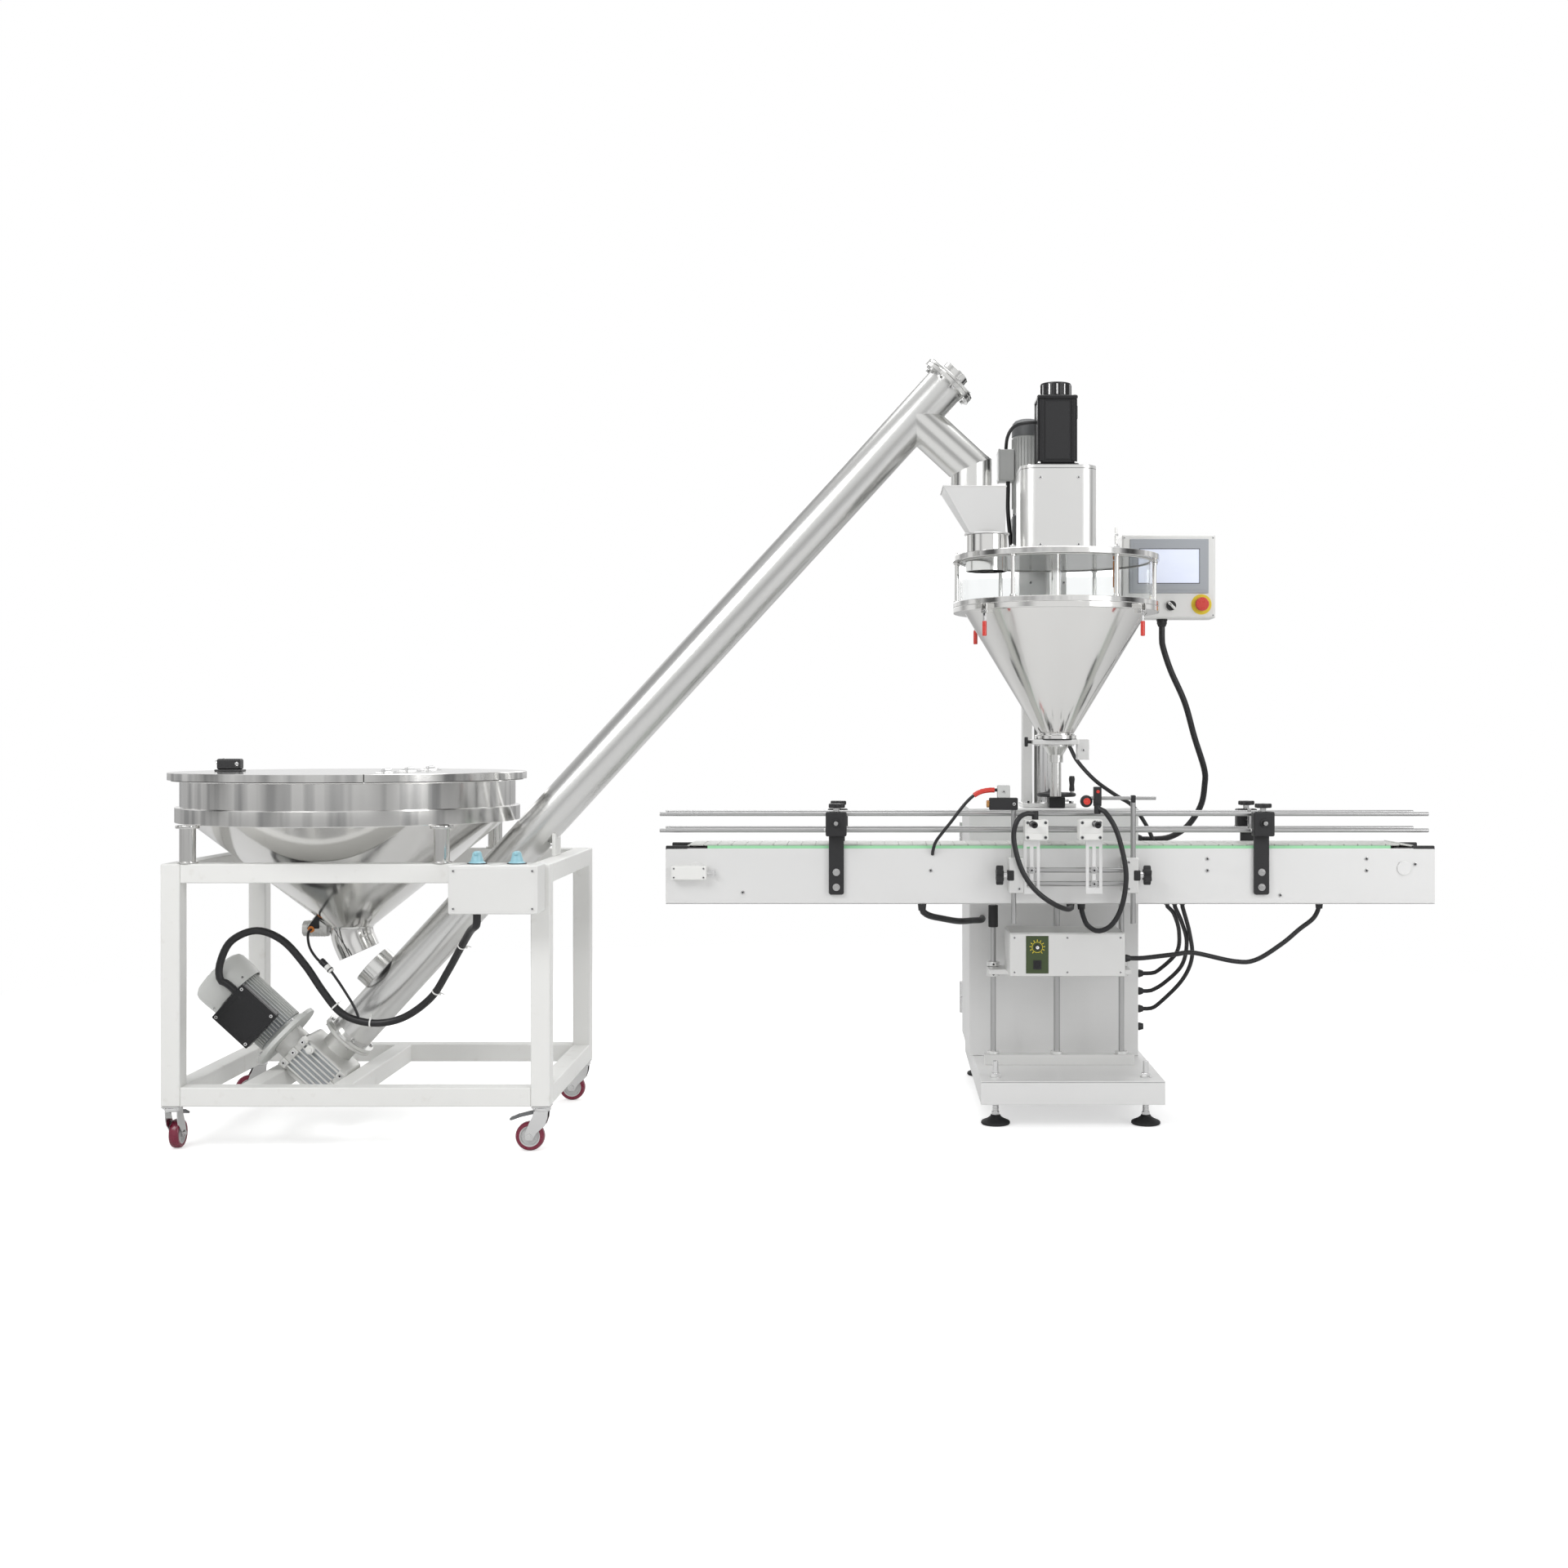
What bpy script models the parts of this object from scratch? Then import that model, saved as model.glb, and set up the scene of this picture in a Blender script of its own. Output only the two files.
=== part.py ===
"""Auger powder filling line: a screw feeder on a castor cart, and an auger filler over a slat chain conveyor.

X runs along the conveyor to the right, Y to the back, and Z = 0 is the floor. All sizes are in metres.
The root empty carries everything and sets the origin to the middle of the footprint.
"""

import math

import bmesh
import bpy
from mathutils import Matrix, Vector

# Clearances and facets
FIT = 0.0003            # gap between pieces that touch
RUNNING = 0.0004        # gap where one piece turns or slides in another
OVERRUN = 0.004         # how far a cutter passes the face that it cuts
WELD = 0.002            # how deep welded shapes run into each other
LARGE_ROUND = 24
ROUND = 16
SMALL_ROUND = 10
FINE_ROUND = 8
PIPE_SIDES = 4          # bevel resolution of the large pipes

# Anchors
DATUM_X = 0.0425        # the footprint's middle lies this far left of X = 0
FEED_Y = -0.155         # plane of the inclined screw, and the middle of the cart
CART_X = -1.1845
HOPPER_X = -1.295
FILL_X = 0.6535         # filling auger
FILL_Y = -0.105

# Cart frame of square tube
FRAME_LENGTH = 1.0
FRAME_DEPTH = 0.70
FRAME_BOTTOM = 0.116
FRAME_TOP = 0.740
FRAME_TUBE = 0.050
CRADLE_PLATE = 0.010    # plates that carry the gearbox
CRADLE_WIDTH = 0.110
SADDLE_LENGTH = 0.040

# Castors
WHEEL_RADIUS = 0.0375
WHEEL_WIDTH = 0.024
TYRE_SHOULDER = 0.004
AXLE_RADIUS = 0.005
CASTOR_TRAIL = 0.030
CASTOR_PLATE = 0.048
CASTOR_PLATE_THICK = 0.004
SWIVEL_RADIUS = 0.023
SWIVEL_THICK = 0.008
FORK_SHEET = 0.003
FORK_SIDE_GAP = 0.002
FORK_WIDTH = 0.036
KINGPIN_RADIUS = 0.006
PEDAL_REACH = 0.082
PEDAL_THICK = 0.006
PEDAL_DROP = 0.020
CASTOR_TURN_DEGREES = {"front_left": 90.0, "front_right": 180.0, "rear_left": 205.0, "rear_right": 180.0}

# Feed hopper
DRUM_RADIUS = 0.444
DRUM_TOP = 0.951
DRUM_BOTTOM = 0.838
DRUM_FLANGE = 0.466
HOPPER_WALL = 0.003
BAND_RADIUS = 0.4565
BAND_HEIGHT = 0.040
CONE_RADIUS = 0.420
OUTLET_RADIUS = 0.057
OUTLET_Z = 0.545
ELBOW_BEND = 0.110      # radius of the outlet elbow's centre line
ELBOW_DEGREES = 24.0
ELBOW_TAIL = 0.030
LEG_RADIUS = 0.0205
LEG_SPREAD = 0.3275
LUG_RADIUS = 0.030
LUG_THICK = 0.008

# Hopper lid in two halves
LID_RADIUS = 0.475
LID_HEIGHT = 0.020
LID_SHEET = 0.003
LID_RIM = 0.012
LID_SPLIT = 0.160       # the hinge line, to the right of the hopper's middle
LID_GAP = 0.0012
HINGE_SPACING = 0.235
HINGE_BARREL = 0.006
HINGE_PIN = 0.003
HINGE_LENGTH = 0.062
HINGE_LEAF = 0.024
LATCH_AT = 0.335
LATCH_SIZE = (0.075, 0.040, 0.035)
LATCH_PLATE = 0.008

# Hopper vibrator
VIBRATOR_RADIUS = 0.0225
VIBRATOR_LENGTH = 0.070
VIBRATOR_OUT = 0.0965   # from the hopper's axis
VIBRATOR_Z = 0.5375
VIBRATOR_FOOT = 0.044

# Inclined screw feeder, measured along its axis from the point above the cart's right end
SLOPE_DEGREES = 47.5
SLOPE_X = -0.597
SLOPE_Z = 1.0104
TUBE_RADIUS = 0.057
TUBE_WALL = 0.003
TUBE_FOOT = -1.040
TUBE_HEAD = 1.406
FLANGE_RADIUS = 0.0805
FLANGE_THICK = 0.012
FOOT_FLANGE_RADIUS = 0.074
INLET_AT = -0.853
INLET_REACH = 0.088
BRANCH_AT = 1.271
SPOUT_X = 0.4145
SPOUT_END_Z = 1.733
CAP_RADIUS = 0.0395
CAP_LENGTH = 0.028
BEARING_SEAT = 0.010
SCREW_SHAFT = 0.016
SCREW_RADIUS = 0.050
SCREW_PITCH = 0.150
SCREW_FLIGHT = 0.004
SCREW_TURNS = 15
SCREW_STEPS = 8
FLIGHT_START = 0.040

# Worm gearbox and motor of the feeder
GEARBOX_AT = -1.140
GEARBOX_HALF_LONG = 0.083
GEARBOX_HALF_HIGH = 0.053
GEARBOX_BACK = 0.050
GEARBOX_FRONT = 0.112
GEARBOX_NECK = 0.045
GEARBOX_RIB = 0.006
GEARBOX_RIB_DEPTH = 0.004
GEARBOX_RIBS = 4
WORM_OFFSET = 0.063
MOTOR_NECK = 0.045
MOTOR_NECK_LENGTH = 0.030
MOTOR_FLANGE_RADIUS = 0.098
MOTOR_FLANGE_THICK = 0.013
MOTOR_RADIUS = 0.068
MOTOR_FIN = 0.008
MOTOR_FIN_WIDTH = 0.003
MOTOR_FINS = 20
MOTOR_LENGTH = 0.185
COWL_RADIUS = 0.080
COWL_LENGTH = 0.088
COWL_OVERLAP = 0.020
COWL_WALL = 0.003
COWL_DOME = 0.014
TERMINAL_LONG = 0.120
TERMINAL_WIDE = 0.125
TERMINAL_DEEP = 0.034
TERMINAL_AT = 0.080     # from the motor's flange
TERMINAL_NECK = 0.060

# Feeder switch box and its two switches
SWITCH_BOX_LEFT = -0.923
SWITCH_BOX_WIDTH = 0.2265
SWITCH_BOX_DEPTH = 0.100
SWITCH_BOX_HEIGHT = 0.123
SWITCH_BOX_TOP = 0.743
SWITCH_SPACING = 0.101
BOOT_FLANGE = 0.038
BOOT_FLANGE_THICK = 0.004
BOOT_RADIUS = 0.013
BOOT_HEIGHT = 0.026
BOOT_LEVER = (0.012, 0.034, 0.010)
SWITCH_STEM = 0.005
SWITCH_STEM_LENGTH = 0.018

# Cables, which leave each gland straight for a little way
FEED_CABLE = 0.010
BEND_START = 0.030
SHAKER_CABLE = 0.0065
PANEL_CABLE = 0.009

# Base tray, levelling feet and the shaker's guide
TRAY_LEFT = 0.438
TRAY_WIDTH = 0.502
TRAY_FRONT = -0.2245
TRAY_DEPTH = 0.850
TRAY_BOTTOM = 0.064
TRAY_TOP = 0.1287
TRAY_SHEET = 0.005
PAD_RADIUS = 0.040
PAD_HEIGHT = 0.008
PAD_DOME = 0.026
PAD_INSET = 0.044
STEM_RADIUS = 0.008
STEM_ABOVE = 0.045
NUT_RADIUS = 0.013
NUT_HEIGHT = 0.012
CROSSBAR_LEFT = 0.463
CROSSBAR_WIDTH = 0.428
CROSSBAR_DEPTH = 0.030
CROSSBAR_HEIGHT = 0.030
GUIDE_Y = 0.0335
GUIDE_LEFT_X = 0.4885
GUIDE_RIGHT_X = 0.856
GUIDE_RADIUS = 0.008
GUIDE_TOP = 0.600
LIFT_SCREW_X = 0.671
LIFT_SCREW_RADIUS = 0.009
COLLAR_RADIUS = 0.0185
COLLAR_HEIGHT = 0.013
BUSH_RADIUS = 0.014
BUSH_HEIGHT = 0.063
BUSH_Z = 0.522

# Cabinet
CABINET_LEFT = 0.428
CABINET_WIDTH = 0.497
CABINET_FRONT = 0.1725
CABINET_DEPTH = 0.430
CABINET_TOP = 0.856
CABINET_SHEET = 0.006
DOOR_SHEET = 0.010
DOOR_MARGIN = 0.010
DOOR_PIN = 0.004
DOOR_BARREL = 0.008
DOOR_KNUCKLE = 0.050
LOCK_RADIUS = 0.011
LOCK_HEIGHT = 0.006
GLAND_RADIUS = 0.014
GLAND_LENGTH = 0.022
GLAND_Y = 0.230
GLAND_Z = 0.206
GLAND_PITCH = 0.0525
GLAND_COUNT = 4
PANEL_ENTRY_Y = 0.250
PANEL_ENTRY_Z = 0.761

# Lift column, carriage and handwheel
COLUMN_X = 0.672
COLUMN_Y = 0.335
COLUMN_RADIUS = 0.040
COLUMN_TOP = 1.665
COLUMN_BASE = 0.012
COLUMN_BASE_SIDE = 0.160
GUIDE_BAR = (0.030, 0.050)
GUIDE_BAR_X = 0.596
YOKE_BOTTOM = 1.470
YOKE_HEIGHT = 0.120
YOKE_WALL = 0.014
ARM_WIDTH = 0.072
ARM_THICK = 0.020
ARM_FRONT_Y = 0.030
WHEEL_X = 0.690
WHEEL_Y = 0.232
WHEEL_RIM = 0.052
WHEEL_TUBE = 0.006
WHEEL_HUB = 0.014
WHEEL_Z = 0.895
WHEEL_HOUSING = 0.048
WHEEL_HOUSING_HEIGHT = 0.020
WHEEL_SPOKE = 0.005
WHEEL_SPOKES = 3
CRANK_RADIUS = 0.009
CRANK_TOP = 0.951

# Filler hopper
PLATE_RADIUS = 0.287
PLATE_BOTTOM = 1.552
PLATE_THICK = 0.016
WINDOW_RADIUS = 0.2675
WINDOW_WALL = 0.005
RING_RADIUS = 0.285
RING_INNER = 0.250
RING_TOP = 1.439
RING_SEAM = 1.4246
RING_BOTTOM = 1.410
POST_RADIUS = 0.006
POST_AT = 0.2755
POST_COUNT = 6
STUD_RADIUS = 0.0035
STUD_HEIGHT = 0.075
STUD_AT = (0.160, -0.060)
FILL_CONE_RADIUS = 0.252
FILL_CONE_FOOT = 0.050
FILL_CONE_Z = 1.076
FILL_WALL = 0.0025
NECK_FLANGE = 0.058
NECK_FLANGE_TOP = 1.071
NECK_FLANGE_BOTTOM = 1.060

# Inlet funnel and its collar
INLET_X = -0.195        # from the filling auger
COLLAR_TUBE = 0.057
COLLAR_WALL = 0.003
COLLAR_TOP = 1.622
COLLAR_BELOW = 0.030
FUNNEL_BOTTOM = 1.6236
FUNNEL_TOP = 1.7476
FUNNEL_MOUTH_LEFT = 0.334
FUNNEL_MOUTH = 0.172
FUNNEL_THROAT = 0.098
FUNNEL_WALL = 0.003

# Toggle clamps between the cone and the window ring
CLAMP_ANGLES_DEGREES = {"front_left": 225.0, "front_right": 315.0, "rear_left": 135.0, "rear_right": 65.0}
CLAMP_PIVOT_OUT = 0.011
CLAMP_PIVOT_Z = 1.402
CLAMP_EAR = 0.004
CLAMP_GAP = 0.014
CLAMP_PIN = 0.003
CLAMP_BARREL = 0.006
CLAMP_LEVER = 0.060
CLAMP_GRIP = 0.006
CLAMP_GRIP_LENGTH = 0.034
CLAMP_HOOK = (0.012, 0.016, 0.008)

# Neck bracket with the sensor box, and the nozzle
BRACKET_LEFT = -0.068
BRACKET_RIGHT = 0.060
BRACKET_DEPTH = 0.090
BRACKET_BOTTOM = 1.045
BRACKET_THICK = 0.014
WING_REACH = 0.014
WING_RADIUS = 0.005
SENSOR_BOX = (0.032, 0.040, 0.057)
NOZZLE_MOUTH = 0.035
NOZZLE_NECK = 0.0205
NOZZLE_RADIUS = 0.0155
NOZZLE_BORE = 0.0138
NOZZLE_CONE_TOP = 1.040
NOZZLE_CONE_END = 1.017
NOZZLE_NECK_END = 0.995
NOZZLE_END = 0.9006

# Drive housing, servo, agitator gearmotor
HOUSING_SIDE = 0.210
HOUSING_CORNER = 0.045
HOUSING_TOP = 1.8105
HOUSING_WALL = 0.004
HOUSING_LID = 0.010
SERVO_SIDE = 0.112
SERVO_CORNER = 0.008
SERVO_TOP = 2.010
SERVO_FLANGE = 0.118
SERVO_FLANGE_THICK = 0.010
SERVO_FIN_DEPTH = 0.004
SERVO_FIN_WIDTH = 0.006
SERVO_FINS = 6
SERVO_CAP_RADIUS = 0.043
SERVO_CAP_TOP = 2.039
AGITATOR_MOTOR_X = -0.065
AGITATOR_MOTOR_Y = 0.160
AGITATOR_MOTOR_RADIUS = 0.045
AGITATOR_GEAR_SIDE = 0.090
AGITATOR_GEAR_TOP = 1.700
AGITATOR_MOTOR_TOP = 1.979
AGITATOR_BOX = (0.048, 0.060, 0.090)
AGITATOR_BOX_Z = 1.800

# Filling auger and agitator
AUGER_SHAFT = 0.006
AUGER_RADIUS = 0.0126
AUGER_PITCH = 0.024
AUGER_FLIGHT = 0.002
AUGER_TURNS = 6
AUGER_STEPS = 7
AUGER_END = 0.904
AUGER_TOP = 1.870
COUPLING_RADIUS = 0.018
COUPLING_HEIGHT = 0.045
FORCE_RADIUS = 0.030
FORCE_PITCH = 0.045
FORCE_TURNS = 3
FORCE_Z = 1.090
SLEEVE_RADIUS = 0.016
SLEEVE_BORE = 0.0085
SLEEVE_TOP = 1.640
SLEEVE_BOTTOM = 1.330
STIR_BAR = 0.005
STIR_GAP = 0.012
STIR_TOP = 1.400
STIR_BOTTOM = 1.170
STIR_RING = 0.040
STIR_PADDLE = (0.012, 0.050, 0.004)

# Control panel on its arm
PANEL_LEFT = 0.867
PANEL_WIDTH = 0.271
PANEL_BOTTOM = 1.411
PANEL_HEIGHT = 0.2415
PANEL_FRONT = 0.100
PANEL_DEPTH = 0.090
PANEL_ARM_X = 1.000
PANEL_ARM_RADIUS = 0.017
PANEL_ARM_LOW = 1.385
PANEL_ARM_HIGH = 1.520
PANEL_FLANGE = 0.040
PANEL_FLANGE_THICK = 0.008
PANEL_GLAND_X = 0.990
SCREEN_LEFT = 0.8899
SCREEN_WIDTH = 0.2278
SCREEN_BOTTOM = 1.4829
SCREEN_HEIGHT = 0.1578
SCREEN_THICK = 0.006
SCREEN_RECESS = 0.0015
GLASS_MARGIN = 0.032
SELECTOR_X = 1.0086
SELECTOR_Z = 1.447
SELECTOR_BEZEL = 0.015
SELECTOR_KNOB = 0.011
SELECTOR_REACH = 0.018
SELECTOR_RIDGE = (0.006, 0.010)
BEZEL_THICK = 0.003
CONTROL_STEM = 0.005
CONTROL_STEM_LENGTH = 0.020
STOP_X = 1.097
STOP_Z = 1.451
STOP_BEZEL = 0.015
STOP_HEAD = 0.020
STOP_NECK = 0.010
STOP_NECK_LENGTH = 0.011
STOP_HEAD_THICK = 0.012
STOP_TRAVEL = 0.006

# Conveyor
BELT_LEFT = -0.424
BELT_RIGHT = 1.6845
SIDE_FRONT = -0.190
SIDE_BACK = -0.020
SIDE_SHEET = 0.004
SIDE_BOTTOM = 0.608
SIDE_TOP = 0.757
STRIP_TOP = 0.768
STRIP_THICK = 0.006
CHAIN_TOP = 0.773
CHAIN_THICK = 0.006
CHAIN_GAP = 0.003
SLAT_PITCH = 0.0381
SLAT_SLIT = 0.0016
SLAT_SLIT_DEPTH = 0.003
SPROCKET_RADIUS = 0.060
SPROCKET_INSET = 0.085
SPROCKET_AXLE = 0.010
SPROCKET_TEETH = 12
SPROCKET_TOOTH = 0.004
TIE_RADIUS = 0.010
TIE_COUNT = 4
BEARER_SPREAD = 0.300
BEARER_DEPTH = 0.060
BEARER_SHEET = 0.008
TENSION_BOX = (0.098, 0.030, 0.036)
TENSION_LEFT = -0.318
TENSION_Z = 0.672

# Guide rails on black arms
RAIL_LEFT = -0.442
RAIL_RIGHT = 1.6715
RAIL_RADIUS = 0.0055
RAIL_FRONT_Y = -0.175
RAIL_BACK_Y = -0.035
RAIL_HIGH = 0.854
RAIL_LOW = 0.809
RAIL_BRACKETS = (0.044, 1.2075)
RAIL_BLOCK = (0.057, 0.040, 0.067)
RAIL_BLOCK_BOTTOM = 0.7955
RAIL_TRAVEL = 0.012
RAIL_ARM_WIDTH = 0.041
RAIL_ARM_THICK = 0.012
RAIL_ARM_BOTTOM = 0.6345
RAIL_ARM_SLOT = 0.008
RAIL_PIN_RADIUS = 0.006
RAIL_KNOB_RADIUS = 0.020
RAIL_KNOB_HEIGHT = 0.012
RAIL_KNOB_STEM = 0.012

# Bottle gate stand in front of the conveyor
GATE_Y = -0.240
GATE_ROD = 0.007
GATE_LEFT = 0.526
GATE_RIGHT = 0.850
GATE_BOTTOM = 0.559
GATE_TOP = 0.883
GATE_BAR_RADIUS = 0.007
GATE_BARS = (0.668, 0.705)
GATE_BLOCK = (0.054, 0.030, 0.096)
GATE_BLOCK_BOTTOM = 0.643
GATE_KNOB = 0.020
GATE_KNOB_LENGTH = 0.024
GATE_SLIDES = (0.574, 0.743)
GATE_SLIDE_WIDTH = 0.042
GATE_SLIDE_THICK = 0.005
GATE_SLIDE_BOTTOM = 0.641
GATE_SLIDE_TOP = 0.790
GATE_SLOT = 0.010
GATE_HEAD = (0.064, 0.060, 0.056)
GATE_HEAD_BOTTOM = 0.787
GATE_PIN_RADIUS = 0.005
GATE_PIN_LENGTH = 0.090
GATE_PIN_PAD = 0.009
GATE_PIN_Z = 0.8315
GATE_TRAVEL = 0.040
EYE_ROD_Z = 0.900
EYE_ROD_LEFT = 0.723
EYE_ROD_RIGHT = 0.912
EYE_BOX = (0.020, 0.030, 0.053)
EYE_X = 0.753
EYE_BOTTOM = 0.878
EYE_BALL = 0.017

# Shaker box under the conveyor
SHAKER_LEFT = 0.519
SHAKER_WIDTH = 0.318
SHAKER_FRONT = -0.1845
SHAKER_DEPTH = 0.190
SHAKER_BOTTOM = 0.408
SHAKER_TOP = 0.527
EAR_THICK = 0.015
EAR_DEPTH = 0.046
EAR_END = 0.018
SHAKER_PANEL_LEFT = 0.564
SHAKER_PANEL_WIDTH = 0.062
SHAKER_PANEL_BOTTOM = 0.417
SHAKER_PANEL_HEIGHT = 0.103
SHAKER_PANEL_THICK = 0.002
SHAKER_GLAND_Z = 0.451
SHAKER_GLAND_Y = -0.120

root = None
parts = None
tools = None
UP = Vector((0, 0, 1))


# Making solids. Each of these returns a scratch object, which fused() joins into one piece.

def scratch(bm, name="tool"):
    mesh = bpy.data.meshes.new(name)
    bmesh.ops.recalc_face_normals(bm, faces=bm.faces)
    bm.to_mesh(mesh)
    bm.free()
    obj = bpy.data.objects.new(name, mesh)
    obj.hide_render = True
    obj.display_type = "WIRE"
    tools.objects.link(obj)
    return obj


def axes(direction, side=None):
    """A matrix whose Z follows direction, and whose X lies as near to side as it can."""
    z = Vector(direction).normalized()
    x = Vector(side) if side is not None else (Vector((1, 0, 0)) if abs(z.x) < abs(z.z) else UP)
    y = z.cross(x).normalized()
    return Matrix((y.cross(z), y, z)).transposed().to_4x4()


def block(size, centre, turn=None):
    bm = bmesh.new()
    bmesh.ops.create_cube(bm, size=1)
    place = Matrix.Translation(centre) @ (turn or Matrix()) @ Matrix.Diagonal((*size, 1))
    bmesh.ops.transform(bm, matrix=place, verts=bm.verts)
    return scratch(bm)


def span(low, high):
    """A box between two corners."""
    low, high = Vector(low), Vector(high)
    return block(high - low, (low + high) / 2)


def rod(start, end, radius, facets=SMALL_ROUND, end_radius=None):
    start, end = Vector(start), Vector(end)
    bm = bmesh.new()
    bmesh.ops.create_cone(bm, cap_ends=True, segments=facets, radius1=radius,
                          radius2=radius if end_radius is None else end_radius, depth=(end - start).length)
    bmesh.ops.transform(bm, matrix=Matrix.Translation((start + end) / 2) @ axes(end - start), verts=bm.verts)
    return scratch(bm)


def clear_of(radius, facets):
    """The radius of a faceted bore in which a round of this radius turns with the running gap."""
    return (radius + RUNNING) / math.cos(math.pi / facets)


def ball(centre, radius, facets=FINE_ROUND):
    bm = bmesh.new()
    bmesh.ops.create_uvsphere(bm, u_segments=facets, v_segments=facets // 2 + 1, radius=radius)
    bmesh.ops.translate(bm, vec=centre, verts=bm.verts)
    return scratch(bm)


def taken(obj, caps=False):
    """The evaluated mesh of a scratch object, in world space, as a plain scratch object."""
    evaluated = obj.evaluated_get(bpy.context.evaluated_depsgraph_get())
    mesh = bpy.data.meshes.new_from_object(evaluated)
    bm = bmesh.new()
    bm.from_mesh(mesh)
    bmesh.ops.transform(bm, matrix=obj.matrix_world, verts=bm.verts)
    bpy.data.meshes.remove(mesh)
    bpy.data.objects.remove(obj)
    bmesh.ops.remove_doubles(bm, verts=bm.verts, dist=FIT / 100)
    if caps:
        bmesh.ops.holes_fill(bm, edges=[e for e in bm.edges if e.is_boundary])
    return scratch(bm)


def turned(profile, base=(0, 0, 0), direction=UP, facets=ROUND):
    """A closed (radius, height) outline turned about an axis; its edge on the axis is left out."""
    bm = bmesh.new()
    verts = [bm.verts.new((r, 0, z)) for r, z in profile]
    for a, b in zip(verts, verts[1:] + verts[:1]):
        if a.co.x > 0 or b.co.x > 0:
            bm.edges.new((a, b))
    obj = scratch_loose(bm)
    screw = obj.modifiers.new("turn", "SCREW")
    screw.steps = screw.render_steps = facets
    screw.use_merge_vertices = True
    screw.merge_threshold = FIT / 10
    obj.matrix_world = Matrix.Translation(base) @ axes(direction)
    bpy.context.view_layer.update()
    return taken(obj)


def scratch_loose(bm):
    mesh = bpy.data.meshes.new("profile")
    bm.to_mesh(mesh)
    bm.free()
    obj = bpy.data.objects.new("profile", mesh)
    tools.objects.link(obj)
    return obj


def helix(radius, inner, pitch, turns, steps, thick, base, direction=UP):
    """One screw flight: a thin rectangle that turns and climbs."""
    bm = bmesh.new()
    corners = [(inner, 0), (radius, 0), (radius, thick), (inner, thick)]
    verts = [bm.verts.new((r, 0, z)) for r, z in corners]
    for a, b in zip(verts, verts[1:] + verts[:1]):
        bm.edges.new((a, b))
    obj = scratch_loose(bm)
    screw = obj.modifiers.new("flight", "SCREW")
    screw.steps = screw.render_steps = steps
    screw.iterations = turns
    screw.screw_offset = pitch
    obj.matrix_world = Matrix.Translation(base) @ axes(direction)
    bpy.context.view_layer.update()
    return taken(obj, caps=True)


def piped(points, radius, resolution=2, keep=False):
    """A round tube along points, with mitred corners and closed ends."""
    curve = bpy.data.curves.new("pipe", "CURVE")
    curve.dimensions = "3D"
    curve.bevel_depth = radius
    curve.bevel_resolution = resolution
    curve.use_fill_caps = True
    spline = curve.splines.new("POLY")
    spline.points.add(len(points) - 1)
    for spot, point in zip(spline.points, points):
        spot.co = (*point, 1)
    obj = bpy.data.objects.new("pipe", curve)
    tools.objects.link(obj)
    bpy.context.view_layer.update()
    return obj if keep else taken(obj)


def plate(outline, thick, turn, holes=()):
    """A flat outline with a thickness, its middle plane placed by a matrix."""
    curve = bpy.data.curves.new("plate", "CURVE")
    curve.dimensions = "2D"
    curve.fill_mode = "BOTH"
    curve.extrude = thick / 2
    for ring in (outline, *holes):
        spline = curve.splines.new("POLY")
        spline.use_cyclic_u = True
        spline.points.add(len(ring) - 1)
        for spot, (x, y) in zip(spline.points, ring):
            spot.co = (x, y, 0, 1)
    obj = bpy.data.objects.new("plate", curve)
    tools.objects.link(obj)
    obj.matrix_world = turn
    bpy.context.view_layer.update()
    return taken(obj)


def rounded(width, height, corner, steps=4):
    """The outline of a rectangle with round corners."""
    points = []
    for k, (sx, sy) in enumerate(((1, 1), (-1, 1), (-1, -1), (1, -1))):
        for step in range(steps + 1):
            angle = math.radians(90 * (k + step / steps))
            points.append((sx * (width / 2 - corner) + corner * math.cos(angle),
                           sy * (height / 2 - corner) + corner * math.sin(angle)))
    return points


def smooth_path(route, spacing, leads=False):
    """Evenly spaced points on a smooth curve through the route, with straight ends if it has leads."""
    route = [Vector(p) for p in route]
    ends = route if leads else [2 * route[0] - route[1]] + route + [2 * route[-1] - route[-2]]
    fine = []
    count = 24
    for p0, p1, p2, p3 in zip(ends, ends[1:], ends[2:], ends[3:]):
        for k in range(count):
            t = k / count
            fine.append(0.5 * (2 * p1 + (p2 - p0) * t + (2 * p0 - 5 * p1 + 4 * p2 - p3) * t ** 2
                               + (3 * p1 - p0 - 3 * p2 + p3) * t ** 3))
    fine.append(ends[-2])
    lengths = [0.0]
    for a, b in zip(fine, fine[1:]):
        lengths.append(lengths[-1] + (b - a).length)
    number = max(2, round(lengths[-1] / spacing))
    points, k = [], 0
    for n in range(number + 1):
        want = lengths[-1] * n / number
        while k < len(fine) - 2 and lengths[k + 1] < want:
            k += 1
        share = (want - lengths[k]) / max(lengths[k + 1] - lengths[k], FIT / 10)
        points.append(fine[k].lerp(fine[k + 1], min(share, 1)))
    return [route[0]] + points + [route[-1]] if leads else points


def copied(solid):
    twin = bpy.data.objects.new(solid.name, solid.data.copy())
    twin.matrix_world = solid.matrix_world
    tools.objects.link(twin)
    return twin


def combined(solids, cuts=()):
    """Solids joined into one, with the cuts taken out, as a scratch object."""
    base = solids[0]
    for kind, group in (("UNION", solids[1:]), ("DIFFERENCE", cuts)):
        for tool in group:
            step = base.modifiers.new(kind.title(), "BOOLEAN")
            step.operation = kind
            step.object = tool
    bpy.context.view_layer.update()
    result = taken(base)
    for tool in (*solids[1:], *cuts):
        bpy.data.objects.remove(tool)
    return result


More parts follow.
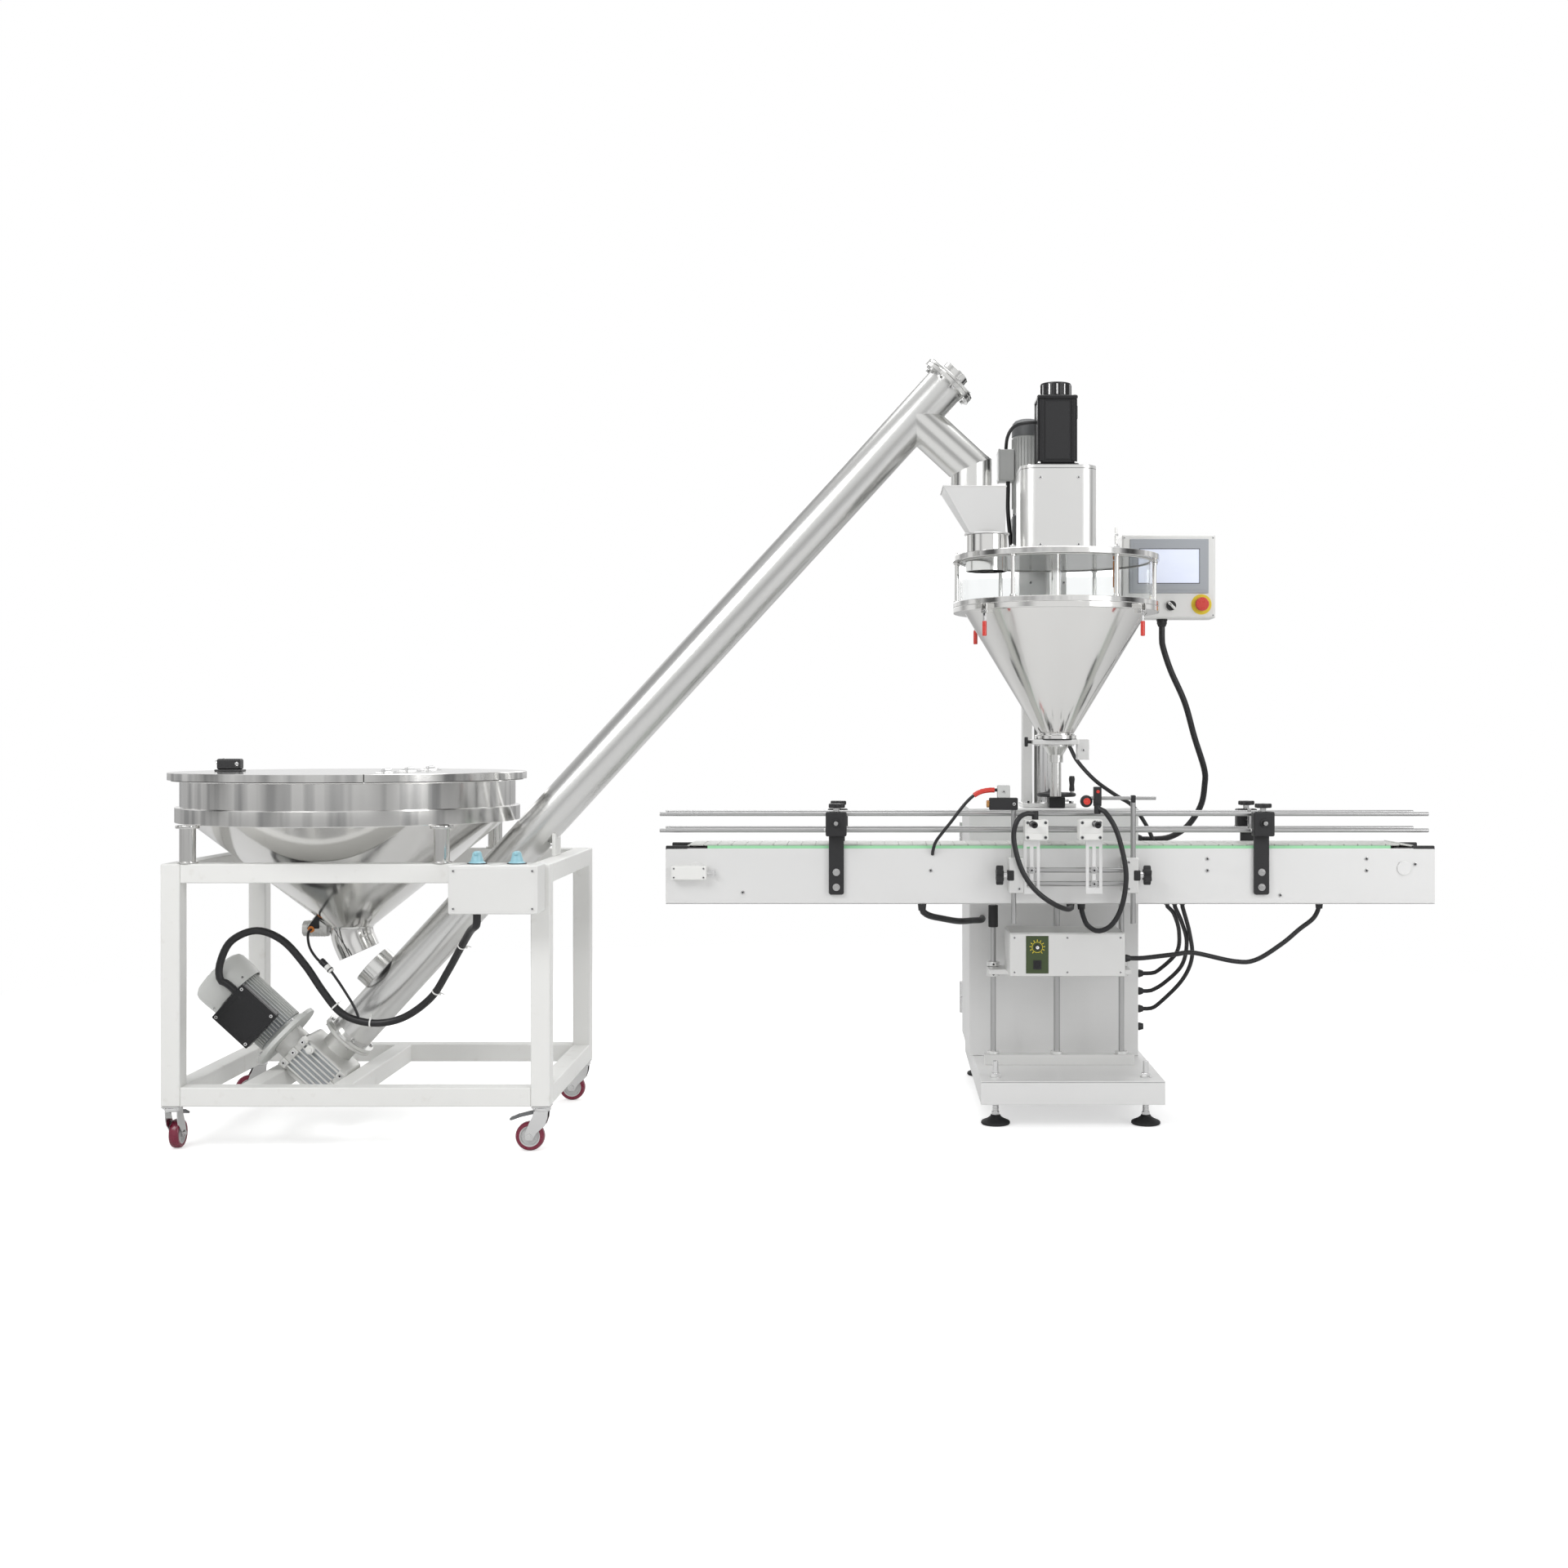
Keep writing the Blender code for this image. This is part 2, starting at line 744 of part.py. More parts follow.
def finish(name, colour, metallic, roughness):
    material = bpy.data.materials.get(name) or bpy.data.materials.new(name)
    material.use_nodes = True
    shader = material.node_tree.nodes["Principled BSDF"]
    shader.inputs["Base Color"].default_value = (*colour, 1)
    shader.inputs["Metallic"].default_value = metallic
    shader.inputs["Roughness"].default_value = roughness
    return material


def piece(name, solids, cuts=(), at=(0, 0, 0), look=None, carrier=None, smooth_degrees=35):
    """One named sub-part, with its origin at the point at, fixed to its carrier."""
    solid = combined(list(solids), list(cuts))
    mesh = solid.data.copy()
    mesh.transform(Matrix.Translation(-Vector(at)))
    bpy.data.objects.remove(solid)
    mesh.name = name
    obj = bpy.data.objects.new(name, mesh)
    parts.objects.link(obj)
    base = root if carrier is None else carrier
    obj.parent = base
    spot = Vector(at)
    while base is not None and base is not root:
        spot -= base.location
        base = base.parent
    obj.location = spot
    mesh.shade_smooth()
    mesh.set_sharp_from_angle(angle=math.radians(smooth_degrees))
    colour, metallic, roughness = look or ((0.8, 0.8, 0.8), 0.0, 0.5)
    mesh.materials.clear()
    mesh.materials.append(finish(name, colour, metallic, roughness))
    return obj


def cable(name, route, radius, look, sides=2):
    obj = piped(smooth_path(route, radius * 5, leads=True), radius, resolution=sides, keep=True)
    tools.objects.unlink(obj)
    parts.objects.link(obj)
    obj.name = obj.data.name = name
    obj.parent = root
    obj.data.materials.append(finish(name, *look))
    return obj


POLISHED = ((0.80, 0.80, 0.81), 1.0, 0.16)
SATIN = ((0.76, 0.77, 0.77), 0.9, 0.38)
PAINTED = ((0.86, 0.86, 0.84), 0.1, 0.45)
ALUMINIUM = ((0.66, 0.67, 0.66), 0.7, 0.48)
BLACK = ((0.018, 0.018, 0.020), 0.0, 0.45)
RUBBER = ((0.02, 0.02, 0.022), 0.0, 0.8)
BURGUNDY = ((0.30, 0.012, 0.045), 0.0, 0.35)
RED = ((0.72, 0.03, 0.03), 0.0, 0.4)
BOOT_BLUE = ((0.45, 0.76, 0.84), 0.0, 0.4)
CLEAR = ((0.90, 0.93, 0.94), 0.0, 0.05)
GREY = ((0.42, 0.43, 0.45), 0.0, 0.5)
SLAT_GREY = ((0.70, 0.71, 0.70), 0.1, 0.5)


# Cart

def tube_frame(x0, x1, y0, y1, z0, z1, side):
    """A box frame of square tube: four posts, and four rails at the top and at the foot."""
    beams = []
    for x in (x0, x1 - side):
        for y in (y0, y1 - side):
            beams.append(span((x, y, z0), (x + side, y + side, z1)))
    for z in (z0, z1 - side):
        for y in (y0, y1 - side):
            beams.append(span((x0 + side - WELD, y, z), (x1 - side + WELD, y + side, z + side)))
        for x in (x0, x1 - side):
            beams.append(span((x, y0 + side - WELD, z), (x + side, y1 - side + WELD, z + side)))
    return beams


def slope():
    """Unit vectors along the screw and along the motor, and the point the screw is measured from."""
    angle = math.radians(SLOPE_DEGREES)
    along = Vector((math.cos(angle), 0, math.sin(angle)))
    across = Vector((math.sin(angle), 0, -math.cos(angle)))
    return along, across, Vector((SLOPE_X, FEED_Y, SLOPE_Z))


def gearbox_centre():
    along, _, start = slope()
    return start + along * GEARBOX_AT


def slope_turn():
    """Box axes: X along the motor, Y across, Z up the screw."""
    along, across, _ = slope()
    return axes(along, across)


def build_cart():
    along, across, start = slope()
    left, right = CART_X - FRAME_LENGTH / 2, CART_X + FRAME_LENGTH / 2
    front, back = FEED_Y - FRAME_DEPTH / 2, FEED_Y + FRAME_DEPTH / 2
    solids = tube_frame(left, right, front, back, FRAME_BOTTOM, FRAME_TOP, FRAME_TUBE)
    rail_top = FRAME_BOTTOM + FRAME_TUBE
    centre = gearbox_centre()

    # The gearbox lies in a cradle of two plates, each welded to a cross member.
    under = centre - along * (GEARBOX_HALF_HIGH + FIT + CRADLE_PLATE / 2)
    aside = centre + across * (GEARBOX_HALF_LONG + FIT + CRADLE_PLATE / 2)
    middle_y = FEED_Y - (GEARBOX_FRONT - GEARBOX_BACK) / 2
    solids.append(block((GEARBOX_HALF_LONG * 2, CRADLE_WIDTH, CRADLE_PLATE),
                        Vector((under.x, middle_y, under.z)), slope_turn()))
    solids.append(block((CRADLE_PLATE, CRADLE_WIDTH, (GEARBOX_HALF_HIGH + CRADLE_PLATE) * 2),
                        Vector((aside.x, middle_y, aside.z)), slope_turn()))
    low_left = under - across * GEARBOX_HALF_LONG
    reach_left = low_left.x + (low_left.z - rail_top) * across.x / -across.z
    reach_right = aside.x + (rail_top - aside.z) * along.x / along.z
    for x in (reach_left - FRAME_TUBE + CRADLE_PLATE / 2, reach_right - CRADLE_PLATE / 2):
        solids.append(span((x, front + FRAME_TUBE - WELD, FRAME_BOTTOM),
                           (x + FRAME_TUBE, back - FRAME_TUBE + WELD, rail_top)))

    # A saddle on the right-hand top rail holds the tube.
    saddle_x = right - FRAME_TUBE
    tube_z = start.z + (saddle_x - start.x) * along.z / along.x
    solids.append(span((saddle_x, FEED_Y - SADDLE_LENGTH, FRAME_TOP - WELD),
                       (saddle_x + CRADLE_PLATE, FEED_Y + SADDLE_LENGTH, tube_z)))
    middle = start + along * ((saddle_x - start.x) / along.x)
    cuts = [rod(middle - along * TUBE_RADIUS * 4, middle + along * TUBE_RADIUS * 4, TUBE_RADIUS + FIT, ROUND)]

    # Castor plates with their kingpins
    for dx, dy in ((-1, -1), (1, -1), (-1, 1), (1, 1)):
        x = CART_X + dx * (FRAME_LENGTH - FRAME_TUBE) / 2
        y = FEED_Y + dy * (FRAME_DEPTH - FRAME_TUBE) / 2
        solids.append(span((x - CASTOR_PLATE / 2, y - CASTOR_PLATE / 2, FRAME_BOTTOM - CASTOR_PLATE_THICK),
                           (x + CASTOR_PLATE / 2, y + CASTOR_PLATE / 2, FRAME_BOTTOM + WELD)))
        pin_end = FRAME_BOTTOM - CASTOR_PLATE_THICK - FIT - SWIVEL_THICK
        solids.append(rod((x, y, pin_end), (x, y, FRAME_BOTTOM - WELD), KINGPIN_RADIUS, FINE_ROUND))
    return piece("cart_frame", solids, cuts, at=(CART_X, FEED_Y, 0), look=PAINTED)


def build_castor(place, x, y, frame):
    """A swivel fork with its wheel. The fork is made trailing to +X and then turned."""
    turn = math.radians(CASTOR_TURN_DEGREES[place])
    spin = Matrix.Translation((x, y, 0)) @ Matrix.Rotation(turn, 4, "Z")
    top = FRAME_BOTTOM - CASTOR_PLATE_THICK - FIT
    head = top - SWIVEL_THICK
    inner = WHEEL_WIDTH / 2 + FORK_SIDE_GAP
    half = FORK_WIDTH / 2
    eye = AXLE_RADIUS * 2.4
    flat = Matrix.Rotation(math.radians(90), 4, "X")
    cheek = [(-half, head + WELD), (-half * 0.7, WHEEL_RADIUS * 1.5), (CASTOR_TRAIL - eye, WHEEL_RADIUS),
             (CASTOR_TRAIL - eye * 0.6, WHEEL_RADIUS - eye * 0.8), (CASTOR_TRAIL + eye * 0.6, WHEEL_RADIUS - eye * 0.8),
             (CASTOR_TRAIL + eye, WHEEL_RADIUS), (half + eye, WHEEL_RADIUS * 1.6), (half, head + WELD)]
    solids = [rod((0, 0, head), (0, 0, top), SWIVEL_RADIUS, SMALL_ROUND)]
    for side in (-1, 1):
        solids.append(plate(cheek, FORK_SHEET, Matrix.Translation((0, side * (inner + FORK_SHEET / 2), 0)) @ flat))
    solids.append(span((-half, -inner - FORK_SHEET, head - FORK_SHEET), (half, inner + FORK_SHEET, head + WELD)))
    out = inner + FORK_SHEET + FORK_SHEET
    solids.append(rod((CASTOR_TRAIL, -out, WHEEL_RADIUS), (CASTOR_TRAIL, out, WHEEL_RADIUS), AXLE_RADIUS, SMALL_ROUND))
    pedal = [(0, head), (0, head - PEDAL_THICK), (PEDAL_REACH, head - PEDAL_THICK - PEDAL_DROP),
             (PEDAL_REACH, head - PEDAL_DROP)]
    solids.append(plate(pedal, WHEEL_WIDTH, flat))
    cuts = [rod((0, 0, head - PEDAL_THICK * 2), (0, 0, top + OVERRUN), clear_of(KINGPIN_RADIUS, FINE_ROUND), FINE_ROUND)]
    solid = combined(solids, cuts)
    solid.data.transform(spin)
    fork = piece("castor_fork_" + place, [solid], at=(x, y, head), look=SATIN, carrier=frame)

    bore = AXLE_RADIUS + RUNNING
    w = WHEEL_WIDTH / 2
    rim = WHEEL_RADIUS - TYRE_SHOULDER
    wheel = turned([(bore, -w), (rim, -w), (WHEEL_RADIUS, -w * 0.55), (WHEEL_RADIUS, w * 0.55), (rim, w), (bore, w)],
                   (CASTOR_TRAIL, 0, WHEEL_RADIUS), (0, 1, 0), ROUND)
    wheel.data.transform(spin)
    hub = spin @ Vector((CASTOR_TRAIL, 0, WHEEL_RADIUS))
    piece("castor_wheel_" + place, [wheel], at=hub, look=BURGUNDY, carrier=fork)


# Feed hopper

def hopper_drop():
    """How much the feed hopper's cone widens for each metre of height."""
    return (CONE_RADIUS - OUTLET_RADIUS) / (DRUM_BOTTOM - OUTLET_Z)


def elbow_route(extra):
    """The outlet elbow's centre line, which bends towards the feeder."""
    points = [Vector((HOPPER_X, FEED_Y, OUTLET_Z + extra))]
    steps = 4
    for k in range(steps + 1):
        angle = math.radians(ELBOW_DEGREES * k / steps)
        points.append(Vector((HOPPER_X + ELBOW_BEND * (1 - math.cos(angle)), FEED_Y,
                              OUTLET_Z - ELBOW_BEND * math.sin(angle))))
    angle = math.radians(ELBOW_DEGREES)
    tail = Vector((math.sin(angle), 0, -math.cos(angle)))
    points.append(points[-1] + tail * ELBOW_TAIL)
    return points, tail


def build_hopper(frame):
    wall = HOPPER_WALL
    axis = (HOPPER_X, FEED_Y, 0)
    band_top = DRUM_BOTTOM + BAND_HEIGHT
    shell = turned([(DRUM_FLANGE, DRUM_TOP), (DRUM_FLANGE, DRUM_TOP - wall), (DRUM_RADIUS, DRUM_TOP - wall),
                    (DRUM_RADIUS, band_top), (BAND_RADIUS, band_top), (BAND_RADIUS, DRUM_BOTTOM),
                    (CONE_RADIUS, DRUM_BOTTOM), (OUTLET_RADIUS + WELD, OUTLET_Z), (OUTLET_RADIUS - WELD, OUTLET_Z),
                    (CONE_RADIUS - wall, DRUM_BOTTOM + wall), (DRUM_RADIUS - wall, DRUM_BOTTOM + wall),
                    (DRUM_RADIUS - wall, DRUM_TOP)], axis, UP, LARGE_ROUND)
    outer, tail = elbow_route(wall)
    inner, _ = elbow_route(wall * 3)
    inner[-1] = inner[-1] + tail * OVERRUN
    solids = [shell, piped(outer, OUTLET_RADIUS, PIPE_SIDES)]
    for dx in (-LEG_SPREAD, LEG_SPREAD):
        for dy in (-LEG_SPREAD, LEG_SPREAD):
            x, y = HOPPER_X + dx, FEED_Y + dy
            solids.append(rod((x, y, FRAME_TOP + FIT), (x, y, DRUM_BOTTOM + WELD), LEG_RADIUS, SMALL_ROUND))
            solids.append(rod((x, y, DRUM_BOTTOM - LUG_THICK), (x, y, DRUM_BOTTOM + WELD), LUG_RADIUS, SMALL_ROUND))
    hopper = piece("feed_hopper", solids, [piped(inner, OUTLET_RADIUS - wall, PIPE_SIDES)], at=axis, look=POLISHED,
                   carrier=frame)

    # Vibrator on the cone's lower left, with a foot that follows the cone
    grow = hopper_drop()
    lean = math.sqrt(1 + grow * grow)
    out = Vector((-1, 0, -grow)) / lean
    middle = Vector((HOPPER_X - VIBRATOR_OUT, FEED_Y, VIBRATOR_Z))
    surface = OUTLET_RADIUS + grow * (VIBRATOR_Z - OUTLET_Z)
    gap = (VIBRATOR_OUT - surface) / lean
    foot = block((VIBRATOR_FOOT, VIBRATOR_FOOT, gap * 2), middle - out * gap, axes(out, (0, 1, 0)))
    motor = rod(middle - Vector((VIBRATOR_LENGTH / 2, 0, 0)), middle + Vector((VIBRATOR_LENGTH / 2, 0, 0)),
                VIBRATOR_RADIUS, ROUND)
    high = DRUM_BOTTOM
    clear = FIT * lean
    throat = OUTLET_RADIUS + WELD + clear
    cone = rod((HOPPER_X, FEED_Y, OUTLET_Z), (HOPPER_X, FEED_Y, high), throat, LARGE_ROUND, CONE_RADIUS + clear)
    neck = rod((HOPPER_X, FEED_Y, OUTLET_Z - OUTLET_RADIUS * 2), (HOPPER_X, FEED_Y, OUTLET_Z + FIT), throat, LARGE_ROUND)
    piece("hopper_vibrator", [motor, foot], [cone, neck], at=middle, look=ALUMINIUM, carrier=hopper)
    return hopper


def build_lid(hopper):
    z = DRUM_TOP + FIT
    top = z + LID_HEIGHT
    profile = [(0, top), (LID_RADIUS, top), (LID_RADIUS, z), (LID_RADIUS - LID_RIM, z),
               (LID_RADIUS - LID_RIM, top - LID_SHEET), (0, top - LID_SHEET)]
    split = HOPPER_X + LID_SPLIT
    pivot = Vector((split, FEED_Y, top + HINGE_BARREL + FIT))
    big = LID_RADIUS + OVERRUN
    ear = HINGE_LENGTH / 4
    hinges = [FEED_Y + k * HINGE_SPACING for k in (-1, 0, 1)]

    still, lifted = [turned(profile, (HOPPER_X, FEED_Y, 0), UP, LARGE_ROUND)], []
    lifted.append(copied(still[0]))
    still_cuts = [span((HOPPER_X - big, FEED_Y - big, z - OVERRUN), (split + LID_GAP / 2, FEED_Y + big, top + OVERRUN))]
    lift_cuts = [span((split - LID_GAP / 2, FEED_Y - big, z - OVERRUN), (HOPPER_X + big, FEED_Y + big, top + OVERRUN))]
    for y in hinges:
        for low, high in ((y - HINGE_LENGTH / 2, y - ear), (y + ear, y + HINGE_LENGTH / 2)):
            still.append(rod((split, low, pivot.z), (split, high, pivot.z), HINGE_BARREL, SMALL_ROUND))
            still.append(span((split + LID_GAP, low, top - WELD), (split + HINGE_LEAF, high, pivot.z)))
        still.append(rod((split, y - ear - WELD, pivot.z), (split, y + ear + WELD, pivot.z), HINGE_PIN, FINE_ROUND))
        lifted.append(rod((split, y - ear + RUNNING, pivot.z), (split, y + ear - RUNNING, pivot.z), HINGE_BARREL,
                          SMALL_ROUND))
        lifted.append(span((split - HINGE_LEAF, y - ear + RUNNING, top - WELD),
                           (split - LID_GAP, y + ear - RUNNING, pivot.z)))
        lift_cuts.append(rod((split, y - ear, pivot.z), (split, y + ear, pivot.z), clear_of(HINGE_PIN, FINE_ROUND), FINE_ROUND))
    piece("hopper_lid", still, still_cuts, at=(split, FEED_Y, z), look=POLISHED, carrier=hopper)

    width, depth, height = LATCH_SIZE
    x = HOPPER_X - LATCH_AT
    lifted.append(span((x - width / 2, FEED_Y - depth, top - WELD), (x + width / 2, FEED_Y + depth, top + LATCH_PLATE)))
    lifted.append(span((x - width / 4, FEED_Y - depth / 2, top), (x + width / 2, FEED_Y + depth / 2, top + height)))
    lifted.append(rod((x - width * 0.55, FEED_Y, top + height), (x + width / 4, FEED_Y, top + height * 0.9),
                      height / 6, FINE_ROUND))
    piece("hopper_lid_flap", lifted, lift_cuts, at=pivot, look=POLISHED, carrier=hopper)


# Inclined screw feeder

def build_feeder(frame):
    along, across, start = slope()
    foot, head = start + along * TUBE_FOOT, start + along * TUBE_HEAD
    bore = TUBE_RADIUS - TUBE_WALL
    inlet = start + along * INLET_AT
    branch = start + along * BRANCH_AT
    mitre = branch + across * ((SPOUT_X - branch.x) / across.x)
    tip = Vector((SPOUT_X, FEED_Y, SPOUT_END_Z))
    below = Vector((0, 0, OVERRUN))
    solids = [rod(foot, head, TUBE_RADIUS, ROUND),
              rod(head - along * FLANGE_THICK, head, FLANGE_RADIUS, ROUND),
              rod(foot - along * FLANGE_THICK, foot + along * WELD, FOOT_FLANGE_RADIUS, ROUND),
              rod(inlet, inlet - across * INLET_REACH, TUBE_RADIUS, ROUND),
              piped([branch, mitre, tip], TUBE_RADIUS, PIPE_SIDES)]
    cuts = [rod(foot - along * (FLANGE_THICK + OVERRUN), head + along * OVERRUN, bore, ROUND),
            rod(inlet, inlet - across * (INLET_REACH + OVERRUN), bore, ROUND),
            piped([branch, mitre, tip - below], bore, PIPE_SIDES)]
    tube = piece("screw_tube", solids, cuts, at=foot, look=POLISHED, carrier=frame)

    cap_foot = head + along * FIT
    cap_top = cap_foot + along * (FLANGE_THICK + CAP_LENGTH)
    seat = cap_foot + along * (FLANGE_THICK + BEARING_SEAT)
    cap = [rod(cap_foot, cap_foot + along * FLANGE_THICK, FLANGE_RADIUS, ROUND),
           rod(cap_foot + along * WELD, cap_top, CAP_RADIUS, ROUND),
           rod(cap_top - along * WELD, cap_top + along * HINGE_BARREL, CAP_RADIUS / 3, FINE_ROUND)]
    piece("tube_end_cap", cap, [rod(cap_foot - along * OVERRUN, seat, clear_of(SCREW_SHAFT, SMALL_ROUND), SMALL_ROUND)],
          at=cap_foot, look=POLISHED, carrier=tube)

    # The screw runs from the gearbox's hollow shaft to the bearing in the end cap.
    gear_top = start + along * (GEARBOX_AT + GEARBOX_HALF_HIGH)
    socket = gear_top - along * GEARBOX_HALF_HIGH
    flight_foot = foot + along * FLIGHT_START
    shaft = rod(socket + along * RUNNING, seat - along * RUNNING, SCREW_SHAFT, FINE_ROUND)
    flight = helix(SCREW_RADIUS, SCREW_SHAFT - WELD, SCREW_PITCH, SCREW_TURNS, SCREW_STEPS, SCREW_FLIGHT,
                   flight_foot, along)
    piece("feed_screw", [shaft, flight], at=flight_foot, look=SATIN, carrier=tube)
    return tube


def build_feed_drive(frame):
    along, across, start = slope()
    turn = slope_turn()
    centre = gearbox_centre()
    forward = Vector((0, -1, 0))
    middle = centre + forward * (GEARBOX_FRONT - GEARBOX_BACK) / 2
    depth = GEARBOX_FRONT + GEARBOX_BACK
    neck_top = start + along * (TUBE_FOOT - FIT) - along * FLANGE_THICK
    bottom_face = centre - along * GEARBOX_HALF_HIGH
    worm = centre + forward * WORM_OFFSET
    solids = [block((GEARBOX_HALF_LONG * 2, depth, GEARBOX_HALF_HIGH * 2), middle, turn),
              rod(centre, neck_top, GEARBOX_NECK, ROUND)]
    face = middle + forward * depth / 2
    cuts = []
    pitch = GEARBOX_HALF_HIGH * 2 / (GEARBOX_RIBS + 1)
    for k in range(GEARBOX_RIBS):
        spot = face + along * ((k - (GEARBOX_RIBS - 1) / 2) * pitch)
        cuts.append(block((GEARBOX_HALF_LONG * 1.4, GEARBOX_RIB_DEPTH * 2, pitch - GEARBOX_RIB), spot, turn))
    cuts.append(rod(bottom_face + along * GEARBOX_HALF_HIGH, neck_top + along * OVERRUN,
                    clear_of(SCREW_SHAFT, SMALL_ROUND), SMALL_ROUND))
    motor_face = worm - across * (GEARBOX_HALF_LONG + MOTOR_NECK_LENGTH)
    solids.append(rod(worm - across * (GEARBOX_HALF_LONG - WELD), motor_face, MOTOR_NECK, ROUND,
                      end_radius=MOTOR_NECK * 1.5))
    piece("feeder_gearbox", solids, cuts, at=centre, look=ALUMINIUM, carrier=frame)

    back = motor_face - across * FIT
    body_end = back - across * (MOTOR_FLANGE_THICK + MOTOR_LENGTH)
    solids = [rod(back, back - across * MOTOR_FLANGE_THICK, MOTOR_FLANGE_RADIUS, LARGE_ROUND),
              rod(back - across * WELD, body_end, MOTOR_RADIUS, ROUND)]
    fin_middle = back - across * (MOTOR_FLANGE_THICK + (MOTOR_LENGTH - COWL_OVERLAP) / 2 - WELD)
    for k in range(MOTOR_FINS):
        angle = 2 * math.pi * k / MOTOR_FINS
        way = forward * math.cos(angle) + along * math.sin(angle)
        if math.cos(angle) > 0.8:
            continue
        spot = fin_middle + way * (MOTOR_RADIUS + MOTOR_FIN / 2 - WELD / 2)
        solids.append(block((MOTOR_FIN + WELD, MOTOR_FIN_WIDTH, MOTOR_LENGTH - COWL_OVERLAP), spot,
                            axes(across, way)))
    # A raised pad carries the terminal box.
    box_at = back - across * (TERMINAL_AT + TERMINAL_NECK / 2)
    pad = block((TERMINAL_NECK, MOTOR_FIN * 2 + WELD, TERMINAL_NECK), box_at + forward * MOTOR_RADIUS, turn)
    solids.append(pad)
    motor = piece("feeder_motor", solids, at=back, look=ALUMINIUM, carrier=frame)

    lid_at = box_at + forward * (MOTOR_RADIUS + MOTOR_FIN + WELD / 2 + FIT + TERMINAL_DEEP / 2)
    piece("terminal_box", [block((TERMINAL_WIDE, TERMINAL_DEEP, TERMINAL_LONG), lid_at, turn)], at=lid_at, look=BLACK,
          carrier=motor)

    # The fan cowl slips over the end of the body.
    inner = COWL_RADIUS - COWL_WALL
    mouth = body_end + across * COWL_OVERLAP
    lip = clear_of(MOTOR_RADIUS, ROUND)
    height = COWL_LENGTH
    cowl = turned([(lip, 0), (lip, COWL_OVERLAP / 2), (inner, COWL_OVERLAP), (inner, height - COWL_DOME - COWL_WALL),
                   (inner - COWL_DOME, height - COWL_WALL), (0, height - COWL_WALL), (0, height),
                   (COWL_RADIUS - COWL_DOME, height), (COWL_RADIUS, height - COWL_DOME), (COWL_RADIUS, 0)][::-1],
                  mouth, -across, ROUND)
    seat = rod(body_end - across * FIT, body_end - across * (FIT + COWL_WALL), inner + COWL_WALL / 2, ROUND)
    slots = []
    for k in (-1, 0, 1):
        slots.append(block((COWL_RADIUS, COWL_WALL * 2, COWL_WALL * 4),
                           mouth - across * height + along * (k * COWL_RADIUS * 0.45), axes(along, forward)))
    piece("motor_fan_cowl", [cowl, seat], slots, at=mouth, look=ALUMINIUM, carrier=motor)
    return lid_at, motor


def build_feeder_switches(frame):
    front = FEED_Y - FRAME_DEPTH / 2
    low = Vector((SWITCH_BOX_LEFT, front - FIT - SWITCH_BOX_DEPTH, SWITCH_BOX_TOP - SWITCH_BOX_HEIGHT))
    high = Vector((SWITCH_BOX_LEFT + SWITCH_BOX_WIDTH, front - FIT, SWITCH_BOX_TOP))
    middle = (low + high) / 2
    places, cuts = [], []
    for side in (-1, 1):
        spot = Vector((middle.x + side * SWITCH_SPACING / 2, middle.y, SWITCH_BOX_TOP))
        places.append(spot)
        cuts.append(rod(spot - UP * (SWITCH_STEM_LENGTH + RUNNING), spot + UP * OVERRUN, clear_of(SWITCH_STEM, FINE_ROUND),
                        FINE_ROUND))
    box = piece("feeder_switch_box", [span(low, high)], cuts, at=middle, look=PAINTED, carrier=frame)
    for name, spot in zip(("left", "right"), places):
        base = spot + UP * FIT
        neck = BOOT_FLANGE_THICK
        boot = turned([(0, -SWITCH_STEM_LENGTH), (SWITCH_STEM, -SWITCH_STEM_LENGTH), (SWITCH_STEM, 0),
                       (BOOT_FLANGE, 0), (BOOT_FLANGE, neck / 2), (BOOT_RADIUS * 1.5, neck),
                       (BOOT_RADIUS, neck * 2), (BOOT_RADIUS, BOOT_HEIGHT - neck), (BOOT_RADIUS - neck, BOOT_HEIGHT),
                       (0, BOOT_HEIGHT)][::-1], base, UP, ROUND)
        wide, deep, high_ = BOOT_LEVER
        lever = block((wide, deep, high_), base + UP * (BOOT_HEIGHT + high_ / 2 - WELD))
        piece("feeder_switch_" + name, [boot, lever], at=spot, look=BOOT_BLUE, carrier=box)


# Filler: base, cabinet, lift

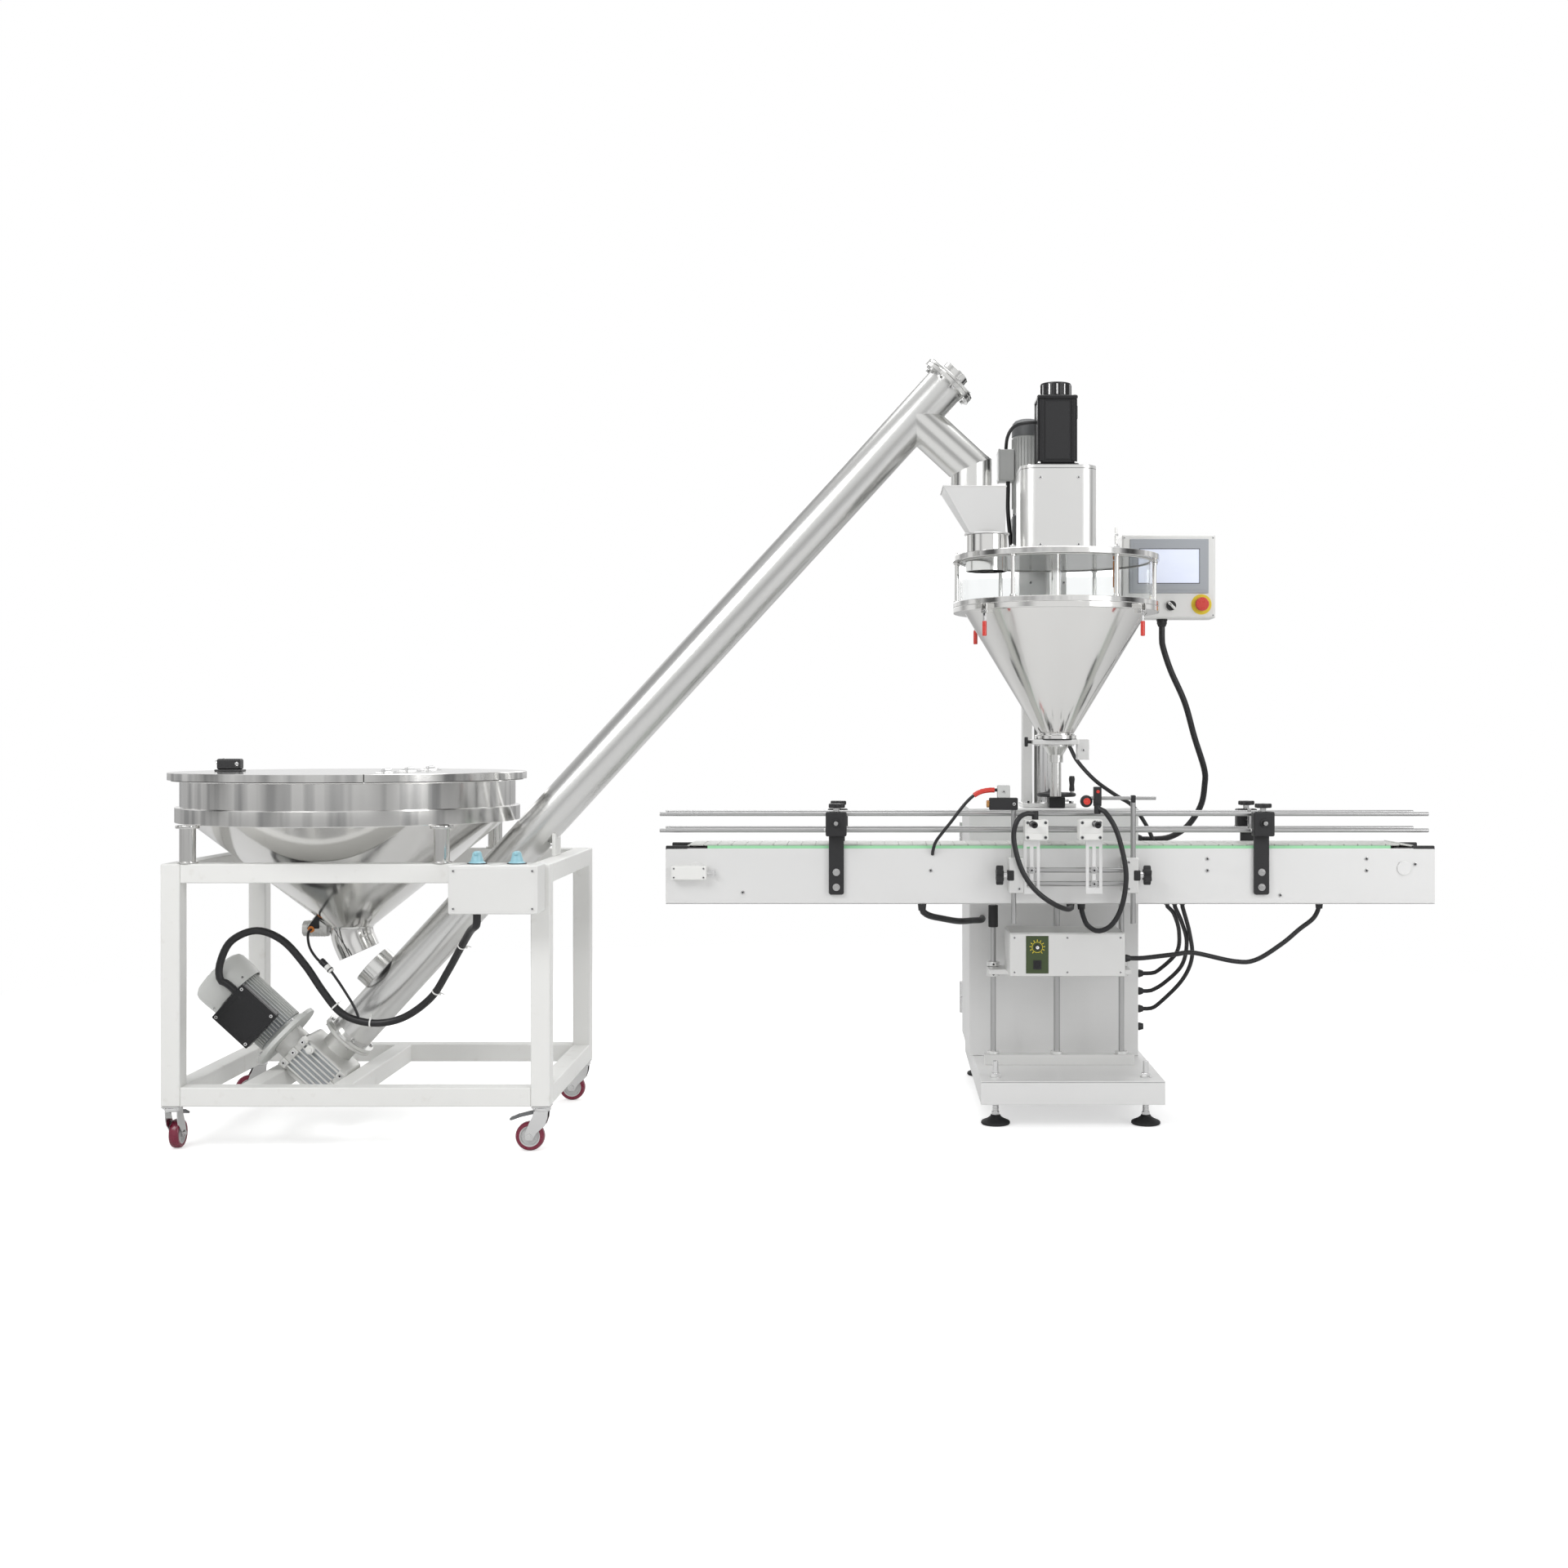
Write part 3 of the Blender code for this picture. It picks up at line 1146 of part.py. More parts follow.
def build_base():
    x0, x1 = TRAY_LEFT, TRAY_LEFT + TRAY_WIDTH
    y0, y1 = TRAY_FRONT, TRAY_FRONT + TRAY_DEPTH
    solids = [span((x0, y0, TRAY_BOTTOM), (x1, y1, TRAY_TOP))]
    hollow = span((x0 + TRAY_SHEET, y0 + TRAY_SHEET, TRAY_BOTTOM - OVERRUN),
                  (x1 - TRAY_SHEET, y1 - TRAY_SHEET, TRAY_TOP - TRAY_SHEET))
    tray = combined(solids, [hollow])
    solids = [tray]
    sheet = TRAY_TOP - TRAY_SHEET
    for x in (x0 + PAD_INSET, x1 - PAD_INSET):
        for y in (y0 + PAD_INSET * 1.4, y1 - PAD_INSET * 1.4):
            solids.append(turned([(PAD_RADIUS, PAD_HEIGHT), (PAD_RADIUS, 0), (0, 0), (0, PAD_DOME),
                                  (STEM_RADIUS * 1.6, PAD_DOME)][::-1], (x, y, 0), UP, SMALL_ROUND))
            # The rear feet end in the sheet under the cabinet.
            stem_top = TRAY_TOP + STEM_ABOVE if y < CABINET_FRONT else sheet + WELD
            solids.append(rod((x, y, PAD_DOME - WELD), (x, y, stem_top), STEM_RADIUS, FINE_ROUND))
            solids.append(rod((x, y, sheet - NUT_HEIGHT), (x, y, sheet + WELD), NUT_RADIUS, 6))
            if y < CABINET_FRONT:
                solids.append(rod((x, y, TRAY_TOP - WELD), (x, y, TRAY_TOP + NUT_HEIGHT), NUT_RADIUS, 6))
    half = CROSSBAR_DEPTH / 2
    solids.append(span((CROSSBAR_LEFT, GUIDE_Y - half, TRAY_TOP - WELD),
                       (CROSSBAR_LEFT + CROSSBAR_WIDTH, GUIDE_Y + half, TRAY_TOP + CROSSBAR_HEIGHT)))
    ear_low = SHAKER_BOTTOM + WELD - EAR_THICK - FIT
    ear_high = SHAKER_BOTTOM + WELD + FIT
    for x, radius in ((GUIDE_LEFT_X, GUIDE_RADIUS), (GUIDE_RIGHT_X, GUIDE_RADIUS), (LIFT_SCREW_X, LIFT_SCREW_RADIUS)):
        solids.append(rod((x, GUIDE_Y, TRAY_TOP), (x, GUIDE_Y, GUIDE_TOP), radius, SMALL_ROUND))
    for x in (GUIDE_LEFT_X, GUIDE_RIGHT_X):
        solids.append(rod((x, GUIDE_Y, ear_low - COLLAR_HEIGHT), (x, GUIDE_Y, ear_low), COLLAR_RADIUS, SMALL_ROUND))
        solids.append(rod((x, GUIDE_Y, ear_high), (x, GUIDE_Y, ear_high + COLLAR_HEIGHT), COLLAR_RADIUS, SMALL_ROUND))
    solids.append(rod((GUIDE_LEFT_X, GUIDE_Y, BUSH_Z), (GUIDE_LEFT_X, GUIDE_Y, BUSH_Z + BUSH_HEIGHT), BUSH_RADIUS,
                      SMALL_ROUND))
    return piece("base_tray", solids, at=(x0 + TRAY_WIDTH / 2, y0 + TRAY_DEPTH / 2, TRAY_BOTTOM), look=SATIN)


def build_cabinet(base):
    x0, x1 = CABINET_LEFT, CABINET_LEFT + CABINET_WIDTH
    y0, y1 = CABINET_FRONT, CABINET_FRONT + CABINET_DEPTH
    z0, z1 = TRAY_TOP + FIT, CABINET_TOP
    t = CABINET_SHEET
    shell = combined([span((x0, y0, z0), (x1, y1, z1))],
                     [span((x0 + t, y0 + t, z0 + t), (x1 - t, y1 + OVERRUN, z1 - t))])
    solids = [shell]
    pivot = Vector((x0, y1 + FIT + DOOR_SHEET, 0))
    heights = (z0 + DOOR_MARGIN * 6, z1 - DOOR_MARGIN * 6 - DOOR_KNUCKLE * 2)
    for z in heights:
        low, mid = pivot + UP * z, pivot + UP * (z + DOOR_KNUCKLE)
        solids.append(rod(low, mid, DOOR_BARREL, SMALL_ROUND))
        solids.append(rod(mid - UP * WELD, mid + UP * (DOOR_KNUCKLE * 0.9), DOOR_PIN, FINE_ROUND))
        solids.append(span((x0, y1 - DOOR_BARREL, z), (x0 + t, y1 + DOOR_BARREL, z + DOOR_KNUCKLE)))
    for k in range(GLAND_COUNT):
        z = GLAND_Z + k * GLAND_PITCH
        solids.append(rod((x1 - WELD, GLAND_Y, z), (x1 + GLAND_LENGTH, GLAND_Y, z), GLAND_RADIUS, SMALL_ROUND))
    solids.append(rod((x1 - WELD, PANEL_ENTRY_Y, PANEL_ENTRY_Z), (x1 + GLAND_LENGTH, PANEL_ENTRY_Y, PANEL_ENTRY_Z),
                      GLAND_RADIUS, SMALL_ROUND))
    cabinet = piece("cabinet", solids, at=(x0 + CABINET_WIDTH / 2, y0, z0), look=SATIN, carrier=base)

    inset = DOOR_BARREL + RUNNING
    door = [span((x0 + inset, y1 + FIT, z0 + DOOR_MARGIN), (x1, pivot.y, z1 - DOOR_MARGIN))]
    cuts = []
    for z in heights:
        mid = pivot + UP * (z + DOOR_KNUCKLE + RUNNING)
        top = pivot + UP * (z + DOOR_KNUCKLE * 2)
        door.append(rod(mid, top, DOOR_BARREL, SMALL_ROUND))
        door.append(span((x0 + DOOR_BARREL / 2, pivot.y - DOOR_BARREL / 2, mid.z), (x0 + inset * 2, pivot.y, top.z)))
        cuts.append(rod(mid - UP * OVERRUN, top + UP * OVERRUN, clear_of(DOOR_PIN, FINE_ROUND), FINE_ROUND))
    lock = Vector((x1 - DOOR_KNUCKLE, pivot.y - WELD, (z0 + z1) / 2))
    door.append(rod(lock, lock + Vector((0, LOCK_HEIGHT, 0)), LOCK_RADIUS, ROUND))
    piece("cabinet_door", door, cuts, at=(pivot.x, pivot.y, z0), look=SATIN, carrier=cabinet)
    return cabinet


def build_lift(cabinet):
    foot = CABINET_TOP + FIT
    top = foot + COLUMN_BASE
    half = COLUMN_BASE_SIDE / 2
    bar_x, bar_y = GUIDE_BAR
    house = WHEEL_HOUSING / 2
    deck = top + WHEEL_HOUSING_HEIGHT
    solids = [span((COLUMN_X - half, COLUMN_Y - half, foot), (COLUMN_X + half, COLUMN_Y + half, top)),
              rod((COLUMN_X, COLUMN_Y, top - WELD), (COLUMN_X, COLUMN_Y, COLUMN_TOP), COLUMN_RADIUS, ROUND),
              span((GUIDE_BAR_X, COLUMN_Y - bar_y / 2, top - WELD),
                   (GUIDE_BAR_X + bar_x, COLUMN_Y + bar_y / 2, COLUMN_TOP)),
              span((GUIDE_BAR_X, COLUMN_Y - bar_y / 2, COLUMN_TOP - WELD),
                   (COLUMN_X + COLUMN_RADIUS, COLUMN_Y + bar_y / 2, COLUMN_TOP + COLUMN_BASE)),
              span((WHEEL_X - house, WHEEL_Y - house, foot), (WHEEL_X + house, COLUMN_Y - half + WELD, deck)),
              rod((WHEEL_X, WHEEL_Y, deck - WELD), (WHEEL_X, WHEEL_Y, deck + WHEEL_HUB), AXLE_RADIUS, FINE_ROUND)]
    # The panel's arm is clamped on the column.
    low, high = PANEL_ARM_LOW, PANEL_ARM_HIGH
    back = PANEL_FRONT + PANEL_DEPTH + FIT
    solids.append(rod((COLUMN_X, COLUMN_Y, low - PANEL_ARM_RADIUS), (COLUMN_X, COLUMN_Y, low + PANEL_ARM_RADIUS),
                      COLUMN_RADIUS + COLUMN_BASE, ROUND))
    solids.append(piped([(COLUMN_X + COLUMN_RADIUS, COLUMN_Y, low), (PANEL_ARM_X, COLUMN_Y, low),
                         (PANEL_ARM_X, COLUMN_Y, high), (PANEL_ARM_X, back + PANEL_FLANGE_THICK / 2, high)],
                        PANEL_ARM_RADIUS, 4))
    solids.append(rod((PANEL_ARM_X, back, high), (PANEL_ARM_X, back + PANEL_FLANGE_THICK, high), PANEL_FLANGE, ROUND))
    column = piece("head_column", solids, at=(COLUMN_X, COLUMN_Y, foot), look=POLISHED, carrier=cabinet)

    # Handwheel with an upright crank handle
    hub = Vector((WHEEL_X, WHEEL_Y, 0))
    ring = [(WHEEL_RIM + WHEEL_TUBE * math.cos(a), WHEEL_Z + WHEEL_TUBE * math.sin(a))
            for a in (2 * math.pi * k / 6 for k in range(6))]
    solids = [turned(ring, hub, UP, ROUND), rod(hub + UP * (deck + FIT), hub + UP * (WHEEL_Z + WHEEL_HUB), WHEEL_HUB,
                                                SMALL_ROUND)]
    for k in range(WHEEL_SPOKES):
        angle = 2 * math.pi * (k + 0.4) / WHEEL_SPOKES
        out = Vector((math.cos(angle), math.sin(angle), 0)) * WHEEL_RIM
        solids.append(rod(hub + UP * WHEEL_Z, hub + out + UP * WHEEL_Z, WHEEL_SPOKE, FINE_ROUND))
    grip = hub + Vector((WHEEL_RIM - WHEEL_TUBE, 0, 0))
    solids.append(rod(grip + UP * WHEEL_Z, grip + UP * CRANK_TOP, CRANK_RADIUS, SMALL_ROUND))
    bore = rod(hub + UP * deck, hub + UP * (deck + WHEEL_HUB + RUNNING), clear_of(AXLE_RADIUS, FINE_ROUND), FINE_ROUND)
    piece("handwheel", solids, [bore], at=(WHEEL_X, WHEEL_Y, WHEEL_Z), look=BLACK, carrier=column)

    # Carriage on the column and the guide bar, with the arm that carries the hopper's top plate
    deep = COLUMN_RADIUS + YOKE_WALL
    plate_top = PLATE_BOTTOM + PLATE_THICK + FIT
    front = COLUMN_Y - deep
    solids = [span((GUIDE_BAR_X - YOKE_WALL, front, YOKE_BOTTOM),
                   (COLUMN_X + deep, COLUMN_Y + deep, YOKE_BOTTOM + YOKE_HEIGHT)),
              span((COLUMN_X - ARM_WIDTH / 2, ARM_FRONT_Y, plate_top),
                   (COLUMN_X + ARM_WIDTH / 2, front + WELD, plate_top + ARM_THICK))]
    rear = FILL_Y + PLATE_RADIUS + CAP_RADIUS / 4
    web = [(rear, plate_top + WELD), (front + WELD, plate_top + WELD), (front + WELD, YOKE_BOTTOM)]
    solids.append(plate(web, ARM_THICK, Matrix.Translation((COLUMN_X, 0, 0)) @ axes((1, 0, 0), (0, 1, 0))))
    gap = RUNNING
    low_z, high_z = YOKE_BOTTOM - OVERRUN, YOKE_BOTTOM + YOKE_HEIGHT + OVERRUN
    cuts = [rod((COLUMN_X, COLUMN_Y, low_z), (COLUMN_X, COLUMN_Y, high_z), COLUMN_RADIUS + gap, ROUND),
            span((GUIDE_BAR_X - gap, COLUMN_Y - bar_y / 2 - gap, low_z),
                 (GUIDE_BAR_X + bar_x + gap, COLUMN_Y + bar_y / 2 + gap, high_z))]
    return piece("head_carriage", solids, cuts, at=(COLUMN_X, COLUMN_Y, YOKE_BOTTOM), look=SATIN, carrier=column)


# Filler head, carried by the carriage

def fill(x=0.0, y=0.0, z=0.0):
    """A point measured from the filling auger's axis."""
    return Vector((FILL_X + x, FILL_Y + y, z))


def build_filler_hopper(carriage):
    plate_top = PLATE_BOTTOM + PLATE_THICK
    inlet = fill(INLET_X, FEED_Y - FILL_Y)
    solids = [rod(fill(z=PLATE_BOTTOM), fill(z=plate_top), PLATE_RADIUS, LARGE_ROUND),
              turned([(RING_RADIUS, RING_TOP), (RING_RADIUS, RING_SEAM + FIT), (RING_INNER, RING_SEAM + FIT),
                      (RING_INNER, RING_TOP)], fill(), UP, LARGE_ROUND),
              rod(inlet + UP * (PLATE_BOTTOM - COLLAR_BELOW), inlet + UP * COLLAR_TOP, COLLAR_TUBE, ROUND)]
    for k in range(POST_COUNT):
        angle = 2 * math.pi * k / POST_COUNT
        spot = fill(POST_AT * math.cos(angle), POST_AT * math.sin(angle))
        solids.append(rod(spot + UP * (RING_TOP - WELD), spot + UP * (PLATE_BOTTOM + WELD), POST_RADIUS, FINE_ROUND))
        solids.append(rod(spot + UP * (plate_top - WELD), spot + UP * (plate_top + POST_RADIUS), POST_RADIUS * 1.3, 6))
    stud = fill(*STUD_AT)
    solids.append(rod(stud + UP * (PLATE_BOTTOM - STUD_HEIGHT), stud + UP * (plate_top + STUD_HEIGHT), STUD_RADIUS,
                      FINE_ROUND))
    cuts = [rod(inlet + UP * (PLATE_BOTTOM - COLLAR_BELOW - OVERRUN), inlet + UP * (COLLAR_TOP + OVERRUN),
                COLLAR_TUBE - COLLAR_WALL, ROUND),
            rod(fill(z=PLATE_BOTTOM - OVERRUN), fill(z=plate_top + OVERRUN), clear_of(SLEEVE_RADIUS, SMALL_ROUND), SMALL_ROUND)]
    top = piece("hopper_top_plate", solids, cuts, at=fill(z=PLATE_BOTTOM), look=POLISHED, carrier=carriage)

    piece("hopper_window", [turned([(WINDOW_RADIUS, PLATE_BOTTOM - FIT), (WINDOW_RADIUS, RING_TOP + FIT),
                                    (WINDOW_RADIUS - WINDOW_WALL, RING_TOP + FIT),
                                    (WINDOW_RADIUS - WINDOW_WALL, PLATE_BOTTOM - FIT)], fill(), UP, LARGE_ROUND)],
          at=fill(z=RING_TOP), look=CLEAR, carrier=top)

    # Square funnel on the collar, with its right side upright
    right = FUNNEL_MOUTH_LEFT + FUNNEL_MOUTH
    mouth = (FUNNEL_MOUTH_LEFT, right, FEED_Y - FUNNEL_MOUTH / 2, FEED_Y + FUNNEL_MOUTH / 2)
    throat = (right - FUNNEL_THROAT, right, FEED_Y - FUNNEL_THROAT / 2, FEED_Y + FUNNEL_THROAT / 2)
    floor = COLLAR_TOP + FIT
    solids = [rod(inlet + UP * floor, inlet + UP * (floor + FUNNEL_WALL), COLLAR_TUBE + FUNNEL_WALL * 2, ROUND),
              tapered(throat, mouth, floor, FUNNEL_TOP, 0)]
    cuts = [tapered(throat, mouth, floor, FUNNEL_TOP, FUNNEL_WALL)]
    piece("inlet_funnel", solids, cuts, at=(inlet.x, FEED_Y, floor), look=SATIN, carrier=top)

    # Cone with the ears of the four toggle clamps
    wall = FILL_WALL
    cone = turned([(RING_RADIUS, RING_SEAM), (RING_RADIUS, RING_BOTTOM), (FILL_CONE_RADIUS, RING_BOTTOM),
                   (FILL_CONE_FOOT, FILL_CONE_Z), (FILL_CONE_FOOT, NECK_FLANGE_TOP), (NECK_FLANGE, NECK_FLANGE_TOP),
                   (NECK_FLANGE, NECK_FLANGE_BOTTOM), (FILL_CONE_FOOT - wall, NECK_FLANGE_BOTTOM),
                   (FILL_CONE_FOOT - wall, FILL_CONE_Z), (FILL_CONE_RADIUS - wall, RING_BOTTOM + wall),
                   (FILL_CONE_RADIUS - wall, RING_SEAM)], fill(), UP, LARGE_ROUND)
    solids = [cone]
    levers = []
    for name, degrees in CLAMP_ANGLES_DEGREES.items():
        angle = math.radians(degrees)
        out = Vector((math.cos(angle), math.sin(angle), 0))
        side = Vector((-math.sin(angle), math.cos(angle), 0))
        pivot = fill(z=CLAMP_PIVOT_Z) + out * (RING_RADIUS + CLAMP_PIVOT_OUT)
        turn = axes(side, out)
        height = RING_SEAM - CLAMP_PIVOT_Z + CLAMP_BARREL
        for sign in (-1, 1):
            spot = pivot + side * (sign * (CLAMP_GAP + CLAMP_EAR) / 2) - out * (CLAMP_PIVOT_OUT / 2)
            solids.append(block((CLAMP_PIVOT_OUT + CLAMP_BARREL * 2, height, CLAMP_EAR),
                                spot + UP * (height / 2 - CLAMP_BARREL), turn))
        pin = side * (CLAMP_GAP / 2 + CLAMP_EAR / 2)
        solids.append(rod(pivot - pin, pivot + pin, CLAMP_PIN, FINE_ROUND))
        levers.append((name, pivot, out, side))
    body = piece("hopper_cone", solids, at=fill(z=RING_BOTTOM), look=POLISHED, carrier=top)

    for name, pivot, out, side in levers:
        half = side * (CLAMP_GAP / 2 - RUNNING)
        tip = pivot + out * (CLAMP_BARREL / 2) - UP * CLAMP_LEVER
        solids = [rod(pivot - half, pivot + half, CLAMP_BARREL, SMALL_ROUND),
                  rod(pivot + out * (CLAMP_BARREL * 0.6) - UP * (CLAMP_BARREL * 0.6), tip, CLAMP_BARREL * 0.6, FINE_ROUND),
                  rod(tip + UP * CLAMP_GRIP_LENGTH, tip - UP * (CLAMP_GRIP_LENGTH / 4), CLAMP_GRIP, FINE_ROUND)]
        cut = rod(pivot - half * 2, pivot + half * 2, clear_of(CLAMP_PIN, FINE_ROUND), FINE_ROUND)
        piece("clamp_lever_" + name, solids, [cut], at=pivot, look=RED, carrier=body)
    return top


def tapered(low, high, z0, z1, wall):
    """A four-sided frustum between two rectangles (x0, x1, y0, y1), shrunk by the wall and run past both ends."""
    past = OVERRUN if wall else 0
    slant = [(h - l) / (z1 - z0) * past for l, h in zip(low, high)]
    bm = bmesh.new()
    bmesh.ops.create_cube(bm, size=2)
    for vert in bm.verts:
        upper = vert.co.z > 0
        rect = high if upper else low
        sign = 1 if upper else -1
        x = rect[1] + slant[1] * sign - wall if vert.co.x > 0 else rect[0] + slant[0] * sign + wall
        y = rect[3] + slant[3] * sign - wall if vert.co.y > 0 else rect[2] + slant[2] * sign + wall
        vert.co = (x, y, z1 + past if upper else z0 - past)
    return scratch(bm)


def build_nozzle(top):
    bracket_top = NECK_FLANGE_BOTTOM - FIT
    throat = NOZZLE_MOUTH - FILL_WALL
    tube = turned([(NOZZLE_MOUTH, bracket_top), (NOZZLE_MOUTH, NOZZLE_CONE_TOP), (NOZZLE_NECK, NOZZLE_CONE_END),
                   (NOZZLE_NECK, NOZZLE_NECK_END), (NOZZLE_RADIUS, NOZZLE_NECK_END), (NOZZLE_RADIUS, NOZZLE_END),
                   (NOZZLE_BORE, NOZZLE_END), (NOZZLE_BORE, NOZZLE_CONE_END), (throat, NOZZLE_CONE_TOP + FILL_WALL),
                   (throat, bracket_top)], fill(), UP, ROUND)
    bracket = combined([span(fill(BRACKET_LEFT, -BRACKET_DEPTH / 2, BRACKET_BOTTOM),
                             fill(BRACKET_RIGHT, BRACKET_DEPTH / 2, bracket_top))],
                       [rod(fill(z=BRACKET_BOTTOM - OVERRUN), fill(z=bracket_top + OVERRUN), NOZZLE_MOUTH - WELD / 2,
                            ROUND)])
    wide, deep, tall = SENSOR_BOX
    middle = (BRACKET_BOTTOM + bracket_top) / 2
    sensor = span(fill(BRACKET_RIGHT - WELD, -deep / 2, bracket_top - tall), fill(BRACKET_RIGHT + wide, deep / 2,
                                                                                 bracket_top))
    bolt = rod(fill(BRACKET_LEFT - WING_REACH, 0, middle), fill(BRACKET_LEFT + WELD, 0, middle), WING_RADIUS, FINE_ROUND)
    wing = rod(fill(BRACKET_LEFT - WING_REACH, 0, middle - WING_REACH), fill(BRACKET_LEFT - WING_REACH, 0,
                                                                         middle + WING_REACH), WING_RADIUS, FINE_ROUND)
    piece("nozzle_tube", [bracket, tube, sensor, bolt, wing], at=fill(z=bracket_top), look=SATIN, carrier=top)


def build_drive(top):
    deck = PLATE_BOTTOM + PLATE_THICK + FIT
    inner = HOUSING_SIDE - HOUSING_WALL * 2
    height = HOUSING_TOP - deck
    outline = rounded(HOUSING_SIDE, HOUSING_SIDE, HOUSING_CORNER)
    wall = plate(outline, height, Matrix.Translation(fill(z=deck + height / 2)),
                 [rounded(inner, inner, HOUSING_CORNER - HOUSING_WALL)])
    lid = plate(outline, HOUSING_LID, Matrix.Translation(fill(z=HOUSING_TOP - HOUSING_LID / 2)))
    hole = rod(fill(z=HOUSING_TOP - HOUSING_LID - OVERRUN), fill(z=HOUSING_TOP + OVERRUN), COUPLING_RADIUS, SMALL_ROUND)
    housing = piece("drive_housing", [wall, lid], [hole], at=fill(z=deck), look=SATIN, carrier=top)

    foot = HOUSING_TOP + FIT
    square = rounded(SERVO_SIDE, SERVO_SIDE, SERVO_CORNER, 2)
    rows = []
    pitch = (SERVO_SIDE - SERVO_CORNER * 3) / SERVO_FINS
    for turn in range(4):
        way = Matrix.Rotation(math.radians(90) * turn, 4, "Z")
        for k in range(SERVO_FINS):
            spot = way @ Vector(((k - (SERVO_FINS - 1) / 2) * pitch, SERVO_SIDE / 2, 0))
            size = (SERVO_FIN_WIDTH, SERVO_FIN_DEPTH * 2, SERVO_TOP - foot - SERVO_FLANGE_THICK * 3)
            rows.append(block(size, fill(spot.x, spot.y, (SERVO_TOP + foot) / 2), way))
    flange = rounded(SERVO_FLANGE, SERVO_FLANGE, SERVO_CORNER, 2)
    solids = [plate(square, SERVO_TOP - foot, Matrix.Translation(fill(z=(SERVO_TOP + foot) / 2))),
              plate(flange, SERVO_FLANGE_THICK, Matrix.Translation(fill(z=foot + SERVO_FLANGE_THICK / 2))),
              rod(fill(z=SERVO_TOP - WELD), fill(z=SERVO_CAP_TOP), SERVO_CAP_RADIUS, ROUND)]
    rows.append(rod(fill(z=foot - OVERRUN), fill(z=AUGER_TOP + RUNNING), clear_of(AUGER_SHAFT, FINE_ROUND), FINE_ROUND))
    piece("servo_motor", solids, rows, at=fill(z=foot), look=BLACK, carrier=housing)

    x, y = AGITATOR_MOTOR_X, AGITATOR_MOTOR_Y
    half = AGITATOR_GEAR_SIDE / 2
    wide, deep, tall = AGITATOR_BOX
    radius = AGITATOR_MOTOR_RADIUS
    dome = radius / 3
    solids = [span(fill(x - half, y - half, deck), fill(x + half, y + half, AGITATOR_GEAR_TOP)),
              span(fill(x - half / 2, HOUSING_SIDE / 2 + FIT, deck), fill(x + half / 2, y, deck + half)),
              turned([(0, AGITATOR_GEAR_TOP - WELD), (0, AGITATOR_MOTOR_TOP), (radius - dome, AGITATOR_MOTOR_TOP),
                      (radius, AGITATOR_MOTOR_TOP - dome), (radius, AGITATOR_GEAR_TOP - WELD)], fill(x, y), UP, ROUND),
              span(fill(x - radius - wide + dome / 2, y - deep / 2, AGITATOR_BOX_Z),
                   fill(x, y + deep / 2, AGITATOR_BOX_Z + tall))]
    piece("agitator_motor", solids, at=fill(x, y, deck), look=GREY, carrier=top)

    # Filling auger: shaft, coupling, forcing flight and dosing flight
    solids = [rod(fill(z=AUGER_END), fill(z=AUGER_TOP), AUGER_SHAFT, FINE_ROUND),
              rod(fill(z=HOUSING_TOP - HOUSING_LID * 2 - COUPLING_HEIGHT), fill(z=HOUSING_TOP - HOUSING_LID * 2),
                  COUPLING_RADIUS, SMALL_ROUND),
              helix(AUGER_RADIUS, AUGER_SHAFT - WELD, AUGER_PITCH, AUGER_TURNS, AUGER_STEPS, AUGER_FLIGHT,
                    fill(z=AUGER_END)),
              helix(FORCE_RADIUS, AUGER_SHAFT - WELD, FORCE_PITCH, FORCE_TURNS, AUGER_STEPS, AUGER_FLIGHT,
                    fill(z=FORCE_Z))]
    piece("filling_auger", solids, at=fill(z=AUGER_END), look=POLISHED, carrier=top)

    # Agitator: a sleeve round the shaft, and two bars that follow the cone down to a ring
    slope_ = (FILL_CONE_RADIUS - FILL_CONE_FOOT) / (RING_BOTTOM - FILL_CONE_Z)

    def scrape(z):
        return FILL_CONE_FOOT - FILL_WALL + slope_ * (z - FILL_CONE_Z) - STIR_GAP - STIR_BAR

    ring = [(STIR_RING + STIR_BAR * math.cos(a), STIR_BOTTOM + STIR_BAR * math.sin(a))
            for a in (2 * math.pi * k / 6 for k in range(6))]
    sleeve = turned([(SLEEVE_RADIUS, SLEEVE_TOP), (SLEEVE_RADIUS, SLEEVE_BOTTOM), (SLEEVE_BORE, SLEEVE_BOTTOM),
                     (SLEEVE_BORE, SLEEVE_TOP)], fill(), UP, SMALL_ROUND)
    pulley = turned([(SLEEVE_RADIUS * 2, SLEEVE_TOP), (SLEEVE_RADIUS * 2, SLEEVE_TOP - SLEEVE_RADIUS),
                     (SLEEVE_RADIUS - WELD, SLEEVE_TOP - SLEEVE_RADIUS), (SLEEVE_RADIUS - WELD, SLEEVE_TOP)],
                    fill(), UP, ROUND)
    solids = [sleeve, turned(ring, fill(), UP, SMALL_ROUND), pulley]
    for sign in (-1, 1):
        route = [fill(sign * (SLEEVE_RADIUS - STIR_BAR), 0, SLEEVE_BOTTOM + SLEEVE_RADIUS),
                 fill(sign * scrape(STIR_TOP), 0, STIR_TOP), fill(sign * scrape(STIR_BOTTOM), 0, STIR_BOTTOM),
                 fill(sign * STIR_RING, 0, STIR_BOTTOM)]
        solids.append(piped(route, STIR_BAR, 1))
    piece("agitator", solids, at=fill(z=SLEEVE_TOP), look=POLISHED, carrier=top)


# Control panel

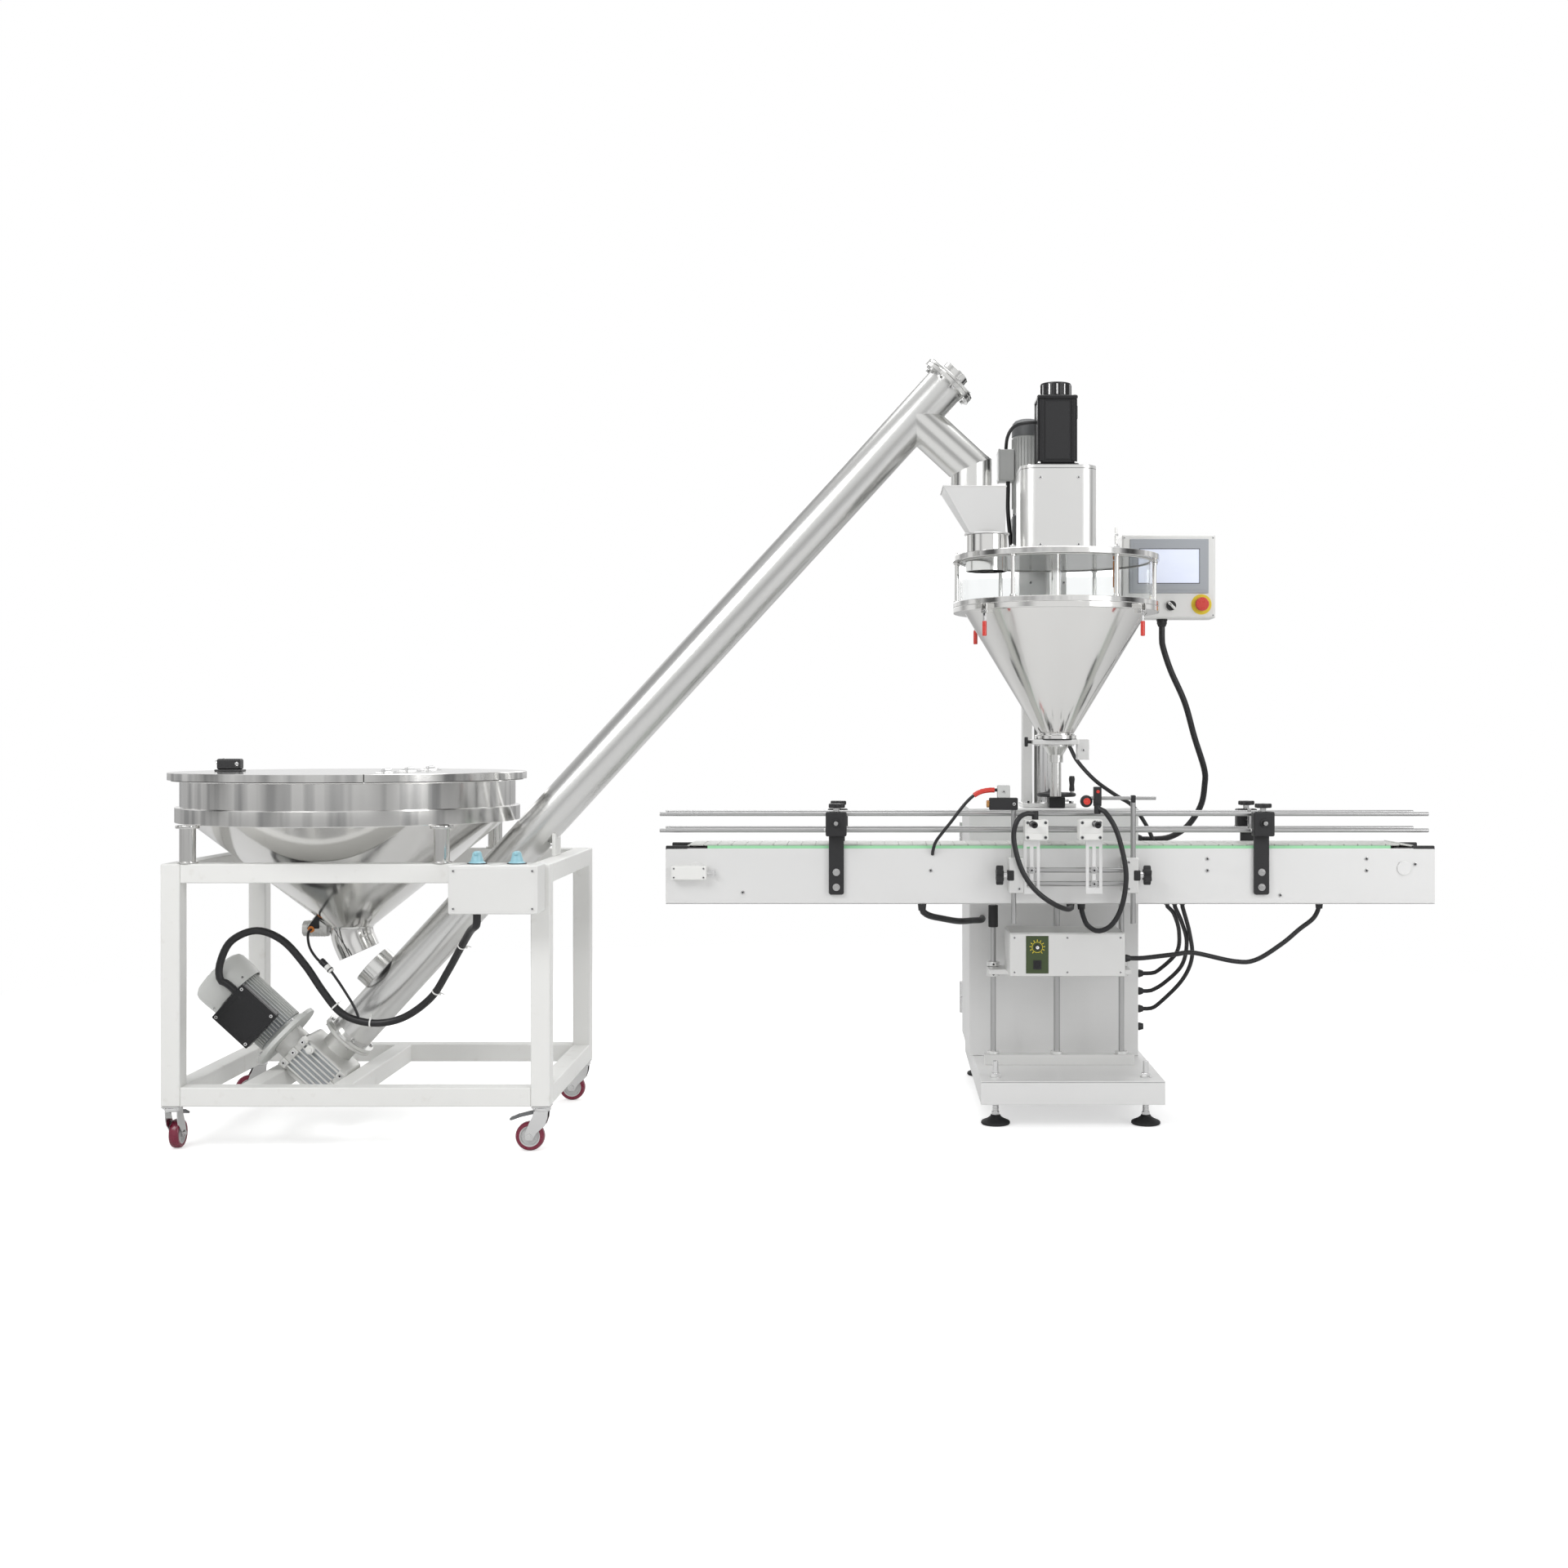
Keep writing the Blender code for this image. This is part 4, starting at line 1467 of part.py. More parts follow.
def build_panel(column):
    x0, x1 = PANEL_LEFT, PANEL_LEFT + PANEL_WIDTH
    y0, y1 = PANEL_FRONT, PANEL_FRONT + PANEL_DEPTH
    z0, z1 = PANEL_BOTTOM, PANEL_BOTTOM + PANEL_HEIGHT
    selector = Vector((SELECTOR_X, y0, SELECTOR_Z))
    stop = Vector((STOP_X, y0, STOP_Z))
    out = Vector((0, -1, 0))
    gland = Vector((PANEL_GLAND_X, (y0 + y1) / 2, z0))
    solids = [span((x0, y0, z0), (x1, y1, z1)),
              rod(selector - out * WELD, selector + out * BEZEL_THICK, SELECTOR_BEZEL, ROUND),
              rod(stop - out * WELD, stop + out * BEZEL_THICK, STOP_BEZEL, ROUND),
              rod(gland + UP * WELD, gland - UP * GLAND_LENGTH, GLAND_RADIUS, SMALL_ROUND)]
    deep = CONTROL_STEM_LENGTH + STOP_NECK
    cuts = [rod(selector - out * deep, selector + out * (BEZEL_THICK + OVERRUN), clear_of(CONTROL_STEM, SMALL_ROUND), SMALL_ROUND),
            rod(stop - out * deep, stop + out * (BEZEL_THICK + OVERRUN), clear_of(STOP_NECK, ROUND), ROUND)]
    panel = piece("panel_box", solids, cuts, at=(x0 + PANEL_WIDTH / 2, y0, z0), look=PAINTED, carrier=column)

    low = Vector((SCREEN_LEFT, y0 - FIT - SCREEN_THICK, SCREEN_BOTTOM))
    high = Vector((SCREEN_LEFT + SCREEN_WIDTH, y0 - FIT, SCREEN_BOTTOM + SCREEN_HEIGHT))
    margin = Vector((GLASS_MARGIN, 0, GLASS_MARGIN))
    recess = span(low + margin - Vector((0, OVERRUN, 0)), Vector((high.x, low.y + SCREEN_RECESS, high.z)) - margin)
    piece("touch_screen", [span(low, high)], [recess], at=(low + high) / 2, look=GREY, carrier=panel)

    face = selector + out * (BEZEL_THICK + FIT)
    ridge_wide, ridge_deep = SELECTOR_RIDGE
    knob = [rod(selector - out * CONTROL_STEM_LENGTH, face + out * WELD, CONTROL_STEM, SMALL_ROUND),
            rod(face, face + out * (SELECTOR_REACH - ridge_deep), SELECTOR_KNOB, ROUND),
            block((ridge_wide, SELECTOR_REACH - WELD, SELECTOR_KNOB * 2), face + out * ((SELECTOR_REACH + WELD) / 2),
                  Matrix.Rotation(math.radians(-45), 4, "Y"))]
    piece("selector_switch", knob, at=face, look=BLACK, carrier=panel)

    front = stop + out * (BEZEL_THICK + FIT + STOP_TRAVEL)
    head = turned([(0, 0), (STOP_HEAD * 0.8, 0), (STOP_HEAD, STOP_HEAD_THICK * 0.4),
                   (STOP_HEAD * 0.85, STOP_HEAD_THICK), (0, STOP_HEAD_THICK)], front, out, ROUND)
    neck = rod(stop - out * CONTROL_STEM_LENGTH, front + out * WELD, STOP_NECK, ROUND)
    piece("emergency_stop", [head, neck], at=front, look=RED, carrier=panel)
    return panel


# Conveyor

def chain_loop(radius, slits):
    """The outline of the chain loop in the XZ plane, round both sprockets, with a slit between slats."""
    x0, x1 = BELT_LEFT + SPROCKET_INSET, BELT_RIGHT - SPROCKET_INSET
    z = chain_z()
    arc = 12
    points = []
    for centre, start in ((x1, 90), (x0, -90)):
        if slits and centre == x1:
            count = int((x1 - x0) / SLAT_PITCH)
            for k in range(1, count):
                x = x0 + (x1 - x0) * k / count
                for dx, drop in ((-SLAT_SLIT, 0), (0, SLAT_SLIT_DEPTH), (SLAT_SLIT, 0)):
                    points.append((x + dx, z + radius - drop))
        for k in range(arc + 1):
            angle = math.radians(start - 180 * k / arc)
            points.append((centre + radius * math.cos(angle), z + radius * math.sin(angle)))
    return points


def chain_z():
    return CHAIN_TOP - CHAIN_THICK - chain_bore()


def chain_bore():
    """The inner radius of the loop, whose flats clear the round sprocket."""
    return (SPROCKET_RADIUS + FIT) / math.cos(math.radians(180 / 12 / 2))


def build_conveyor(cabinet):
    front, back = SIDE_FRONT, SIDE_BACK
    length = (BELT_LEFT, BELT_RIGHT)
    z = chain_z()
    axles = (BELT_LEFT + SPROCKET_INSET, BELT_RIGHT - SPROCKET_INSET)
    solids, cuts = [], []
    for y0, y1, s0, s1 in ((front, front + SIDE_SHEET, front, front + STRIP_THICK),
                           (back - SIDE_SHEET, back, back - STRIP_THICK, back)):
        solids.append(span((length[0], y0, SIDE_BOTTOM), (length[1], y1, SIDE_TOP)))
        solids.append(span((length[0], s0, SIDE_TOP - WELD), (length[1], s1, STRIP_TOP)))
    for k in range(TIE_COUNT):
        x = axles[0] + (axles[1] - axles[0]) * (k + 0.5) / TIE_COUNT
        solids.append(rod((x, front + WELD, z), (x, back - WELD, z), TIE_RADIUS, FINE_ROUND))
    motor_x = axles[1] - SPROCKET_INSET * 3
    solids.append(rod((motor_x, front + WELD, z), (motor_x, back - WELD, z), SPROCKET_RADIUS * 0.75, ROUND))
    for x in (motor_x, BELT_LEFT + TENSION_BOX[0] * 2):
        solids.append(span((x - TENSION_BOX[0], front + WELD, SIDE_BOTTOM), (x + TENSION_BOX[0], back - WELD,
                                                                             SIDE_BOTTOM + SIDE_SHEET)))
    for x in axles:
        cuts.append(rod((x, front - OVERRUN, z), (x, back + OVERRUN, z), clear_of(SPROCKET_AXLE, SMALL_ROUND), SMALL_ROUND))
    wide, deep, tall = TENSION_BOX
    solids.append(span((TENSION_LEFT, front - deep, TENSION_Z), (TENSION_LEFT + wide, front + WELD, TENSION_Z + tall)))

    # Bearers from the cabinet's front
    for sign in (-1, 1):
        x = TRAY_LEFT + TRAY_WIDTH / 2 + sign * BEARER_SPREAD / 2
        solids.append(span((x - BEARER_DEPTH / 2, back - WELD, SIDE_BOTTOM + BEARER_SHEET),
                           (x + BEARER_DEPTH / 2, CABINET_FRONT - FIT, SIDE_BOTTOM + BEARER_SHEET + BEARER_DEPTH)))

    # Black arms that hold the guide rails: a slotted plate, a clamp head and a star knob
    for x in RAIL_BRACKETS:
        for face, way in ((front, -1), (back, 1)):
            a, b = sorted((face + way * -WELD, face + way * RAIL_ARM_THICK))
            half = RAIL_ARM_WIDTH / 2
            solids.append(span((x - half, a, RAIL_ARM_BOTTOM), (x + half, b, RAIL_BLOCK_BOTTOM + RAIL_ARM_THICK)))
            head_y = face + way * (RAIL_ARM_THICK / 2)
            wide_, deep_, tall_ = RAIL_BLOCK
            c, d = sorted((head_y, head_y + way * deep_))
            top = RAIL_BLOCK_BOTTOM + tall_
            solids.append(span((x - wide_ / 2, c, RAIL_BLOCK_BOTTOM), (x + wide_ / 2, d, top)))
            mid_y = (c + d) / 2
            solids.append(rod((x, mid_y, top - WELD), (x, mid_y, top + RAIL_KNOB_STEM), RAIL_KNOB_RADIUS / 2, FINE_ROUND))
            solids.append(star((x, mid_y, top + RAIL_KNOB_STEM - WELD), RAIL_KNOB_RADIUS, RAIL_KNOB_HEIGHT))
            pin_z = (RAIL_HIGH + RAIL_LOW) / 2
            cuts.append(rod((x, c - OVERRUN, pin_z), (x, d + OVERRUN, pin_z), clear_of(RAIL_PIN_RADIUS, FINE_ROUND), FINE_ROUND))
            for slot_z in (RAIL_ARM_BOTTOM + half, RAIL_ARM_BOTTOM + half * 3):
                for e in (-1, 1):
                    spot = Vector((x, face + way * RAIL_ARM_THICK, slot_z))
                    if e > 0:
                        cuts.append(block((RAIL_ARM_SLOT, RAIL_ARM_THICK / 2, half), spot))
    frame = piece("conveyor_frame", solids, cuts, at=(FILL_X, (front + back) / 2, SIDE_BOTTOM), look=SATIN,
                  carrier=cabinet)

    gap = SIDE_SHEET + CHAIN_GAP
    bore = chain_bore()
    depth = back - front - gap * 2
    turn = Matrix.Translation((0, (front + back) / 2, 0)) @ Matrix.Rotation(math.radians(90), 4, "X")
    loop = plate(chain_loop(bore + CHAIN_THICK, True), depth, turn, [chain_loop(bore, False)])
    piece("slat_chain", [loop], at=(axles[0], (front + back) / 2, z), look=SLAT_GREY, carrier=frame)

    for name, x in (("idler_roller", axles[0]), ("drive_roller", axles[1])):
        roller = [rod((x, front + gap, z), (x, back - gap, z), SPROCKET_RADIUS, ROUND),
                  rod((x, front - SIDE_SHEET, z), (x, back + SIDE_SHEET, z), SPROCKET_AXLE, SMALL_ROUND)]
        piece(name, roller, at=(x, (front + back) / 2, z), look=SATIN, carrier=frame)

    # Guide rails: two rods on clamp bars, whose pins slide in the heads
    for name, rail_y, face, way in (("front_rails", RAIL_FRONT_Y, front, -1), ("rear_rails", RAIL_BACK_Y, back, 1)):
        rail = [rod((RAIL_LEFT, rail_y, h), (RAIL_RIGHT, rail_y, h), RAIL_RADIUS, FINE_ROUND)
                for h in (RAIL_HIGH, RAIL_LOW)]
        for x in RAIL_BRACKETS:
            bar = RAIL_RADIUS * 2
            rail.append(span((x - bar / 2, rail_y - bar / 2, RAIL_LOW - bar), (x + bar / 2, rail_y + bar / 2,
                                                                               RAIL_HIGH + bar)))
            far = face + way * (RAIL_ARM_THICK / 2 + RAIL_BLOCK[1] + RAIL_TRAVEL + RAIL_PIN_RADIUS)
            pin_z = (RAIL_HIGH + RAIL_LOW) / 2
            rail.append(rod((x, rail_y, pin_z), (x, far, pin_z), RAIL_PIN_RADIUS, FINE_ROUND))
        piece(name, rail, at=(RAIL_BRACKETS[0], rail_y, RAIL_LOW), look=POLISHED, carrier=frame)
    return frame


def star(foot, radius, height):
    """A star knob with five lobes."""
    lobes = 5
    points = []
    for k in range(lobes * 2):
        angle = math.pi * k / lobes
        reach = radius * (0.86 + 0.14 * math.cos(lobes * angle))
        points.append((reach * math.cos(angle), reach * math.sin(angle)))
    return plate(points, height, Matrix.Translation(Vector(foot) + UP * (height / 2)))


def build_gate(frame):
    y = GATE_Y
    block_x, block_y, block_z = GATE_BLOCK
    lean = (GATE_LEFT + GATE_RIGHT) / 2
    solids, cuts = [], []
    for x, way in ((GATE_LEFT, -1), (GATE_RIGHT, 1)):
        solids.append(rod((x, y, GATE_BOTTOM), (x, y, GATE_TOP if way < 0 else EYE_ROD_Z), GATE_ROD, SMALL_ROUND))
        a, b = sorted((x - way * block_x / 2, x + way * GATE_ROD * 2))
        solids.append(span((a, y - block_y / 2, GATE_BLOCK_BOTTOM), (b, SIDE_FRONT - FIT, GATE_BLOCK_BOTTOM + block_z)))
        outer = x + way * GATE_ROD * 2
        mid = GATE_BLOCK_BOTTOM + block_z / 2
        solids.append(rod((outer - way * WELD, y, mid), (outer + way * GATE_KNOB_LENGTH, y, mid), GATE_KNOB / 2,
                          SMALL_ROUND))
        solids.append(rod((outer + way * GATE_KNOB_LENGTH / 2, y, mid), (outer + way * GATE_KNOB_LENGTH * 1.6, y, mid),
                          GATE_KNOB, 6))
    for z in GATE_BARS:
        solids.append(rod((GATE_LEFT, y, z), (GATE_RIGHT, y, z), GATE_BAR_RADIUS, SMALL_ROUND))
    face = y - GATE_BAR_RADIUS - GATE_SLIDE_THICK / 2 + WELD
    turn = Matrix.Rotation(math.radians(90), 4, "X")
    head_x, head_y, head_z = GATE_HEAD
    for x in GATE_SLIDES:
        w = GATE_SLIDE_WIDTH / 2
        slot = GATE_SLOT / 2
        outline = [(x - w, GATE_SLIDE_BOTTOM), (x + w, GATE_SLIDE_BOTTOM), (x + w, GATE_SLIDE_TOP), (x - w, GATE_SLIDE_TOP)]
        hole = [(x - slot, GATE_SLIDE_BOTTOM + w), (x + slot, GATE_SLIDE_BOTTOM + w), (x + slot, GATE_SLIDE_TOP - w),
                (x - slot, GATE_SLIDE_TOP - w)]
        solids.append(plate(outline, GATE_SLIDE_THICK, Matrix.Translation((0, face, 0)) @ turn, [hole]))
        inward = 1 if x < lean else -1
        centre = Vector((x + inward * (head_x / 2 - w), face, GATE_HEAD_BOTTOM + head_z / 2))
        solids.append(block(GATE_HEAD, centre))
        cuts.append(rod((x, face - head_y, GATE_PIN_Z), (x, face + head_y, GATE_PIN_Z), clear_of(GATE_PIN_RADIUS, FINE_ROUND),
                        FINE_ROUND))
    solids.append(rod((EYE_ROD_LEFT, y, EYE_ROD_Z), (EYE_ROD_RIGHT, y, EYE_ROD_Z), GATE_ROD * 0.7, FINE_ROUND))
    eye_x, eye_y, eye_z = EYE_BOX
    solids.append(block(EYE_BOX, (EYE_X, y, EYE_BOTTOM + eye_z / 2)))
    solids.append(ball((EYE_ROD_LEFT, y, EYE_ROD_Z - EYE_BALL / 2), EYE_BALL))
    solids.append(span((GATE_LEFT - eye_z * 1.4, y - eye_y / 2, GATE_TOP - eye_y / 2),
                       (GATE_LEFT + GATE_ROD * 1.5, y + eye_y / 2, GATE_TOP + eye_y * 0.6)))
    stand = piece("gate_stand", solids, cuts, at=(lean, y, GATE_BLOCK_BOTTOM), look=SATIN, carrier=frame)

    for name, x in zip(("left", "right"), GATE_SLIDES):
        nose = face + head_y / 2 + GATE_PIN_PAD
        pin = [rod((x, nose, GATE_PIN_Z), (x, nose - GATE_PIN_LENGTH - GATE_TRAVEL, GATE_PIN_Z), GATE_PIN_RADIUS,
                   FINE_ROUND),
               rod((x, nose, GATE_PIN_Z), (x, nose - GATE_PIN_PAD / 2, GATE_PIN_Z), GATE_PIN_PAD, SMALL_ROUND),
               rod((x, nose - GATE_PIN_LENGTH - GATE_TRAVEL, GATE_PIN_Z),
                   (x, nose - GATE_PIN_LENGTH - GATE_TRAVEL + GATE_PIN_PAD, GATE_PIN_Z), GATE_PIN_PAD, SMALL_ROUND)]
        piece("gate_pin_" + name, pin, at=(x, nose, GATE_PIN_Z), look=POLISHED, carrier=stand)


def build_shaker(base):
    x0, x1 = SHAKER_LEFT, SHAKER_LEFT + SHAKER_WIDTH
    y0, y1 = SHAKER_FRONT, SHAKER_FRONT + SHAKER_DEPTH
    ear_top = SHAKER_BOTTOM + WELD
    solids = [span((x0, y0, SHAKER_BOTTOM), (x1, y1, SHAKER_TOP)),
              span((GUIDE_LEFT_X - EAR_END, y1 - EAR_DEPTH, ear_top - EAR_THICK),
                   (GUIDE_RIGHT_X + EAR_END, GUIDE_Y + EAR_DEPTH / 2, ear_top)),
              span((SHAKER_PANEL_LEFT, y0 - SHAKER_PANEL_THICK, SHAKER_PANEL_BOTTOM),
                   (SHAKER_PANEL_LEFT + SHAKER_PANEL_WIDTH, y0 + WELD, SHAKER_PANEL_BOTTOM + SHAKER_PANEL_HEIGHT)),
              rod((x1 - WELD, SHAKER_GLAND_Y, SHAKER_GLAND_Z), (x1 + GLAND_LENGTH, SHAKER_GLAND_Y, SHAKER_GLAND_Z),
                  GLAND_RADIUS, SMALL_ROUND)]
    cuts = []
    for x, radius in ((GUIDE_LEFT_X, GUIDE_RADIUS), (GUIDE_RIGHT_X, GUIDE_RADIUS), (LIFT_SCREW_X, LIFT_SCREW_RADIUS)):
        cuts.append(rod((x, GUIDE_Y, ear_top - EAR_THICK - OVERRUN), (x, GUIDE_Y, ear_top + OVERRUN), clear_of(radius, SMALL_ROUND),
                        SMALL_ROUND))
    return piece("shaker_box", solids, cuts, at=(x0 + SHAKER_WIDTH / 2, y0, SHAKER_BOTTOM), look=PAINTED, carrier=base)


# Cables, each along its own route

def build_cables(box_at):
    _, across, _ = slope()
    along = slope()[0]
    start = box_at - across * (TERMINAL_WIDE / 2 + FIT) + along * (TERMINAL_LONG / 4)
    route = [start, start - across * BEND_START, (-1.601, -0.312, 0.418), (-1.601, -0.311, 0.462),
             (-1.572, -0.310, 0.520), (-1.505, -0.310, 0.548), (-1.437, -0.306, 0.522), (-1.378, -0.303, 0.457), (-1.330, -0.300, 0.385), (-1.285, -0.300, 0.330),
             (-1.233, -0.300, 0.305), (-1.168, -0.300, 0.300), (-1.102, -0.305, 0.320), (-1.032, -0.325, 0.373),
             (-0.980, -0.370, 0.444), (-0.930, -0.430, 0.517), (-0.892, -0.490, 0.566),
             (-0.862, -0.550, SWITCH_BOX_TOP - SWITCH_BOX_HEIGHT - FIT - BEND_START),
             (-0.862, -0.550, SWITCH_BOX_TOP - SWITCH_BOX_HEIGHT - FIT)]
    cable("feeder_motor_cable", route, FEED_CABLE, RUBBER)
    gland = PANEL_BOTTOM - GLAND_LENGTH - FIT
    entry = CABINET_LEFT + CABINET_WIDTH + GLAND_LENGTH + FIT
    drop = Vector((PANEL_GLAND_X, PANEL_FRONT + PANEL_DEPTH / 2, gland))
    route = [drop, drop - UP * BEND_START, (0.994, 0.150, 1.330), (1.018, 0.160, 1.262),
             (1.062, 0.175, 1.168), (1.093, 0.190, 1.067), (1.125, 0.205, 0.972), (1.129, 0.220, 0.925),
             (1.119, 0.230, 0.862), (1.080, 0.240, 0.800), (1.030, 0.247, 0.768),
             (entry + BEND_START, PANEL_ENTRY_Y, PANEL_ENTRY_Z), (entry, PANEL_ENTRY_Y, PANEL_ENTRY_Z)]
    cable("panel_cable", route, PANEL_CABLE, RUBBER)
    side = Vector((SHAKER_LEFT + SHAKER_WIDTH + GLAND_LENGTH + FIT, SHAKER_GLAND_Y, SHAKER_GLAND_Z))
    route = [side, side + Vector((BEND_START, 0, 0)), (0.985, SHAKER_GLAND_Y, 0.462),
             (1.036, -0.118, 0.466), (1.150, -0.116, 0.442), (1.210, -0.114, 0.446),
             (1.283, -0.110, 0.490), (1.333, -0.108, 0.531), (1.372, -0.106, 0.561),
             (1.388, -0.105, SIDE_BOTTOM - FIT - BEND_START / 2), (1.388, -0.105, SIDE_BOTTOM - FIT)]
    cable("shaker_cable", route, SHAKER_CABLE, RUBBER)


def main():
    global root, parts, tools
    for obj in list(bpy.data.objects):
        bpy.data.objects.remove(obj)
    parts = bpy.data.collections.new("auger_powder_filler")
    tools = bpy.data.collections.new("cutters")
    bpy.context.scene.collection.children.link(parts)
    bpy.context.scene.collection.children.link(tools)
    root = bpy.data.objects.new("datum", None)
    root.location.x = DATUM_X
    parts.objects.link(root)

    frame = build_cart()
    for place, sx, sy in (("front_left", -1, -1), ("front_right", 1, -1), ("rear_left", -1, 1), ("rear_right", 1, 1)):
        build_castor(place, CART_X + sx * (FRAME_LENGTH - FRAME_TUBE) / 2,
                     FEED_Y + sy * (FRAME_DEPTH - FRAME_TUBE) / 2, frame)
    hopper = build_hopper(frame)
    build_lid(hopper)
    build_feeder(frame)
    box_at, _ = build_feed_drive(frame)
    build_feeder_switches(frame)

    base = build_base()
    cabinet = build_cabinet(base)
    carriage = build_lift(cabinet)
    top = build_filler_hopper(carriage)
    build_nozzle(top)
    build_drive(top)
    build_panel(carriage.parent)
    conveyor = build_conveyor(cabinet)
    build_gate(conveyor)
    build_shaker(base)
    build_cables(box_at)


main()
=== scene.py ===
"""Auger powder filler: screw feeder on its cart, filling head, slat belt, gate and shaker."""
import math

import bmesh
import bpy
from mathutils import Matrix, Vector


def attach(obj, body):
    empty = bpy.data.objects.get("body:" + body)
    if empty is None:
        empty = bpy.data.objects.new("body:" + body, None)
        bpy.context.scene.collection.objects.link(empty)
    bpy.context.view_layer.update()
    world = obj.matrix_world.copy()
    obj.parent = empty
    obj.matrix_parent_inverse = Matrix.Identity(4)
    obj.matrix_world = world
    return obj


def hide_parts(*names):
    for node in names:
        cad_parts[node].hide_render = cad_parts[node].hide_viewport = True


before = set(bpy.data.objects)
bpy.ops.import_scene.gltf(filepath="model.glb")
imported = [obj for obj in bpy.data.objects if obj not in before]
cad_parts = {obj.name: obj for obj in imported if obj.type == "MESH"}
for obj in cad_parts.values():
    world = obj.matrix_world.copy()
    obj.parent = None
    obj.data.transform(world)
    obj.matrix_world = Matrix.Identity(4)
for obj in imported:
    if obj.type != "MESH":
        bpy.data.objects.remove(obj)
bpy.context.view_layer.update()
stage_scene = bpy.context.scene
MACHINE, HEAD = "machine", "filler_head"
UP, FRONT, RIGHT = Vector((0, 0, 1)), Vector((0, -1, 0)), Vector((1, 0, 0))
QUARTER = Matrix.Rotation(math.pi / 2, 4, "X")

# Places that several pieces share, in metres
FEED_Y = -0.155
HOPPER = Vector((-1.2525, FEED_Y, 0))
FILL = Vector((0.696, -0.105, 0))
SLOPE = math.radians(47.5)
ALONG = Vector((math.cos(SLOPE), 0, math.sin(SLOPE)))
ACROSS = Vector((math.sin(SLOPE), 0, -math.cos(SLOPE)))
TUBE_ZERO = Vector((-0.5545, FEED_Y, 1.0104))


# Finishes

def nodes_of(name):
    material = bpy.data.materials.new(name)
    material.use_nodes = True
    return material, material.node_tree, material.node_tree.nodes["Principled BSDF"]


def pattern(tree, grain, stretch=(1, 1, 1), detail=4.0):
    """Noise on the piece's own coordinates, drawn out along the axes where stretch is small."""
    place, drawn, noise = (tree.nodes.new("ShaderNode" + kind)
                           for kind in ("TexCoord", "Mapping", "TexNoise"))
    drawn.inputs["Scale"].default_value = stretch
    noise.inputs["Scale"].default_value = grain
    noise.inputs["Detail"].default_value = detail
    tree.links.new(place.outputs["Object"], drawn.inputs["Vector"])
    tree.links.new(drawn.outputs["Vector"], noise.inputs["Vector"])
    return noise.outputs["Fac"]


def ranged(tree, value, low, high, start=0.3, end=0.7):
    """The value's stretch from start to end, spread over low to high."""
    span = tree.nodes.new("ShaderNodeMapRange")
    for key, number in (("From Min", start), ("From Max", end), ("To Min", low), ("To Max", high)):
        span.inputs[key].default_value = number
    tree.links.new(value, span.inputs["Value"])
    return span.outputs["Result"]


def mixed(tree, share, first, second):
    """Two colours, each a plain one or a socket, mixed by a share."""
    mix = tree.nodes.new("ShaderNodeMix")
    mix.data_type = "RGBA"
    for key, colour in (("A", first), ("B", second)):
        socket = next(s for s in mix.inputs if s.name == key and s.type == "RGBA")
        if hasattr(colour, "is_output"):
            tree.links.new(colour, socket)
        else:
            socket.default_value = (*colour, 1)
    tree.links.new(share, mix.inputs["Factor"])
    return next(s for s in mix.outputs if s.type == "RGBA")


def surface(name, colour, metal, rough, grain=60, stretch=(1, 1, 1), bump=0.05, depth=0.0004, spread=0.06,
            tone=0.08, worn=None, painted_reflection=None, **more):
    """A finish whose tint, roughness and relief vary with its grain.

    worn is the colour of wear patches; painted_reflection is the colour and grain of painted reflection
    bands along the stretch.
    """
    material, tree, shader = nodes_of(name)
    fine = pattern(tree, grain, stretch)
    broad = pattern(tree, 3.1, (1, 1, 1), 3.0)
    dark = tuple(c * (1 - tone) for c in colour)
    tint = mixed(tree, ranged(tree, broad, 0, 1), dark, colour)
    tint = mixed(tree, ranged(tree, fine, 0, tone * 4), tint, dark)
    # Dark bands along the stretch are painted reflections of darker surroundings, not brushing marks
    if painted_reflection:
        reflection_bands = pattern(tree, painted_reflection[1], stretch, 2.0)
        tint = mixed(tree, ranged(tree, reflection_bands, 0, 0.9, 0.44, 0.62), tint, painted_reflection[0])
    if worn:
        spots = ranged(tree, pattern(tree, 26, (1, 1, 1), 6.0), 0, 0.7, 0.62, 0.72)
        tint = mixed(tree, spots, tint, worn)
    tree.links.new(tint, shader.inputs["Base Color"])
    shader.inputs["Metallic"].default_value = metal
    low, high = max(rough - spread, 0.02), min(rough + spread, 1.0)
    tree.links.new(ranged(tree, fine, low, high), shader.inputs["Roughness"])
    if bump:
        relief = tree.nodes.new("ShaderNodeBump")
        relief.inputs["Strength"].default_value = bump
        relief.inputs["Distance"].default_value = depth
        tree.links.new(fine, relief.inputs["Height"])
        tree.links.new(relief.outputs["Normal"], shader.inputs["Normal"])
    for key, value in more.items():
        shader.inputs[key.replace("_", " ")].default_value = value
    return material


cart_paint = surface("cart_paint", (0.84, 0.84, 0.82), 0.0, 0.42, 90, bump=0.1, tone=0.02,
                     worn=(0.76, 0.75, 0.72))
mirror_steel = surface("mirror_steel", (0.78, 0.775, 0.76), 1.0, 0.13, 30, (1, 1, 0.08), 0, tone=0.04,
                       spread=0.02)
# Polished drum walls carry dark vertical bands: painted reflections of the surroundings
drum_steel = surface("drum_steel", (0.8, 0.795, 0.78), 1.0, 0.14, 30, (1, 1, 0.02), 0, tone=0.04,
                     spread=0.02, painted_reflection=((0.4, 0.4, 0.4), 20))
upright_steel = surface("upright_steel", (0.78, 0.78, 0.77), 0.85, 0.34, 70, (1, 1, 0.06), 0.015, tone=0.03,
                        spread=0.03)
